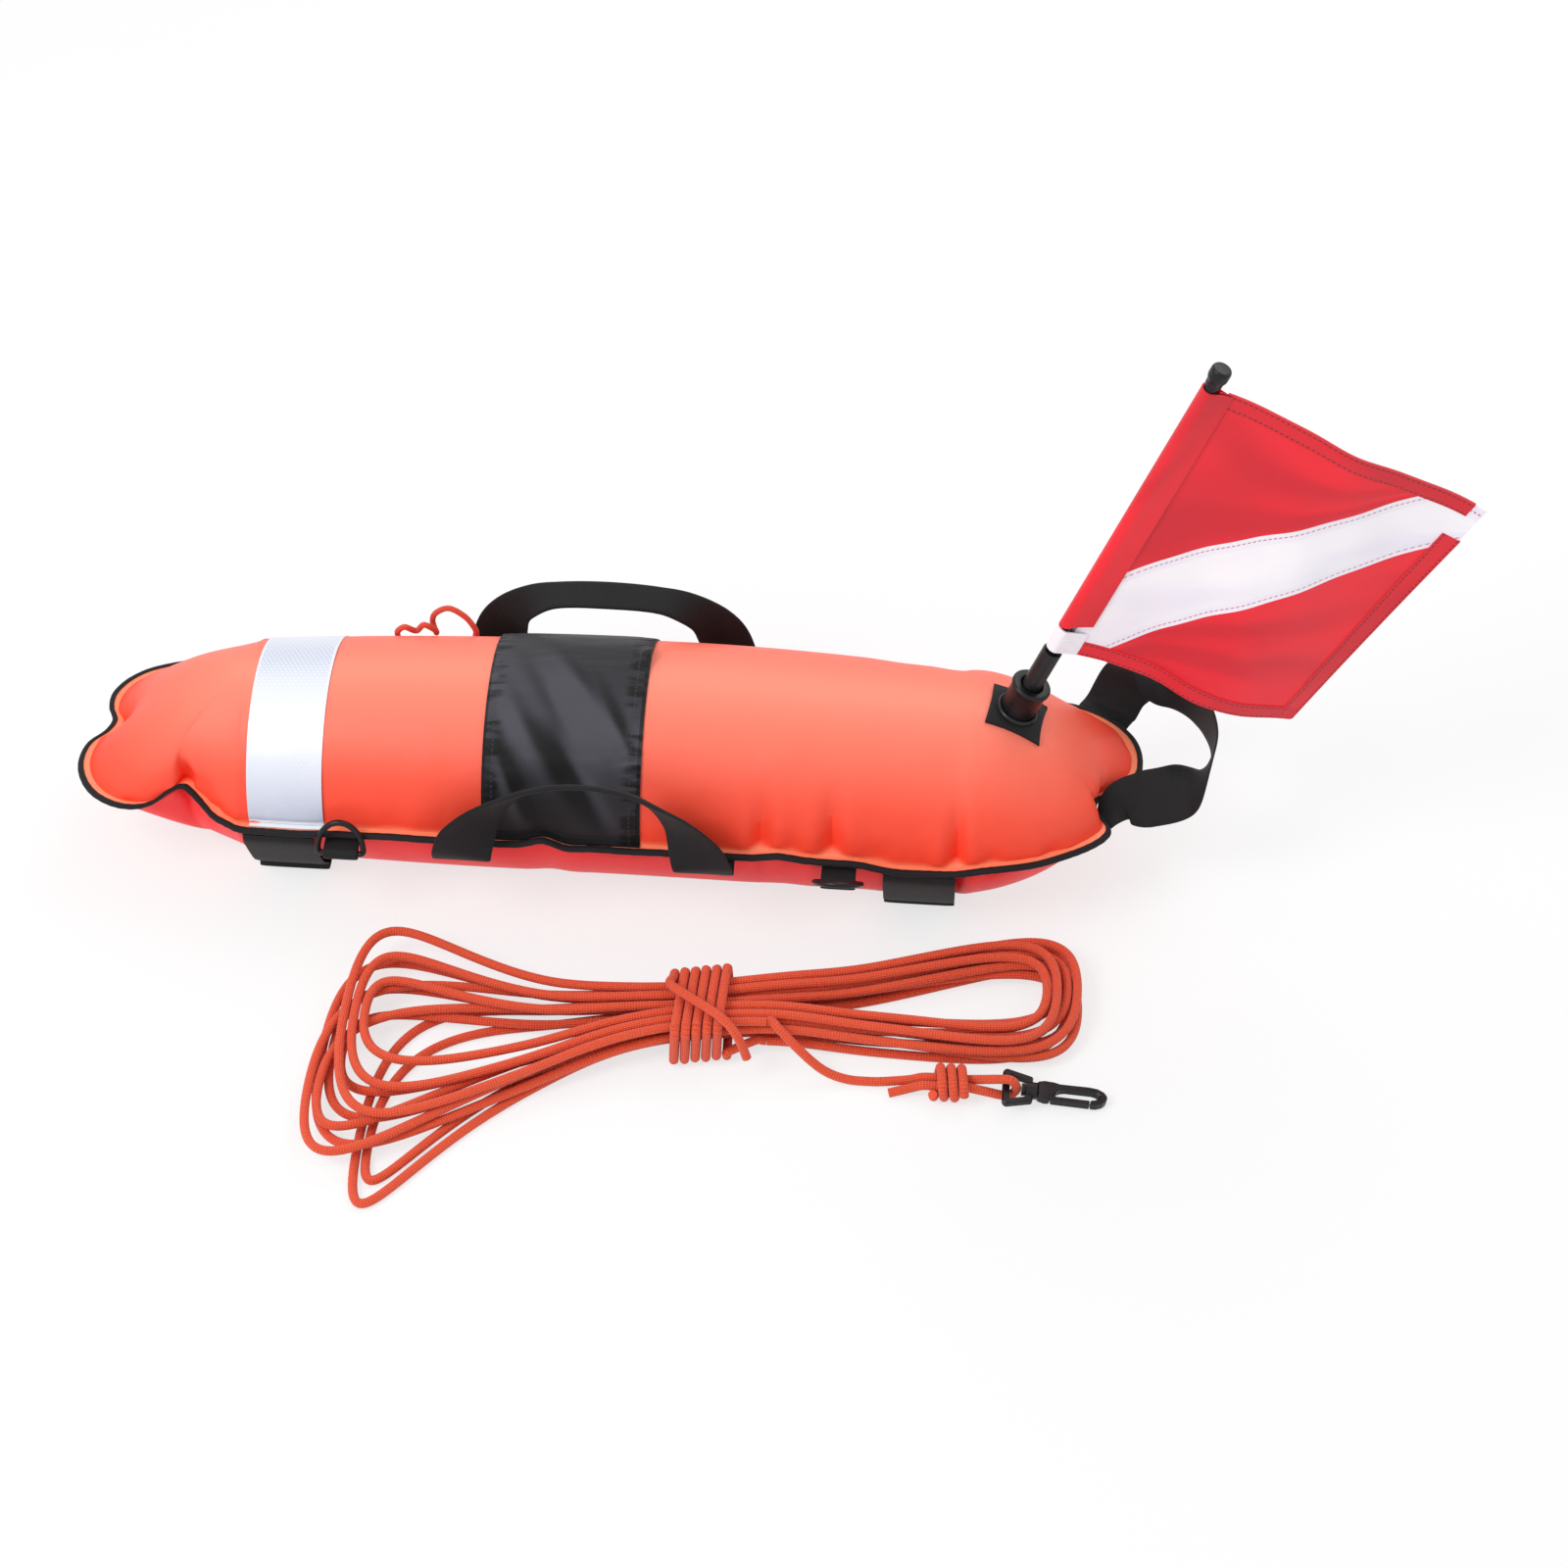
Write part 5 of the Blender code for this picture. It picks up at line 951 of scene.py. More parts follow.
    def section(self, spine: Array, weld: Array, seam: Array, angle: Array, side: int) -> Array:
        """Skin over a place of the seam, from the weld up (or down) to the crest."""
        radius = self.radius(spine[..., 0])
        top = radius - self.flat + side * radius
        distance = np.linalg.norm(weld - spine, axis=-1)
        way = (weld - spine) / distance[..., None]
        reach, share = self.rise(distance, way, radius, angle, side)
        height = (seam + (top - seam) * share)[..., None]
        return np.concatenate([spine + way * reach[..., None], height], axis=-1)

    def nose_height(self, x: Array, y: Array) -> Array:
        """Height of the upper sheet over the nose end, from a table of angles in each place's direction."""
        outer, spine, _ = self.outline()
        weld = (outer + unit(spine - outer) * self.flange - (self.last, 0))[outer[:, 0] > self.last]
        turn = np.arctan2(y, x - self.last)
        distance = np.interp(turn, np.arctan2(weld[:, 1], weld[:, 0]), np.hypot(*weld.T))
        angle = np.linspace(0, math.pi / 2, 91)[:, None, None]
        way = np.stack([np.cos(turn), np.sin(turn)], -1)
        reach, share = self.rise(distance, way, self.nose_radius, angle)
        away = np.hypot(x - self.last, y)
        past = np.clip((reach > away).sum(0), 1, 90)[None]
        near, far, low, high = (np.take_along_axis(table, past - back, 0)[0]
                                for table in (reach, share + 0 * reach) for back in (1, 0))
        seam = self.nose_radius - self.flat + GAP / 2 + SHEET
        between = low + (high - low) * np.clip((near - away) / (near - far), 0, 1)
        return seam + (2 * self.nose_radius - self.flat - seam) * between

    def over(self, x: Array, angle: Array, lift: float) -> Array:
        """Points over the upper sheet's straight part: angle 0 is the near weld and pi the far one.

        Angles beyond the welds lie on the flange, where the lift is upwards.
        """
        radius = self.radius(x)
        near = angle < math.pi / 2
        low = np.minimum(angle, math.pi - angle)
        across = np.where(near, -1.0, 1.0) * radius
        seam = self.seam(x, np.where(near, -1.0, 1.0) * (radius + self.flange)) + GAP / 2 + SHEET
        skin = self.section(np.stack([x, 0 * x], -1), np.stack([x, across], -1), seam, low, 1)
        fine, _, run = self.outline()
        middle = len(self.stations()) * self.steps
        start = middle + (self.nose_points - 2) * self.steps
        first, last = slice(middle), slice(start + middle - 1, start - 1, -1)
        at = np.where(near, *(np.interp(x, fine[way, 0], run[way]) for way in (first, last)))
        free = np.clip(np.degrees(low) / 7, 0, 1)
        up = skin[..., 2] - (radius - self.flat) + (1 - free) * radius
        outward = unit(np.stack([0 * x, free * skin[..., 1], up], -1))
        return skin + outward * (lift - self.slack(at, np.maximum(low, 0) * radius, 1))[..., None]


FORM = FloatForm()


@dataclass
class InflatedFloat:
    """The two sheets, the binding round their weld, the reflective tape and the cloth panel.

    A drape of the panel has a place across it, an angle over the float, a slant, a height and a width.
    """

    rows: int = 52
    flange_rows: int = 3
    swell: float = 0.0007
    lower_slack: float = 0.8
    floor_lift: float = 0.0021
    floor_soft: float = 0.0006
    strap_reach: float = 0.032
    weld: float = 0.0022
    seam_reach: float = 0.040
    binding_lap: float = 0.0040
    binding_tuck: float = 0.0002
    binding_round: float = 0.0003
    foot_deg: float = -2.5
    tape_x: float = -0.2045
    tape_width: float = 0.050
    tape_puff: float = 0.0001
    panel_x: float = -0.0230
    panel_width: float = 0.1030
    panel_puff: float = 0.0012
    ripple: float = 0.00042
    drape_length: float = 0.030
    band_rows: int = 321
    band_columns: int = 65
    drapes: tuple = (
        (-0.024, 0.98, 0.62, 0.0016, 0.0090), (-0.002, 1.16, 0.62, -0.0012, 0.0080),
        (0.016, 1.28, 0.70, 0.0014, 0.0085), (0.036, 1.02, 0.55, 0.0012, 0.0060),
        (-0.036, 0.62, 0.45, 0.0010, 0.0065), (0.010, 0.66, 0.55, -0.0010, 0.0080),
    )

    def sheet(self, name: str, side: int, finish: Finish) -> bpy.types.Object:
        """One sheet: flat flange, then the skin from the weld to the crest, moved in by its folds."""
        outer, spine, run = FORM.outline()
        inward = unit(spine - outer)
        seam = FORM.seam(outer[:, 0], outer[:, 1]) + side * (GAP / 2 + SHEET)
        depths = FORM.proud + (FORM.flange - FORM.proud) * np.arange(self.flange_rows) / self.flange_rows
        flange = [np.column_stack([outer + inward * depth, seam]) for depth in depths]
        angle = (np.linspace(0, 1, self.rows) ** 1.15 * math.pi / 2)[:, None]
        weld = outer + inward * FORM.flange
        skin = FORM.section(spine[None], weld[None], seam[None], angle + 0 * run, side)
        radius = FORM.radius(spine[:, 0])
        normal = surface_normals(skin, True)
        core = np.column_stack([spine, radius - FORM.flat])[None]
        normal *= np.sign(((skin - core) * normal).sum(-1, keepdims=True))
        normal[-2:] = (0, 0, side)
        rise = angle * radius
        depth = FORM.slack(run, rise, side) * (1 if side > 0 else self.lower_slack)
        broad = self.swell * np.sin(run / 0.045 + 3 * angle) * np.sin(2.2 * angle) * np.cos(angle)
        skin = skin - normal * ((depth + broad) * np.cos(angle) ** 0.25)[..., None]
        if side < 0:
            near_strap = sum(hump((skin[..., 0] - at) / self.strap_reach, 4) for at, _ in FORM.dips)
            floor = self.floor_lift * np.clip(near_strap, 0, 1) + GAP
            skin[..., 2] = floor + np.logaddexp(0, (skin[..., 2] - floor) / self.floor_soft) * self.floor_soft
        flat = np.zeros((self.flange_rows, len(run)))
        marks = {
            "weld": np.concatenate([flat + 1, hump(rise / self.weld)]),
            # near_seam: where the painted shade deepens the colour; it also roughens the cloth.
            "near_seam": np.concatenate([flat + 1, hump(rise / self.seam_reach)]),
            # crest: where the painted sheen of the upper sheet and the painted shade under the lower sheet
            # lie.
            "crest": np.concatenate([flat, np.clip(angle + 0 * run - 0.5, 0, 1) ** 1.2]),
        }
        points = np.concatenate([np.array(flange), skin])
        return seat(grid_object(f"{name}_looks", points, finish, marks=marks, merge=True), "float", name)

    def binding(self) -> bpy.types.Object:
        """Folded tape: a rounded channel round the outline that waves a little between its stitches."""
        outer, spine, run = FORM.outline()
        slot = GAP / 2 + SHEET + GAP / 2
        cover = slot + TAPE + GAP / 2
        lap, soft, inner = self.binding_lap, self.binding_round, self.binding_lap - self.binding_tuck
        turn = np.linspace(math.pi / 2, -math.pi / 2, 9)
        section = np.concatenate([
            [(lap, cover - soft), (lap - 0.0005, cover)],
            np.column_stack([cover - cover * np.cos(turn), cover * np.sin(turn)]),
            [(lap - 0.0005, -cover), (lap, soft - cover)],
            [(inner, -slot), (FORM.proud, -slot), (FORM.proud, slot), (inner, slot)],
        ])
        height = FORM.seam(outer[:, 0], outer[:, 1])
        wave = 0.00018 * np.sin(run / 0.0011) + 0.0003 * np.sin(run / 0.0071)
        depth, rise = section[:, 0][None, :, None], section[:, 1][None]
        plan = outer[:, None] + unit(spine - outer)[:, None] * (depth + 0.3 * wave[:, None, None])
        points = np.concatenate([plan, (height[:, None] + rise + 0.5 * wave[:, None])[..., None]], -1)
        return seat(grid_object("seam_binding_looks", points, BINDING, True), "float", "seam_binding")

    def band(self, name: str, middle: float, width: float, finish: Finish, puff: float,
             drapes: tuple) -> bpy.types.Object:
        """A band of cloth over the upper sheet, from one weld to the other.

        Args:
            name: Its node.
            middle: Its place along the float.
            width: Its width.
            finish: Its finish.
            puff: Height of its middle over its edges.
            drapes: Its draped folds; a band without any lies smooth.

        Returns:
            The band.
        """
        foot = math.radians(self.foot_deg)
        x, angle = np.meshgrid(np.linspace(middle - width / 2, middle + width / 2, self.band_columns),
                               np.linspace(foot, math.pi - foot, self.band_rows))
        away = np.abs(x - middle) / (width / 2)
        corner = hump(((x - middle) / (width / 2) - 1) / 0.16) * hump((angle - 1.80) / 0.13)
        lift = puff * (1 - away**8) + 5.0 * puff * corner
        edge = self.ripple if drapes else 0.0
        ripple = edge * np.sin(angle * 52 + 3 * np.sin(9 * angle) - 8 * away) * away**6
        soft = np.clip(np.degrees(angle - foot) / 14, 0, 1) * np.clip((1 - away) / 0.25, 0, 1)
        # Painted light on the panel: a lighter slanting zone, and each drape painted lit on one flank and
        # shaded on the other.
        lit = 0.30 + 0.55 * hump((angle - 1.15 + 6 * (x - middle)) / 0.42)
        for place, turn, slant, height, wide in drapes:
            across = (x - middle - place) + slant * (angle - turn) * FORM.nose_radius
            along = (angle - turn) * FORM.nose_radius / self.drape_length
            swell = np.exp(-((across / wide) ** 2) - along**2) * soft
            ripple = ripple + height * swell
            lit = lit - 1.1 * math.copysign(1.0, height) * across / wide * swell
        inner, outer = FORM.over(x, angle, GAP), FORM.over(x, angle, GAP + TAPE)
        outer = outer + unit(outer - inner) * (lift + np.maximum(ripple, 0.3 * GAP - lift))[..., None]
        low, high = hump((angle - foot) / 0.50), hump((angle - 1.75) / 0.30)
        marks = {"foot": slab(low, low), "crest": slab(high, high), "lit": slab(lit, lit)}
        made = grid_object(f"{name}_looks", slab(inner, outer), finish, cap=Cap.STRIP, marks=marks)
        return seat(made, "float", name)

    def build(self) -> None:
        """Make the whole float."""
        self.sheet("float_upper_sheet", 1, SKIN_UPPER)
        self.sheet("float_lower_sheet", -1, SKIN_LOWER)
        self.binding()
        # The tape's last colour is its bluish-grey painted shade.
        tape = ReflectiveTape("reflective_tape", Slot.TAPE, srgb(226, 230, 241), srgb(244, 246, 251),
                              srgb(178, 187, 210), self.tape_width)
        # The panel's second colour is its painted sheen.
        panel = PanelCloth("panel_nylon", Slot.PANEL, srgb(14, 13, 15), srgb(72, 71, 79), self.panel_width)
        self.band("reflective_band", self.tape_x, self.tape_width, tape, self.tape_puff, ())
        self.band("grip_panel", self.panel_x, self.panel_width, panel, self.panel_puff, self.drapes)


# Webbing

@dataclass
class SideHandle:
    """A side handle: two feet under the binding and a loop that folds to a narrow grip."""

    side: Side
    rise: float
    grip_way: tuple[float, float, float]
    narrow_shares: tuple = (0.0, 0.0, 0.0, 0.05, 0.40, 1.0, 1.0)
    x: float = -0.0075
    span: float = 0.1580
    foot_width: float = 0.038
    grip_width: float = 0.020
    grip_thickness: float = 0.0038
    outreach: float = 0.0105
    hinge_out: float = 0.0025
    lap: float = 0.0040
    foot_rows: int = 13
    loop_rows: int = 169
    path_shares: tuple = (
        (-1.00, 0.00, 0.00), (-1.00, 0.45, 0.00), (-0.985, 1.00, 0.17), (-0.92, 0.85, 0.42),
        (-0.76, 0.30, 0.70), (-0.45, -0.35, 0.93), (0.0, -0.62, 1.00),
    )
    width_shares: tuple = (
        (1.0, 0.0, 0.0), (1.0, 0.0, 0.0), (0.99, 0.0, -0.14), (0.86, -0.18, -0.46),
        (0.52, -0.50, -0.69), (0.10, -0.68, -0.73), (0.0, -0.68, -0.73),
    )

    def build(self, name: str) -> None:
        """Make the feet and the loop, whose path and width turn are smooth curves through their shares."""
        sign = self.side.value
        feet = {"aft": self.x - self.span / 2, "fore": self.x + self.span / 2}
        unders = {label: FORM.under(x, self.foot_width) - GAP - WEBBING / 2 for label, x in feet.items()}
        out = max(float(FORM.radius(x)) for x in feet.values()) + FORM.flange + self.hinge_out
        height = min(unders.values())
        for label, x in feet.items():
            inner, under = float(FORM.radius(x + self.foot_width / 2)) + FORM.flange - self.lap, unders[label]
            lap = [(inner, under), (inner + self.lap / 2, under), (out - WEBBING / 2, height), (out, height)]
            rows = through_points([(x, sign * away, up) for away, up in lap], self.foot_rows)
            make_strap(f"{name}_foot_{label}", "float", rows, ALONG, self.foot_width)
        ways = np.array(self.width_shares)
        ways[-2:] = self.grip_way
        table = np.column_stack([np.array(self.path_shares), self.narrow_shares, ways])
        table = np.concatenate([table, table[-2::-1] * (-1, 1, 1, 1, -1, 1, 1)])
        table = through_points(table, self.loop_rows)
        centres = np.column_stack([
            self.x + table[:, 0] * self.span / 2, sign * (out + GAP + table[:, 1] * self.outreach),
            height + table[:, 2] * self.rise,
        ])
        narrow = np.clip(table[:, 3], 0, 1)
        widths = self.foot_width + (self.grip_width - self.foot_width) * narrow
        thick = WEBBING + (self.grip_thickness - WEBBING) * narrow
        make_strap(f"{name}_loop", name, centres, table[:, 4:] * (1, sign, 1), widths, thick,
                   ((0, sign, 0), (0, -sign, 0)))


@dataclass
class NoseHandle:
    """The nose handle: two feet sewn at corners of the nose and a twisted loop between them."""

    width: float = 0.038
    gathered: float = 0.0150
    lead: float = 0.0110
    flare: tuple = (0, 0.0062, 0.0058)
    flare_width: float = 0.028
    lap: float = 0.0040
    hinge_out: float = 0.0025
    foot_shares: tuple = ((0.765, -0.31), (0.76, 0.80))
    size: tuple = (0.0440, 0.0840, 0.1190)
    loop_rows: int = 201
    route_shares: tuple = (
        (0.050, -0.185, 0.680), (0.520, -0.170, 0.745), (0.870, -0.080, 0.845), (1.0, 0.120, 0.930),
        (0.773, 0.393, 1.0), (0.341, 0.679, 1.0), (-0.023, 0.881, 0.882), (-0.295, 1.0, 0.723),
    )
    width_ways: tuple = (
        (0.0, 0.73, 0.68), (0.10, 0.80, 0.58), (0.25, 0.95, -0.20), (-0.05, 0.60, -0.78),
        (-0.30, 0.52, -0.78), (-0.62, 0.42, -0.60), (-0.78, 0.52, -0.25), (-0.84, 0.53, -0.06),
    )

    def foot(self, share: tuple[float, float]) -> tuple[Array, Array, float]:
        """Edge place, outward way and height of a foot."""
        outer, _ = FORM.ring()
        place = np.array([FORM.last, 0]) + np.array(share) * (FORM.end_length, FORM.nose_radius + FORM.flange)
        near = int(np.argmin(np.hypot(*(outer - place).T)))
        along = outer[near + 1] - outer[near - 1]
        way = np.array([along[1], -along[0]]) / np.linalg.norm(along)
        seam = FORM.seam(outer[near - 1:near + 2, 0], outer[near - 1:near + 2, 1]).min()
        return outer[near], way, float(seam) - GAP / 2 - SHEET - GAP - TAPE - GAP - WEBBING / 2

    def build(self) -> None:
        """Make both feet, then the loop through its route with the width turned as it twists."""
        ends = []
        for label, share, width in zip(("near", "far"), self.foot_shares, (self.gathered, self.width)):
            edge, way, height = self.foot(share)
            lap = np.array([np.append(edge + way * step, height) for step in (-self.lap, 0, self.hinge_out)])
            across = np.array([-way[1], way[0], 0.0])
            make_strap(f"nose_handle_foot_{label}", "float", lap, across, width)
            start = np.append(edge + way * (self.hinge_out + GAP), height)
            ends.append((start, np.append(way, 0), across))
        (near, near_way, near_across), (far, far_way, far_across) = ends
        route = np.array(self.route_shares) * self.size + (FORM.nose_reach, 0, 0)
        centres = [near, near + near_way * self.lead + self.flare, *route, far + far_way * self.lead, far]
        ways = [near_across, self.width_ways[0], *self.width_ways, far_across, far_across]
        widths = [self.gathered, self.flare_width] + [self.width] * (len(route) + 2)
        table = through_points(np.column_stack([np.array(centres), np.array(ways), widths]), self.loop_rows)
        make_strap("nose_handle_loop", "float", table[:, :3], table[:, 3:6],
                   np.minimum(table[:, 6], self.width), WEBBING, (near_way, -far_way))


@dataclass
class RingMount:
    """A D-ring in a webbing tab that is sewn under the binding."""

    label: str
    x: float
    side: Side
    turn_deg: float
    rod: float = 0.0040
    inner_width: float = 0.0260
    depth: float = 0.0235
    corner_share: float = 0.6
    tab_width: float = 0.0225
    ply: float = 0.0019
    lap: float = 0.0055
    run: float = 0.0004
    fold_gap: float = 0.0001
    bar_out: float = 0.0065
    wrap: float = 0.62
    tuck: tuple = (0.001, 0.0022, 0.0004)
    bend_points: int = 20
    tab_rows: int = 60
    rod_sides: int = 14

    @property
    def outer(self) -> float:
        """Outer radius of the tab round the bar."""
        return self.rod / 2 + self.run + self.ply

    def place(self) -> tuple[float, float, float]:
        """Distance out and height of the bar, and where the tab starts."""
        edge = float(FORM.radius(self.x)) + FORM.flange
        return edge + self.bar_out, FORM.under(self.x, self.tab_width) - GAP - self.outer, edge - self.lap

    def tab(self) -> None:
        """Webbing out, half round the bar and back under itself."""
        out, height, inner = self.place()
        middle = self.rod / 2 + self.run + self.ply / 2
        before, after, drop = self.tuck
        turn = np.linspace(math.pi / 2, -math.pi * self.wrap, self.bend_points)
        bend = [(out + middle * math.cos(a), height + middle * math.sin(a)) for a in turn]
        lane = height + middle - self.ply
        path = [(inner, height + middle), (out - before, height + middle), *bend,
                (bend[-1][0] - after, lane - drop), (inner, lane)]
        rows = through_points([(self.x, self.side.value * a, b) for a, b in path], 160)
        make_strap(f"ring_tab_{self.label}", "float", even_steps(rows, self.tab_rows), ALONG, self.tab_width,
                   self.ply - self.fold_gap)

    def ring(self) -> None:
        """A straight bar with rounded corners and half an oval, turned about the bar."""
        out, height, _ = self.place()
        sign, angle = self.side.value, math.radians(self.turn_deg)
        half, corner = (self.inner_width + self.rod) / 2, self.rod * self.corner_share
        bend, arc = np.linspace(-math.pi / 2, 0, 7)[1:-1], np.linspace(0, math.pi, 49)
        right = np.column_stack([half - corner + corner * np.cos(bend), corner + corner * np.sin(bend)])
        bar = np.column_stack([np.linspace(corner - half, half - corner, 9), np.zeros(9)])
        bow = np.column_stack([half * np.cos(arc), corner + (self.depth - corner) * np.sin(arc)])
        plan = np.concatenate([bar, right, bow, right[::-1] * (-1, 1)])
        ring = np.column_stack([self.x + plan[:, 0], sign * (out + plan[:, 1] * math.cos(angle)),
                                height + plan[:, 1] * math.sin(angle)])
        flat = np.array([0.0, -sign * math.sin(angle), math.cos(angle)])
        way = unit(np.roll(ring, -1, axis=0) - np.roll(ring, 1, axis=0))
        around = (2 * math.pi * np.arange(self.rod_sides) / self.rod_sides)[None, :, None]
        side_way = np.cross(way, flat)[:, None]
        points = ring[:, None] + self.rod / 2 * (side_way * np.cos(around) + flat * np.sin(around))
        seat(grid_object(f"d_ring_{self.label}_looks", points, PLASTIC, True), f"ring_{self.label}",
             f"d_ring_{self.label}")

    def build(self) -> None:
        """Make the tab and its ring."""
        self.tab()
        self.ring()


@dataclass
class BellyStrap:
    """A strap from the seam down to the floor and up to the seam on the other side."""

    x: float
    width: float = 0.0470
    flat_half: float = 0.0440
    rows: int = 161
    knee_shares: tuple = ((0.975, 0.60), (0.83, 0.31), (0.67, 0.11))

    def build(self, name: str) -> None:
        """A smooth curve through its knees, mirrored, never under the floor."""
        radius = float(FORM.radius(self.x))
        places = FORM.stations()
        seam = float(np.interp(self.x, places, FORM.seam(places, FORM.radius(places))))
        out, top = radius + FORM.flange - 2 * FORM.proud, FORM.under(self.x, self.width) - GAP
        half = [(out, top), (out, top - FORM.flange + FORM.proud)]
        half += [(radius * a, seam * b) for a, b in self.knee_shares]
        half += [(self.flat_half, WEBBING / 2), (0, WEBBING / 2)]
        rows = np.array([(self.x, -away, up) for away, up in half])
        rows = through_points(np.concatenate([rows, rows[-2::-1] * (1, -1, 1)]), self.rows)
        rows[:, 2] = np.maximum(rows[:, 2], WEBBING / 2)
        make_strap(name, "float", rows, ALONG, self.width)


# Pole, flag and valve

@dataclass
class PoleSet:
    """Socket on its patch, and the pole with its ferrule and cap."""

    foot: tuple = (0.2670, 0.0, 0.14181)
    lean_deg: float = 19.9
    length: float = 0.3000
    rod: float = 0.0040
    sleeve: float = 0.0065
    ferrule_length: float = 0.0560
    cap_radius: float = 0.0065
    cap_height: float = 0.0140
    cap_skirt: float = 0.0050
    cap_steps: tuple = ((0.80, 0.0), (0.84, 0.0045), (1.0, 0.0066), (1.0, 0.0122))
    cap_top: float = 0.88
    flange_radius: float = 0.01425
    flange_thick: float = 0.0028
    cup_radius: float = 0.0120
    cup_height: float = 0.0260
    cup_floor: float = 0.0030
    lip: float = 0.0012
    run: float = 0.0004
    patch_side: float = 0.0360
    patch_turn_deg: float = -7.0
    patch_pinch: float = 0.055
    patch_thick: tuple = (0.0003, 0.0012, 0.0022)
    patch_points: int = 33

    def place(self) -> Matrix:
        """The pole's own space: its foot, leaning towards the nose."""
        return Matrix.Translation(self.foot) @ Matrix.Rotation(math.radians(self.lean_deg), 4, "Y")

    @property
    def cap_low(self) -> float:
        """Height of the cap's lower edge along the pole."""
        return self.cup_floor + 2 * GAP + SHEET + self.length - self.cap_skirt

    def build(self) -> None:
        """Turned pieces with softened corners, and the sewn patch under them."""
        place, neck, top, lip = self.place(), self.cup_radius, self.cup_height, self.lip
        rim, thick, sleeve, floor = self.flange_radius, self.flange_thick, self.sleeve, self.cup_floor
        knob, base, hole, bore = self.cap_radius, self.cap_low, self.rod + GAP, sleeve + self.run
        low = floor + GAP
        end, start = low + self.ferrule_length, low + SHEET + GAP
        tip = start + self.length
        flange = [(neck + GAP, GAP), (rim, GAP), (rim, thick * 0.45), (rim - 0.0010, thick),
                  (neck + GAP, thick)]
        cup = [(0, GAP), (neck, GAP), (neck, top - 3.4 * lip), (neck + lip, top - 2.6 * lip),
               (neck + lip, top - lip), (neck, top), (bore + lip, top), (bore, top - lip), (bore, floor),
               (0, floor)]
        ferrule = [(0, low), (sleeve - lip, low), (sleeve, low + lip), (sleeve, end), (hole, end),
                   (hole, low + SHEET), (0, low + SHEET)]
        shaft = [(0, start), (self.rod, start), (self.rod, tip), (0, tip)]
        cap = [(0, tip + GAP), (hole, tip + GAP), (hole, base)]
        cap += [(knob * share, base + up) for share, up in (*self.cap_steps, (self.cap_top, self.cap_height))]
        cap += [(0, base + self.cap_height)]
        make_turned("socket_flange", "float", flange, place, PLASTIC, 0.0008, closed=True)
        make_turned("socket_cup", "float", cup, place, PLASTIC, 0.0006)
        make_turned("pole_ferrule", "pole", ferrule, place, ROD, 0.0004)
        make_turned("flag_pole", "pole", shaft, place, ROD, 0.0004)
        make_turned("pole_cap", "pole", cap, place, PLASTIC, 0.0010)
        self.patch()

    def patch(self) -> bpy.types.Object:
        """Square patch with thin edges: it lies on the sheet, and its middle is square to the pole."""
        share = np.linspace(-1, 1, self.patch_points)
        u, v = np.meshgrid(share, share, indexing="ij")
        turn, half = math.radians(self.patch_turn_deg), self.patch_side / 2
        pinch = 1 - self.patch_pinch * (1 - v**2) * np.abs(u) ** 3
        x = half * (u * pinch * math.cos(turn) - v * math.sin(turn))
        y = half * (u * pinch * math.sin(turn) + v * math.cos(turn))
        skin = FORM.nose_height(self.foot[0] + x, y)
        level = self.foot[2] - math.tan(math.radians(self.lean_deg)) * x
        lift, least, proud = self.patch_thick
        away = ease((np.hypot(x, y) / (0.95 * half) - 0.75) / 0.55)
        top = level + (skin + proud - level) * away * 0.9
        under = skin + lift
        grids = [np.stack([self.foot[0] + x, y, z], -1) for z in (under, np.maximum(top, under + least))]
        made = grid_object("socket_patch_looks", slab(*grids), WEB, cap=Cap.STRIP)
        return seat(made, "float", "socket_patch")


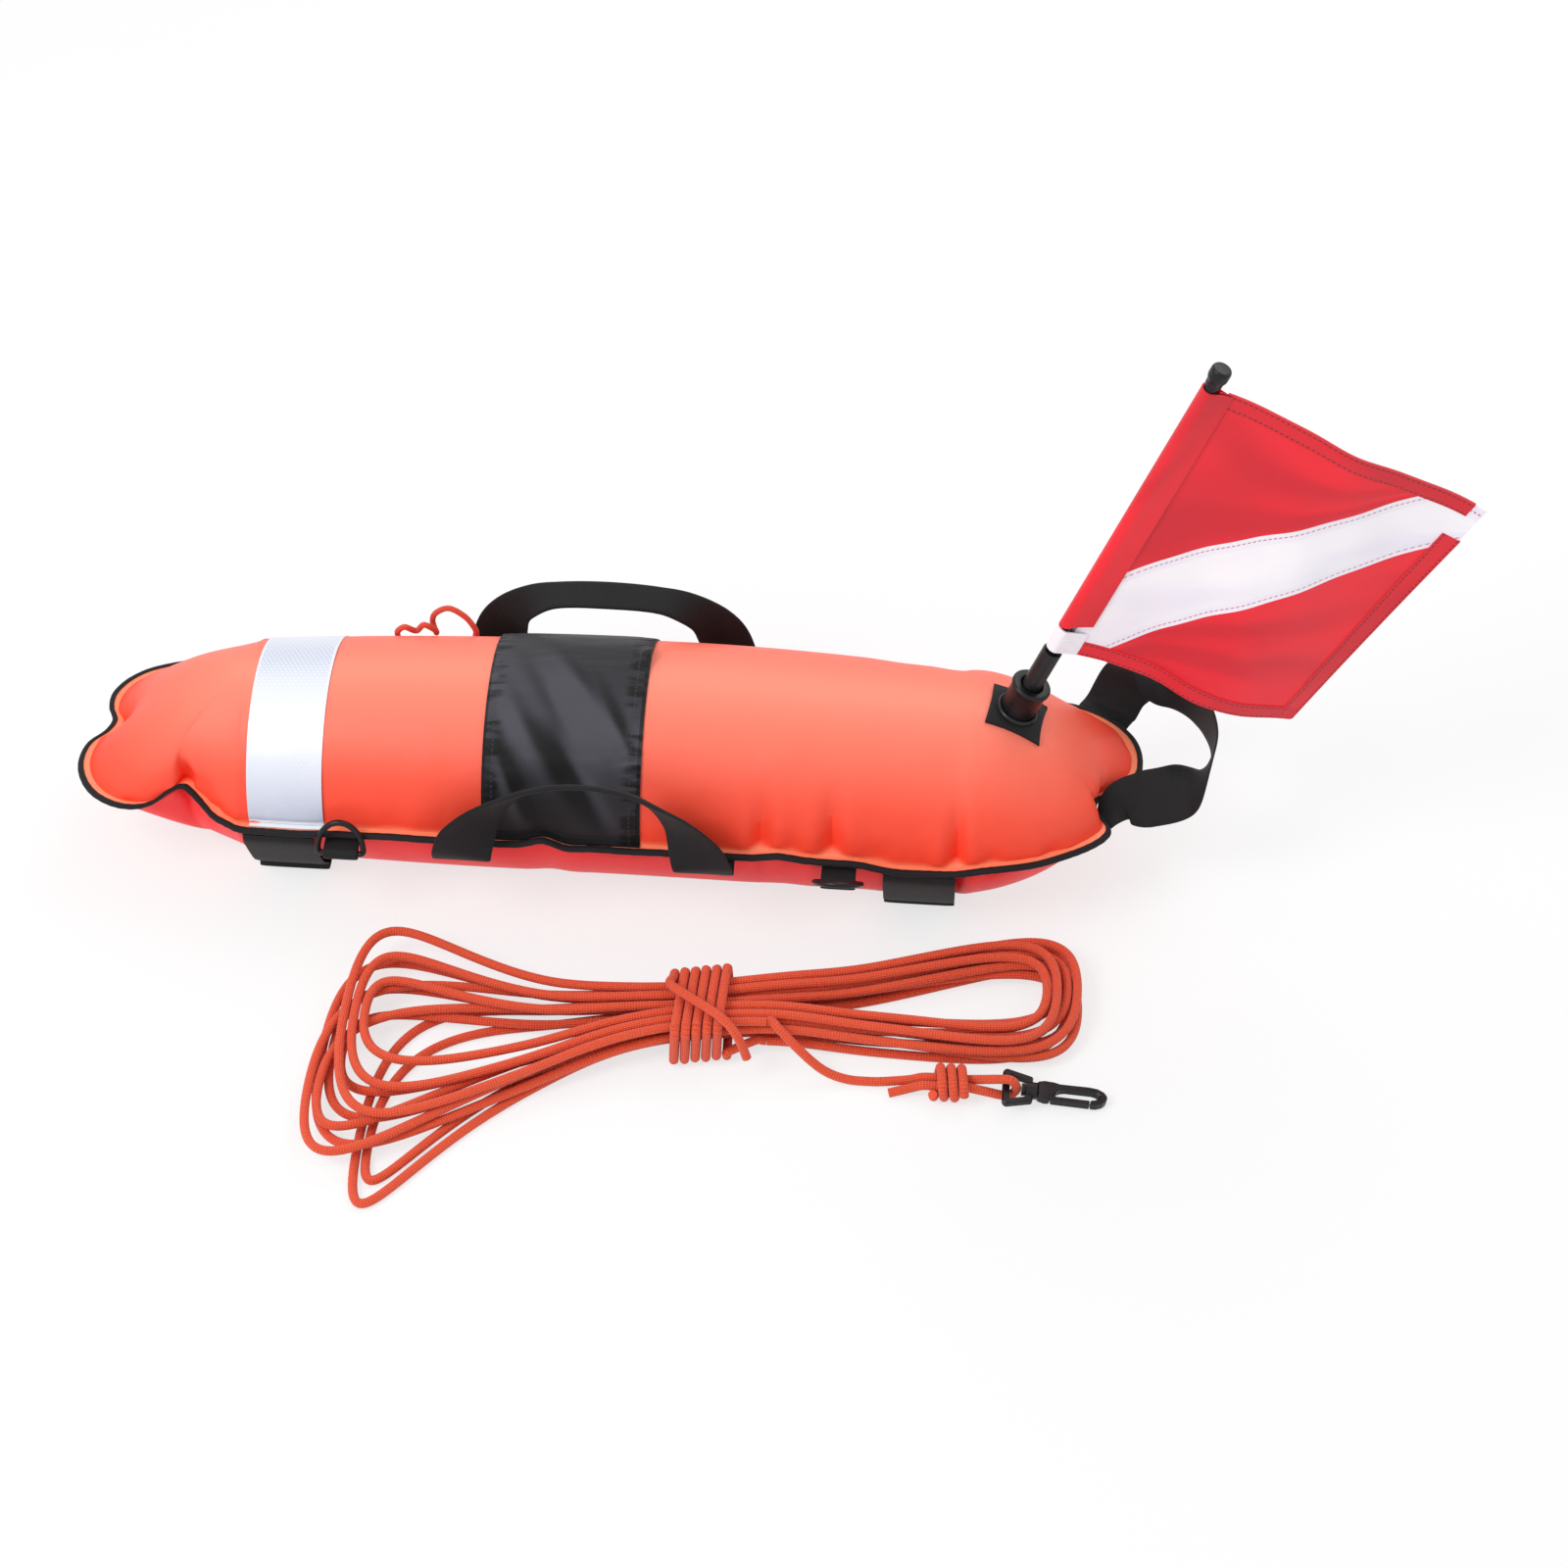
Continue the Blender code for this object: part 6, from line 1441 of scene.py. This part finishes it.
@dataclass
class Flag:
    """Flag on its pole: a sleeve, two red cloths and the white stripe between them, and folded hems."""

    pole: PoleSet
    hoist: float = 0.2330
    fly: float = 0.1960
    below_cap: float = 0.0030
    thick: float = 0.0006
    hem_thick: float = 0.0017
    hem: float = 0.0110
    wave: float = 0.0060
    flutter: float = 0.0011
    droop: float = 0.0150
    rise: float = 0.0060
    turn_deg: float = -4.0
    lower_reach: float = 0.79
    upper_reach: float = 0.930
    wall: float = 0.0017
    sleeve_depth: float = 0.0150
    white_end: float = 0.0220
    sleeve_run: float = 0.0006
    sleeve_slack: float = 0.0004
    slant: float = 0.0035
    rows: int = 97
    columns: int = 49
    hem_columns: int = 9
    hem_lap: float = 0.004
    sleeve_rows: int = 61
    sleeve_sides: int = 48
    low_start: float = 0.12
    low_end: float = 0.86
    high_start: float = 0.28
    high_end: float = 0.83

    @property
    def low(self) -> float:
        """Height along the pole of the flag's lower edge."""
        return self.pole.cap_low - self.below_cap - self.hoist

    def space(self) -> Matrix:
        """The pole's space turned to the way the flag flies."""
        return self.pole.place() @ Matrix.Rotation(math.radians(self.turn_deg), 4, "Z")

    def cloth_place(self, fly: Array, hoist: Array) -> Array:
        """Flag points in the pole's space: a wave that grows with the root of the fly, and a droop."""
        reach = self.fly * (self.lower_reach + (self.upper_reach - self.lower_reach) * hoist)
        rise = self.rise * (1 - hoist) - self.droop * hoist
        wave = np.sin(2 * math.pi * (1.15 * fly + 0.22 * hoist)) * np.sqrt(np.maximum(fly, 0))
        small = self.flutter * np.sin(19 * fly + 11 * hoist) * np.sin(math.pi * np.clip(fly, 0, 1))
        across = self.wave * wave * (1.5 - 0.5 * hoist) + small * np.sin(9 * hoist + 4 * fly)
        start = self.pole.rod + self.wall + GAP
        up = self.low + self.hoist * hoist + rise * np.maximum(fly, 0) ** 1.4
        return np.stack([start + reach * fly, across, up], -1)

    def piece(self, name: str, fly: Array, hoist: Array, thick: float, finish: Finish, edge: Array,
              *nodes: str) -> bpy.types.Object:
        """A cloth of the flag as a thin closed slab round its middle surface."""
        middle = self.cloth_place(fly, hoist)
        normal = surface_normals(middle)
        grids = [moved(middle + normal * step, self.space()) for step in (-thick / 2, thick / 2)]
        made = grid_object(name, slab(*grids), finish, cap=Cap.STRIP, marks={"edge": slab(edge, edge)})
        return seat(made, "flag", *nodes)

    def between(self, low: Array, high: Array, fly: Array, columns: int) -> tuple[Array, Array, Array]:
        """Grid of shares between two edges, with the distance in metres to the nearer one."""
        row = np.linspace(0, 1, columns)
        grid_fly, row = np.meshgrid(fly, row, indexing="ij")
        tall = (high - low)[:, None]
        return grid_fly, low[:, None] + tall * row, np.minimum(row, 1 - row) * tall * self.hoist

    def build(self) -> None:
        """Make the cloths between the stripe's slanting edges, the hems, and the sleeve."""
        whole = np.linspace(0, 1, self.rows)
        stripe_low = np.clip((whole - self.low_start) * self.low_end / (1 - self.low_start), 0, 1)
        stripe_high = np.clip(self.high_start + whole * (1 - self.high_start) / self.high_end, 0, 1)
        for piece, node, finish, low, high, kept in (
                ("stripe", "flag_stripe", WHITE, stripe_low, stripe_high, whole >= 0),
                ("upper", "flag_upper_cloth", RED, stripe_high, 0 * whole + 1, stripe_high < 0.999),
                ("lower", "flag_lower_cloth", RED, 0 * whole, stripe_low, whole > self.low_start)):
            fly, hoist, edge = self.between(low[kept], high[kept], whole[kept], self.columns)
            edge = edge if finish is WHITE else 0 * edge + 1
            self.piece(f"flag_{piece}_looks", fly, hoist, self.thick, finish, edge, node)
        depth, width, lead = self.hem / self.hoist, self.hem / (self.fly * 0.87), self.hem * 0.3
        for name, first, last, low, high in (("flag_hem_upper", 0.03, 0.955, 1 - depth, 1 + self.hem_lap),
                                             ("flag_hem_lower", 0.0, 1.0, -self.hem_lap, depth)):
            along = np.linspace(first, last, self.rows)
            fly, hoist, edge = self.between(low + 0 * along, high + 0 * along, along, self.hem_columns)
            self.piece(name, fly, hoist, self.hem_thick, RED, edge + lead)
        along, across = np.linspace(0.0, 0.865, self.rows), np.linspace(1 - width, 1.006, self.hem_columns)
        hoist, fly = np.meshgrid(along, across, indexing="ij")
        edge = np.minimum(fly - 1 + width, 1.006 - fly) * self.fly + lead
        self.piece("flag_hem_fly", fly, hoist, self.hem_thick, RED, edge)
        self.sleeves()
        mean, tall = (self.lower_reach + self.upper_reach) / 2 * self.fly, self.low_end * self.hoist
        length = math.hypot(mean, tall)
        stripe_area = float((stripe_high - stripe_low).mean()) * mean * self.hoist
        self.declare((self.high_end * mean, (1 - self.high_start) * self.hoist), 0.5)
        self.declare(((1 - self.low_start) * mean, tall), 0.5)
        self.declare((length, stripe_area / length), 1.0)

    def declare(self, flat: tuple[float, float], share: float) -> None:
        """Work out a cloth's area from the rectangle that its cut fits in and the share of it that it fills;
        the area is not kept.
        """
        area = flat[0] * flat[1] * share

    def sleeve(self, name: str, low: Array, high: float, finish: Finish, *nodes: str) -> bpy.types.Object:
        """Part of the sleeve: a drop-shaped tube round the pole that narrows to its seam in the flag.

        x = r cos t + depth max(0, cos t)^2, y = r sin t (1 - 0.75 max(0, cos t)^1.5); the low edge may slant.
        """
        t = self.turn
        ahead = np.maximum(np.cos(t), 0)
        share = np.linspace(0, 1, self.sleeve_rows)[:, None]
        height = low[None] + (high - low[None]) * share
        slack = self.sleeve_slack * np.sin(share * 41 + 3 * t) * np.sin(math.pi * share)
        walls = []
        for r, k, swell in ((self.pole.rod + self.wall, 1.0, 60 * slack),
                            (self.pole.rod + self.sleeve_run, 0.9, 0 * slack)):
            x = r * np.cos(t) + (self.sleeve_depth - r) * ahead**2 * k
            y = r * np.sin(t) * (1 - 0.75 * ahead**1.5)
            walls.append(np.stack([x + 0 * share, y * (1 + swell), height], -1))
        points = moved(np.concatenate([walls[0], walls[1][::-1]]), self.space())
        made = grid_object(name, points, finish, True, marks={"edge": 0 * points[..., 0] + 1})
        return seat(made, "flag", *nodes)

    @property
    def turn(self) -> Array:
        """Angles round the sleeve."""
        return 2 * math.pi * np.arange(self.sleeve_sides) / self.sleeve_sides

    def sleeves(self) -> None:
        """Red sleeve over the white one, whose end stands out below a slanting cut."""
        slant = self.low + self.white_end + self.slant * np.cos(self.turn)
        self.sleeve("flag_sleeve_looks", slant + GAP, self.low + self.hoist, RED, "flag_sleeve")
        self.sleeve("flag_sleeve_end_looks", 0 * slant + self.low - 0.001, float(slant.min()), WHITE,
                    "flag_sleeve_end")


@dataclass
class Valve:
    """Mouth valve on the far side of the lower sheet: welded patch, neck and push-on cap."""

    x: float = -0.0075
    turn_deg: float = -24.0
    rim: float = 0.0160
    thick: float = 0.0016
    neck: float = 0.0085
    neck_height: float = 0.0075
    bore: float = 0.0050
    cap_radius: float = 0.0115
    cap_height: float = 0.0090
    cap_wall: float = 0.0016

    def build(self) -> None:
        """Turned pieces about the axis that stands square to the sheet."""
        radius, turn = float(FORM.radius(self.x)), math.radians(self.turn_deg)
        spot = Vector((self.x, radius * math.cos(turn), radius - FORM.flat + radius * math.sin(turn)))
        place = Matrix.Translation(spot) @ Matrix.Rotation(turn - math.pi / 2, 4, "X")
        rim, thick, stem, bore, outer = self.rim, self.thick, self.neck, self.bore, self.cap_radius
        base = thick + GAP
        end = base + self.neck_height
        roof, low, inner = end + GAP, base + GAP, stem + GAP
        top = max(low + self.cap_height, roof + self.cap_wall)
        patch = [(0, GAP), (rim, GAP), (rim, thick / 2), (rim - SHEET, thick), (0, thick)]
        neck = [(0, base), (stem, base), (stem, end), (bore, end), (bore, base + SHEET), (0, base + SHEET)]
        cap = [(0, roof), (inner, roof), (inner, low), (outer - SHEET, low), (outer, low + SHEET),
               (outer, top - SHEET), (outer - SHEET, top), (0, top)]
        make_turned("valve_patch", "float", patch, place, SKIN_LOWER, 0.0004)
        make_turned("valve_neck", "float", neck, place, PLASTIC, 0.0005)
        make_turned("valve_cap", "valve_cap", cap, place, PLASTIC, 0.0007)


# Rope, lanyard and hook

@dataclass
class TowRope:
    """The tow rope: hank, turns round its waist with the free end, lead to the hook and the knot on it."""

    diameter: float = 0.0060
    gap: float = 0.0005
    loops: int = 10
    layers: int = 4
    points: int = 24
    fine_points: int = 240
    slip: float = 0.0002
    waist: tuple = (0.0740, -0.1680)
    half_length: float = 0.2220
    start_turn: float = 0.030
    tilt: float = 0.0450
    bow: float = 0.0150
    fans: tuple = (6.0, 2.8)
    openings: tuple = (0.040, 0.036)
    squareness: float = 0.8
    lift: float = 0.0073
    lift_reach: float = 0.35
    bulge: float = 0.0028
    spreads: tuple = ((-0.052, 0.018, -0.016, 0.044), (0.018, -0.003, 0.010, 0.002))
    reaches: tuple = ((0.030, 0.0, -0.006, 0.012), (0.0, 0.008, 0.004, -0.006))
    climb: float = 0.055
    off_share: float = 0.25
    wraps: int = 6
    corner_points: int = 4
    knot: tuple = (0.2270, -0.2050)
    knot_turns: int = 3
    approach: float = 0.0140
    hook_x: float = 0.2730
    hook_side: float = 0.0012
    eye_bar: float = 0.0046
    crossing: float = 0.0012
    tail: tuple = (
        (0.0552, -0.1610, 0.0405), (0.0570, -0.1665, 0.0440), (0.0650, -0.1730, 0.0447),
        (0.0760, -0.1805, 0.0447), (0.0870, -0.1880, 0.0447), (0.0960, -0.1945, 0.0420),
        (0.1030, -0.1995, 0.0330), (0.1080, -0.2030, 0.0200),
    )
    clear: float = 0.0003
    lead_in: tuple = (-0.0160, -0.0060, 0.0005)
    lead: tuple = (
        (0.1280, -0.1860, 0.0290), (0.1430, -0.1955, 0.0190), (0.1570, -0.2005, 0.0090),
        (0.1720, -0.2025, 0.0040), (0.1900, -0.2025, 0.0033),
    )

    @property
    def step(self) -> float:
        """Distance between neighbouring strands."""
        return self.diameter + self.gap

    @property
    def lie(self) -> float:
        """Height of a strand that lies on the floor."""
        return self.diameter / 2 + GAP

    @property
    def wrap_radius(self) -> float:
        """Distance of a turn from the strands that it binds."""
        return self.step + self.clear

    @property
    def per_layer(self) -> float:
        """Turns of the hank in each layer."""
        return self.loops / self.layers

    def centre(self, along: Array | float) -> Array | float:
        """Middle line of the hank in plan."""
        return self.waist[1] + self.tilt * along - self.bow * along**2

    def hank(self, count: int) -> Array:
        """Centre line of the hank.

        The turns spiral in and out and climb a layer where the spiral reverses; both ends fan out from
        the waist, which is lifted over the turns that pass under it.
        """
        turn = np.linspace(self.start_turn, self.loops + self.start_turn, count)
        phase = np.mod(turn, 2 * self.per_layer)
        inward = np.where(phase < self.per_layer, phase, 2 * self.per_layer - phase)
        off = self.step * (self.per_layer + self.off_share - inward)
        climbs = self.per_layer * np.arange(1, self.layers)
        layer = ease((turn[:, None] - climbs) / (2 * self.climb) + 0.5).sum(axis=1)
        along, side = np.sin(2 * math.pi * turn), -np.cos(2 * math.pi * turn)
        side *= (1 + self.squareness) / (np.abs(side) + self.squareness)
        left = along < 0
        fan, opening = np.where(left, *self.fans), np.where(left, *self.openings)
        spread = off * (1 + (fan - 1) * along**2) + opening * along**2
        rows = [np.interp(layer, np.arange(self.layers), row) for row in (*self.spreads, *self.reaches)]
        bend = np.abs(along) ** 3
        x = self.waist[0] + along * (self.half_length + off) + np.where(left, *rows[2:]) * bend
        y = self.centre(along) + np.where(left, *rows[:2]) * bend + side * spread
        height = self.lie + layer * self.step + self.lift * hump(along / self.lift_reach, 4)
        return np.stack([x, y, height], axis=1)

    def turns(self, first: float, pitch: float, count: int, box: tuple, tilted: bool) -> list:
        """Turns round a bundle with a box section: quarter circles at its corners, evenly spaced along it."""
        near, far, low, high = box
        section, reach = [], self.wrap_radius
        for out, up, start in ((near, low, 180), (far, low, 270), (far, high, 0), (near, high, 90)):
            for k in range(self.corner_points):
                angle = math.radians(start + 90 * k / (self.corner_points - 1))
                section.append((out + reach * math.cos(angle), up + reach * math.sin(angle)))
        section = [p for p, q in zip(section, section[1:] + section[:1]) if math.dist(p, q) > GAP]
        sides = [math.dist(p, q) for p, q in zip(section, section[1:] + section[:1])]
        points, run = [], 0.0
        for number in range(count * len(section) + 1):
            out, up = section[number % len(section)]
            x = first + pitch * run / sum(sides)
            middle = self.centre((x - self.waist[0]) / self.half_length) if tilted else self.knot[1]
            points.append((x, middle + out, up))
            run += sides[number % len(section)]
        return points

    def waist_turns(self, hank: Array) -> Array:
        """From the hank's lower end round its waist, turn beside turn, and out over them as the free end."""
        near = -self.step * (self.per_layer + self.off_share) - self.bulge
        far = self.step * (self.per_layer - self.off_share) + self.bulge
        high = self.lie + self.lift + self.step * (self.layers - 1) + self.gap
        pitch = self.step + self.slip
        turns = self.turns(self.waist[0] + pitch * self.wraps / 2, -pitch, self.wraps,
                           (near, far, self.lie + self.wrap_radius, high), True)
        turns = turns[:len(turns) - self.corner_points - 1]
        way = unit(hank[0] - hank[1])
        start = hank[0] + way * GAP
        route = [start + way * self.diameter / 2, start + way * self.diameter, start + self.lead_in, turns[0]]
        lead_in = np.concatenate([[start], through_points(route, 7)[:-1]])
        tail = route_steps([turns[-1], *self.tail], self.diameter, 1.6)[1:]
        return np.concatenate([lead_in, turns, tail])

    def lead_line(self, hank: Array) -> Array:
        """From the hank's upper end down to the floor, through the knot, round the hook's eye and back."""
        way = unit(hank[-1] - hank[-2])
        start = hank[-1] + way * GAP
        across, raised = self.wrap_radius / 2, self.lie + self.wrap_radius
        radius = self.eye_bar / math.sqrt(2) + self.diameter / 2 + self.gap
        knot_x, knot_y = self.knot
        knot_end = knot_x + (self.step + self.slip) * self.knot_turns
        there = [(knot_x - self.approach, knot_y + across, raised - across)]
        there += [(x, knot_y + across, raised)
                  for x in (knot_x - self.diameter, knot_x, knot_end, knot_end + self.diameter / 2)]
        bend = [math.radians(90 - 30 * k) for k in range(7)]
        side = [knot_y + self.crossing * (1 - k / 3) - self.hook_side for k in range(7)]
        round_eye = [(self.hook_x + radius * math.cos(a), y, self.lie + radius + radius * math.sin(a))
                     for a, y in zip(bend, side)]
        back = [(x, y - 2 * (y - knot_y), z) for x, y, z in there[::-1]]
        back += [(knot_x - 2 * self.approach, knot_y - self.diameter, self.lie)]
        route = [start + way * self.diameter / 2, *self.lead, *there, *round_eye, *back]
        points = np.concatenate([[start], route_steps(route, self.diameter, 1.2)])
        points[:, 2] = np.maximum(points[:, 2], self.lie)
        return points

    def build(self) -> None:
        """Make the four stretches of the rope."""
        fine = self.loops * self.fine_points + 1
        coarse = self.hank(self.loops * self.points + 1)
        raised, across = self.lie + self.wrap_radius, self.wrap_radius / 2
        box = -across, across, raised, raised
        knot = self.turns(self.knot[0], self.step + self.slip, self.knot_turns, box, False)
        for name, path, count, sides, far_end, lay in (
                ("rope_hank", self.hank(fine), fine, 12, "object", "coiled"),
                ("rope_waist_turns", self.waist_turns(coarse), 700, 14, "bare", "coiled"),
                ("rope_lead", self.lead_line(coarse), 260, 14, "object", "loose"),
                ("rope_knot", knot, 240, 14, "object", "coiled")):
            make_cord(name, through_points(path, count), ROPE_BRAID, sides)


@dataclass
class Lanyard:
    """The thin cord along the far side, tied at both ends to the ring tabs there."""

    mounts: tuple[RingMount, RingMount]
    diameter: float = 0.0040
    knot: float = 0.0098
    knot_sides: int = 32
    points: int = 900
    over: tuple = (
        (-0.1530, 6, 0.0150), (-0.1510, 20, 0.0070), (-0.1485, 34, 0.0042), (-0.1460, 42, 0.0046),
        (-0.1425, 46, 0.0062), (-0.1385, 44, 0.0055), (-0.1360, 40, 0.0036), (-0.1330, 42, 0.0048),
        (-0.1285, 47, 0.0075), (-0.1235, 45, 0.0065), (-0.1215, 38, 0.0036), (-0.1235, 31, 0.0060),
        (-0.1250, 36, 0.0115), (-0.1210, 43, 0.0160), (-0.1130, 46, 0.0185), (-0.1040, 45, 0.0150),
        (-0.0975, 41, 0.0080), (-0.0950, 34, 0.0040), (-0.0990, 25, 0.0030), (-0.1070, 16, 0.0036),
        (-0.1125, 8, 0.0090), (-0.1140, -2, 0.0130), (-0.1130, -14, 0.0150),
    )
    down: tuple = (
        (-0.1080, 0.0280, 0.0350), (-0.0950, 0.0360, 0.0100), (-0.0700, 0.0390, 0.0), (-0.0300, 0.0380, 0.0),
        (0.0200, 0.0350, 0.0), (0.0600, 0.0310, 0.0), (0.0880, 0.0265, 0.0060), (0.1040, 0.0225, 0.0240),
        (0.1140, 0.0170, 0.0460), (0.1240, 0.0112, 0.0660), (0.1370, 0.0072, 0.0758),
    )
    knot_shares: tuple = ((0, -1), (0.80, -0.72), (1, -0.35), (0.80, 0), (1, 0.35), (0.80, 0.72), (0, 1))

    def route(self) -> list:
        """Over the float's far side, then along the floor behind it."""
        points = []
        for x, rise_deg, clear in self.over:
            radius, angle = float(FORM.radius(x)), math.radians(rise_deg)
            reach = radius + clear
            points.append((x, reach * math.cos(angle), radius - FORM.flat + reach * math.sin(angle)))
        points += [(x, float(FORM.radius(x)) + FORM.flange + clear, height) for x, clear, height in self.down]
        return points

    def build(self) -> None:
        """Make both knots and the cord between them."""
        ends, radius = [], self.knot / 2
        profile = [(radius * across, radius * up) for across, up in self.knot_shares]
        for mount, way in zip(self.mounts, (1, -1)):
            out, height, _ = mount.place()
            centre = Vector((mount.x, out, height + mount.outer + GAP + radius))
            place = Matrix.Translation(centre) @ Matrix.Rotation(math.pi / 2, 4, "Y")
            name = f"lanyard_knot_{mount.label.split('_')[1]}"
            make_turned(name, "float", profile, place, LANYARD_BRAID, 0.0012, sides=self.knot_sides)
            start = centre + Vector((way * (radius + GAP), 0, 0))
            ends.append([tuple(start), tuple(start + Vector((way * self.diameter, 0, 0)))])
        middle = route_steps([ends[0][1], *self.route(), ends[1][1]], self.diameter, 2.9)
        path = np.concatenate([[ends[0][0]], middle, [ends[1][0]]])
        lowest = np.array([-np.inf, -np.inf, self.diameter / 2 + GAP])
        path = np.maximum(through_points(np.maximum(path, lowest), self.points), lowest)
        make_cord("far_lanyard", path, LANYARD_BRAID, 12)


# Studio

@dataclass
class Studio:
    """Pale floor, soft lamps, pale surroundings and the photograph's camera."""

    azimuth_deg: float = 4.4
    elevation_deg: float = 47.0
    distance: float = 2.4
    per_pixel: float = 0.00065
    aimed_at: tuple = (0.0, 0.0, 0.077)
    aimed_pixel: tuple = (622, 771)
    picture: int = 1600
    sensor: float = 36.0
    lamps: tuple = (("key", (-1.2, -1.0, 1.9), 1.0, 24.0), ("back", (0.8, 1.3, 1.8), 1.3, 12.0))
    lamps_aim: tuple = (0, 0, 0.05)
    world_share: float = 0.70
    floor_share: float = 0.70
    floor_half: float = 4.0

    def camera(self) -> None:
        """Camera that sees the aimed place at its pixel, level with the horizon."""
        a, e = math.radians(self.azimuth_deg), math.radians(self.elevation_deg)
        right = np.array([math.cos(a), math.sin(a), 0.0])
        ahead = np.array([-math.sin(a) * math.cos(e), math.cos(a) * math.cos(e), -math.sin(e)])
        up = np.cross(right, ahead)
        off = (np.array(self.aimed_pixel) - self.picture / 2) * self.per_pixel
        target = np.array(self.aimed_at) - off[0] * right + off[1] * up
        data = bpy.data.cameras.new("camera")
        data.sensor_fit, data.sensor_width = "HORIZONTAL", self.sensor
        data.lens = self.sensor * self.distance / (self.per_pixel * self.picture)
        item = linked("camera", data)
        turn = Matrix((right, up, -ahead)).transposed().to_4x4()
        item.matrix_world = Matrix.Translation(target - self.distance * ahead) @ turn
        bpy.context.scene.camera = item

    def lamp(self, name: str, place: tuple, size: float, watts: float) -> None:
        """A square soft lamp that looks at the object."""
        data = bpy.data.lights.new(name, "AREA")
        data.shape, data.size, data.energy = "SQUARE", size, watts
        item = linked(name, data)
        item.location = place
        aim = Vector(self.lamps_aim) - Vector(place)
        item.rotation_euler = aim.to_track_quat("-Z", "Y").to_euler()

    def seen(self, board: Board) -> Term:
        """1 for what the camera sees directly, in gloss or through glass."""
        path = board.add("ShaderNodeLightPath", output="Is Camera Ray")
        total = path + path.out("Is Glossy Ray") + path.out("Is Transmission Ray")
        return total.math("MINIMUM", total, 1.0)

    def build(self) -> None:
        """Set up the world, the lamps, the floor and the camera."""
        scene = bpy.context.scene
        scene.view_settings.view_transform = "Standard"
        scene.world = scene.world or bpy.data.worlds.new("world")
        board = Board(scene.world)
        strength = self.world_share + (1 - self.world_share) * self.seen(board)
        light = board.add("ShaderNodeBackground", None, (1.0, 1.0, 1.0), strength)
        board.add("ShaderNodeOutputWorld", None, Surface=light)
        for lamp in self.lamps:
            self.lamp(*lamp)
        mesh = bpy.data.meshes.new("floor")
        square = (-1, -1), (1, -1), (1, 1), (-1, 1)
        corners = [(x * self.floor_half, y * self.floor_half, 0) for x, y in square]
        mesh.from_pydata(corners, [], [range(4)])
        floor = linked("floor", mesh)
        material = bpy.data.materials.new("floor_white")
        board = Board(material)
        matt = board.add("ShaderNodeBsdfDiffuse", None, (0.93, 0.93, 0.94))
        glow = board.add("ShaderNodeEmission", None, (1.0, 1.0, 1.0), 1.0)
        both = board.add("ShaderNodeMixShader", None, self.floor_share * self.seen(board), matt, glow)
        board.add("ShaderNodeOutputMaterial", None, Surface=both)
        mesh.materials.append(material)
        self.camera()


def dress_hook(frame: dict) -> None:
    """The hook's solids have their real shape, so they only get their finish."""
    for name in ("hook_eye", "hook_body", "hook_gate"):
        item = frame["nodes"][name]
        item.data.materials.clear()
        item.data.materials.append(PLASTIC.material())


def plain(box: Sequence) -> list:
    """A box as plain lists of numbers."""
    return [[float(n) for n in corner] for corner in box]


def main() -> None:
    """Build every sub-assembly in order."""
    logging.basicConfig(level=logging.INFO, format="%(message)s")
    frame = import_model()
    Studio().build()
    TowRope().build()
    mounts = [
        RingMount("near_aft", -0.1670, Side.NEAR, 105.0), RingMount("near_fore", 0.1580, Side.NEAR, 46.0),
        RingMount("far_aft", -0.1670, Side.FAR, -78.0), RingMount("far_fore", 0.1580, Side.FAR, -78.0),
    ]
    Lanyard((mounts[2], mounts[3])).build()
    InflatedFloat().build()
    SideHandle(Side.NEAR, 0.0620, (0.0, -0.68, -0.73)).build("near_handle")
    far_narrow = (0.0, 0.0, 0.0, 0.28, 0.80, 1.0, 1.0)
    SideHandle(Side.FAR, 0.0740, (0.0, -0.95, -0.31), far_narrow).build("far_handle")
    NoseHandle().build()
    for mount in mounts:
        mount.build()
    BellyStrap(-0.2100).build("belly_strap_aft")
    BellyStrap(0.2100).build("belly_strap_fore")
    pole = PoleSet()
    pole.build()
    Flag(pole).build()
    Valve().build()
    dress_hook(frame)


if __name__ == "__main__":
    main()
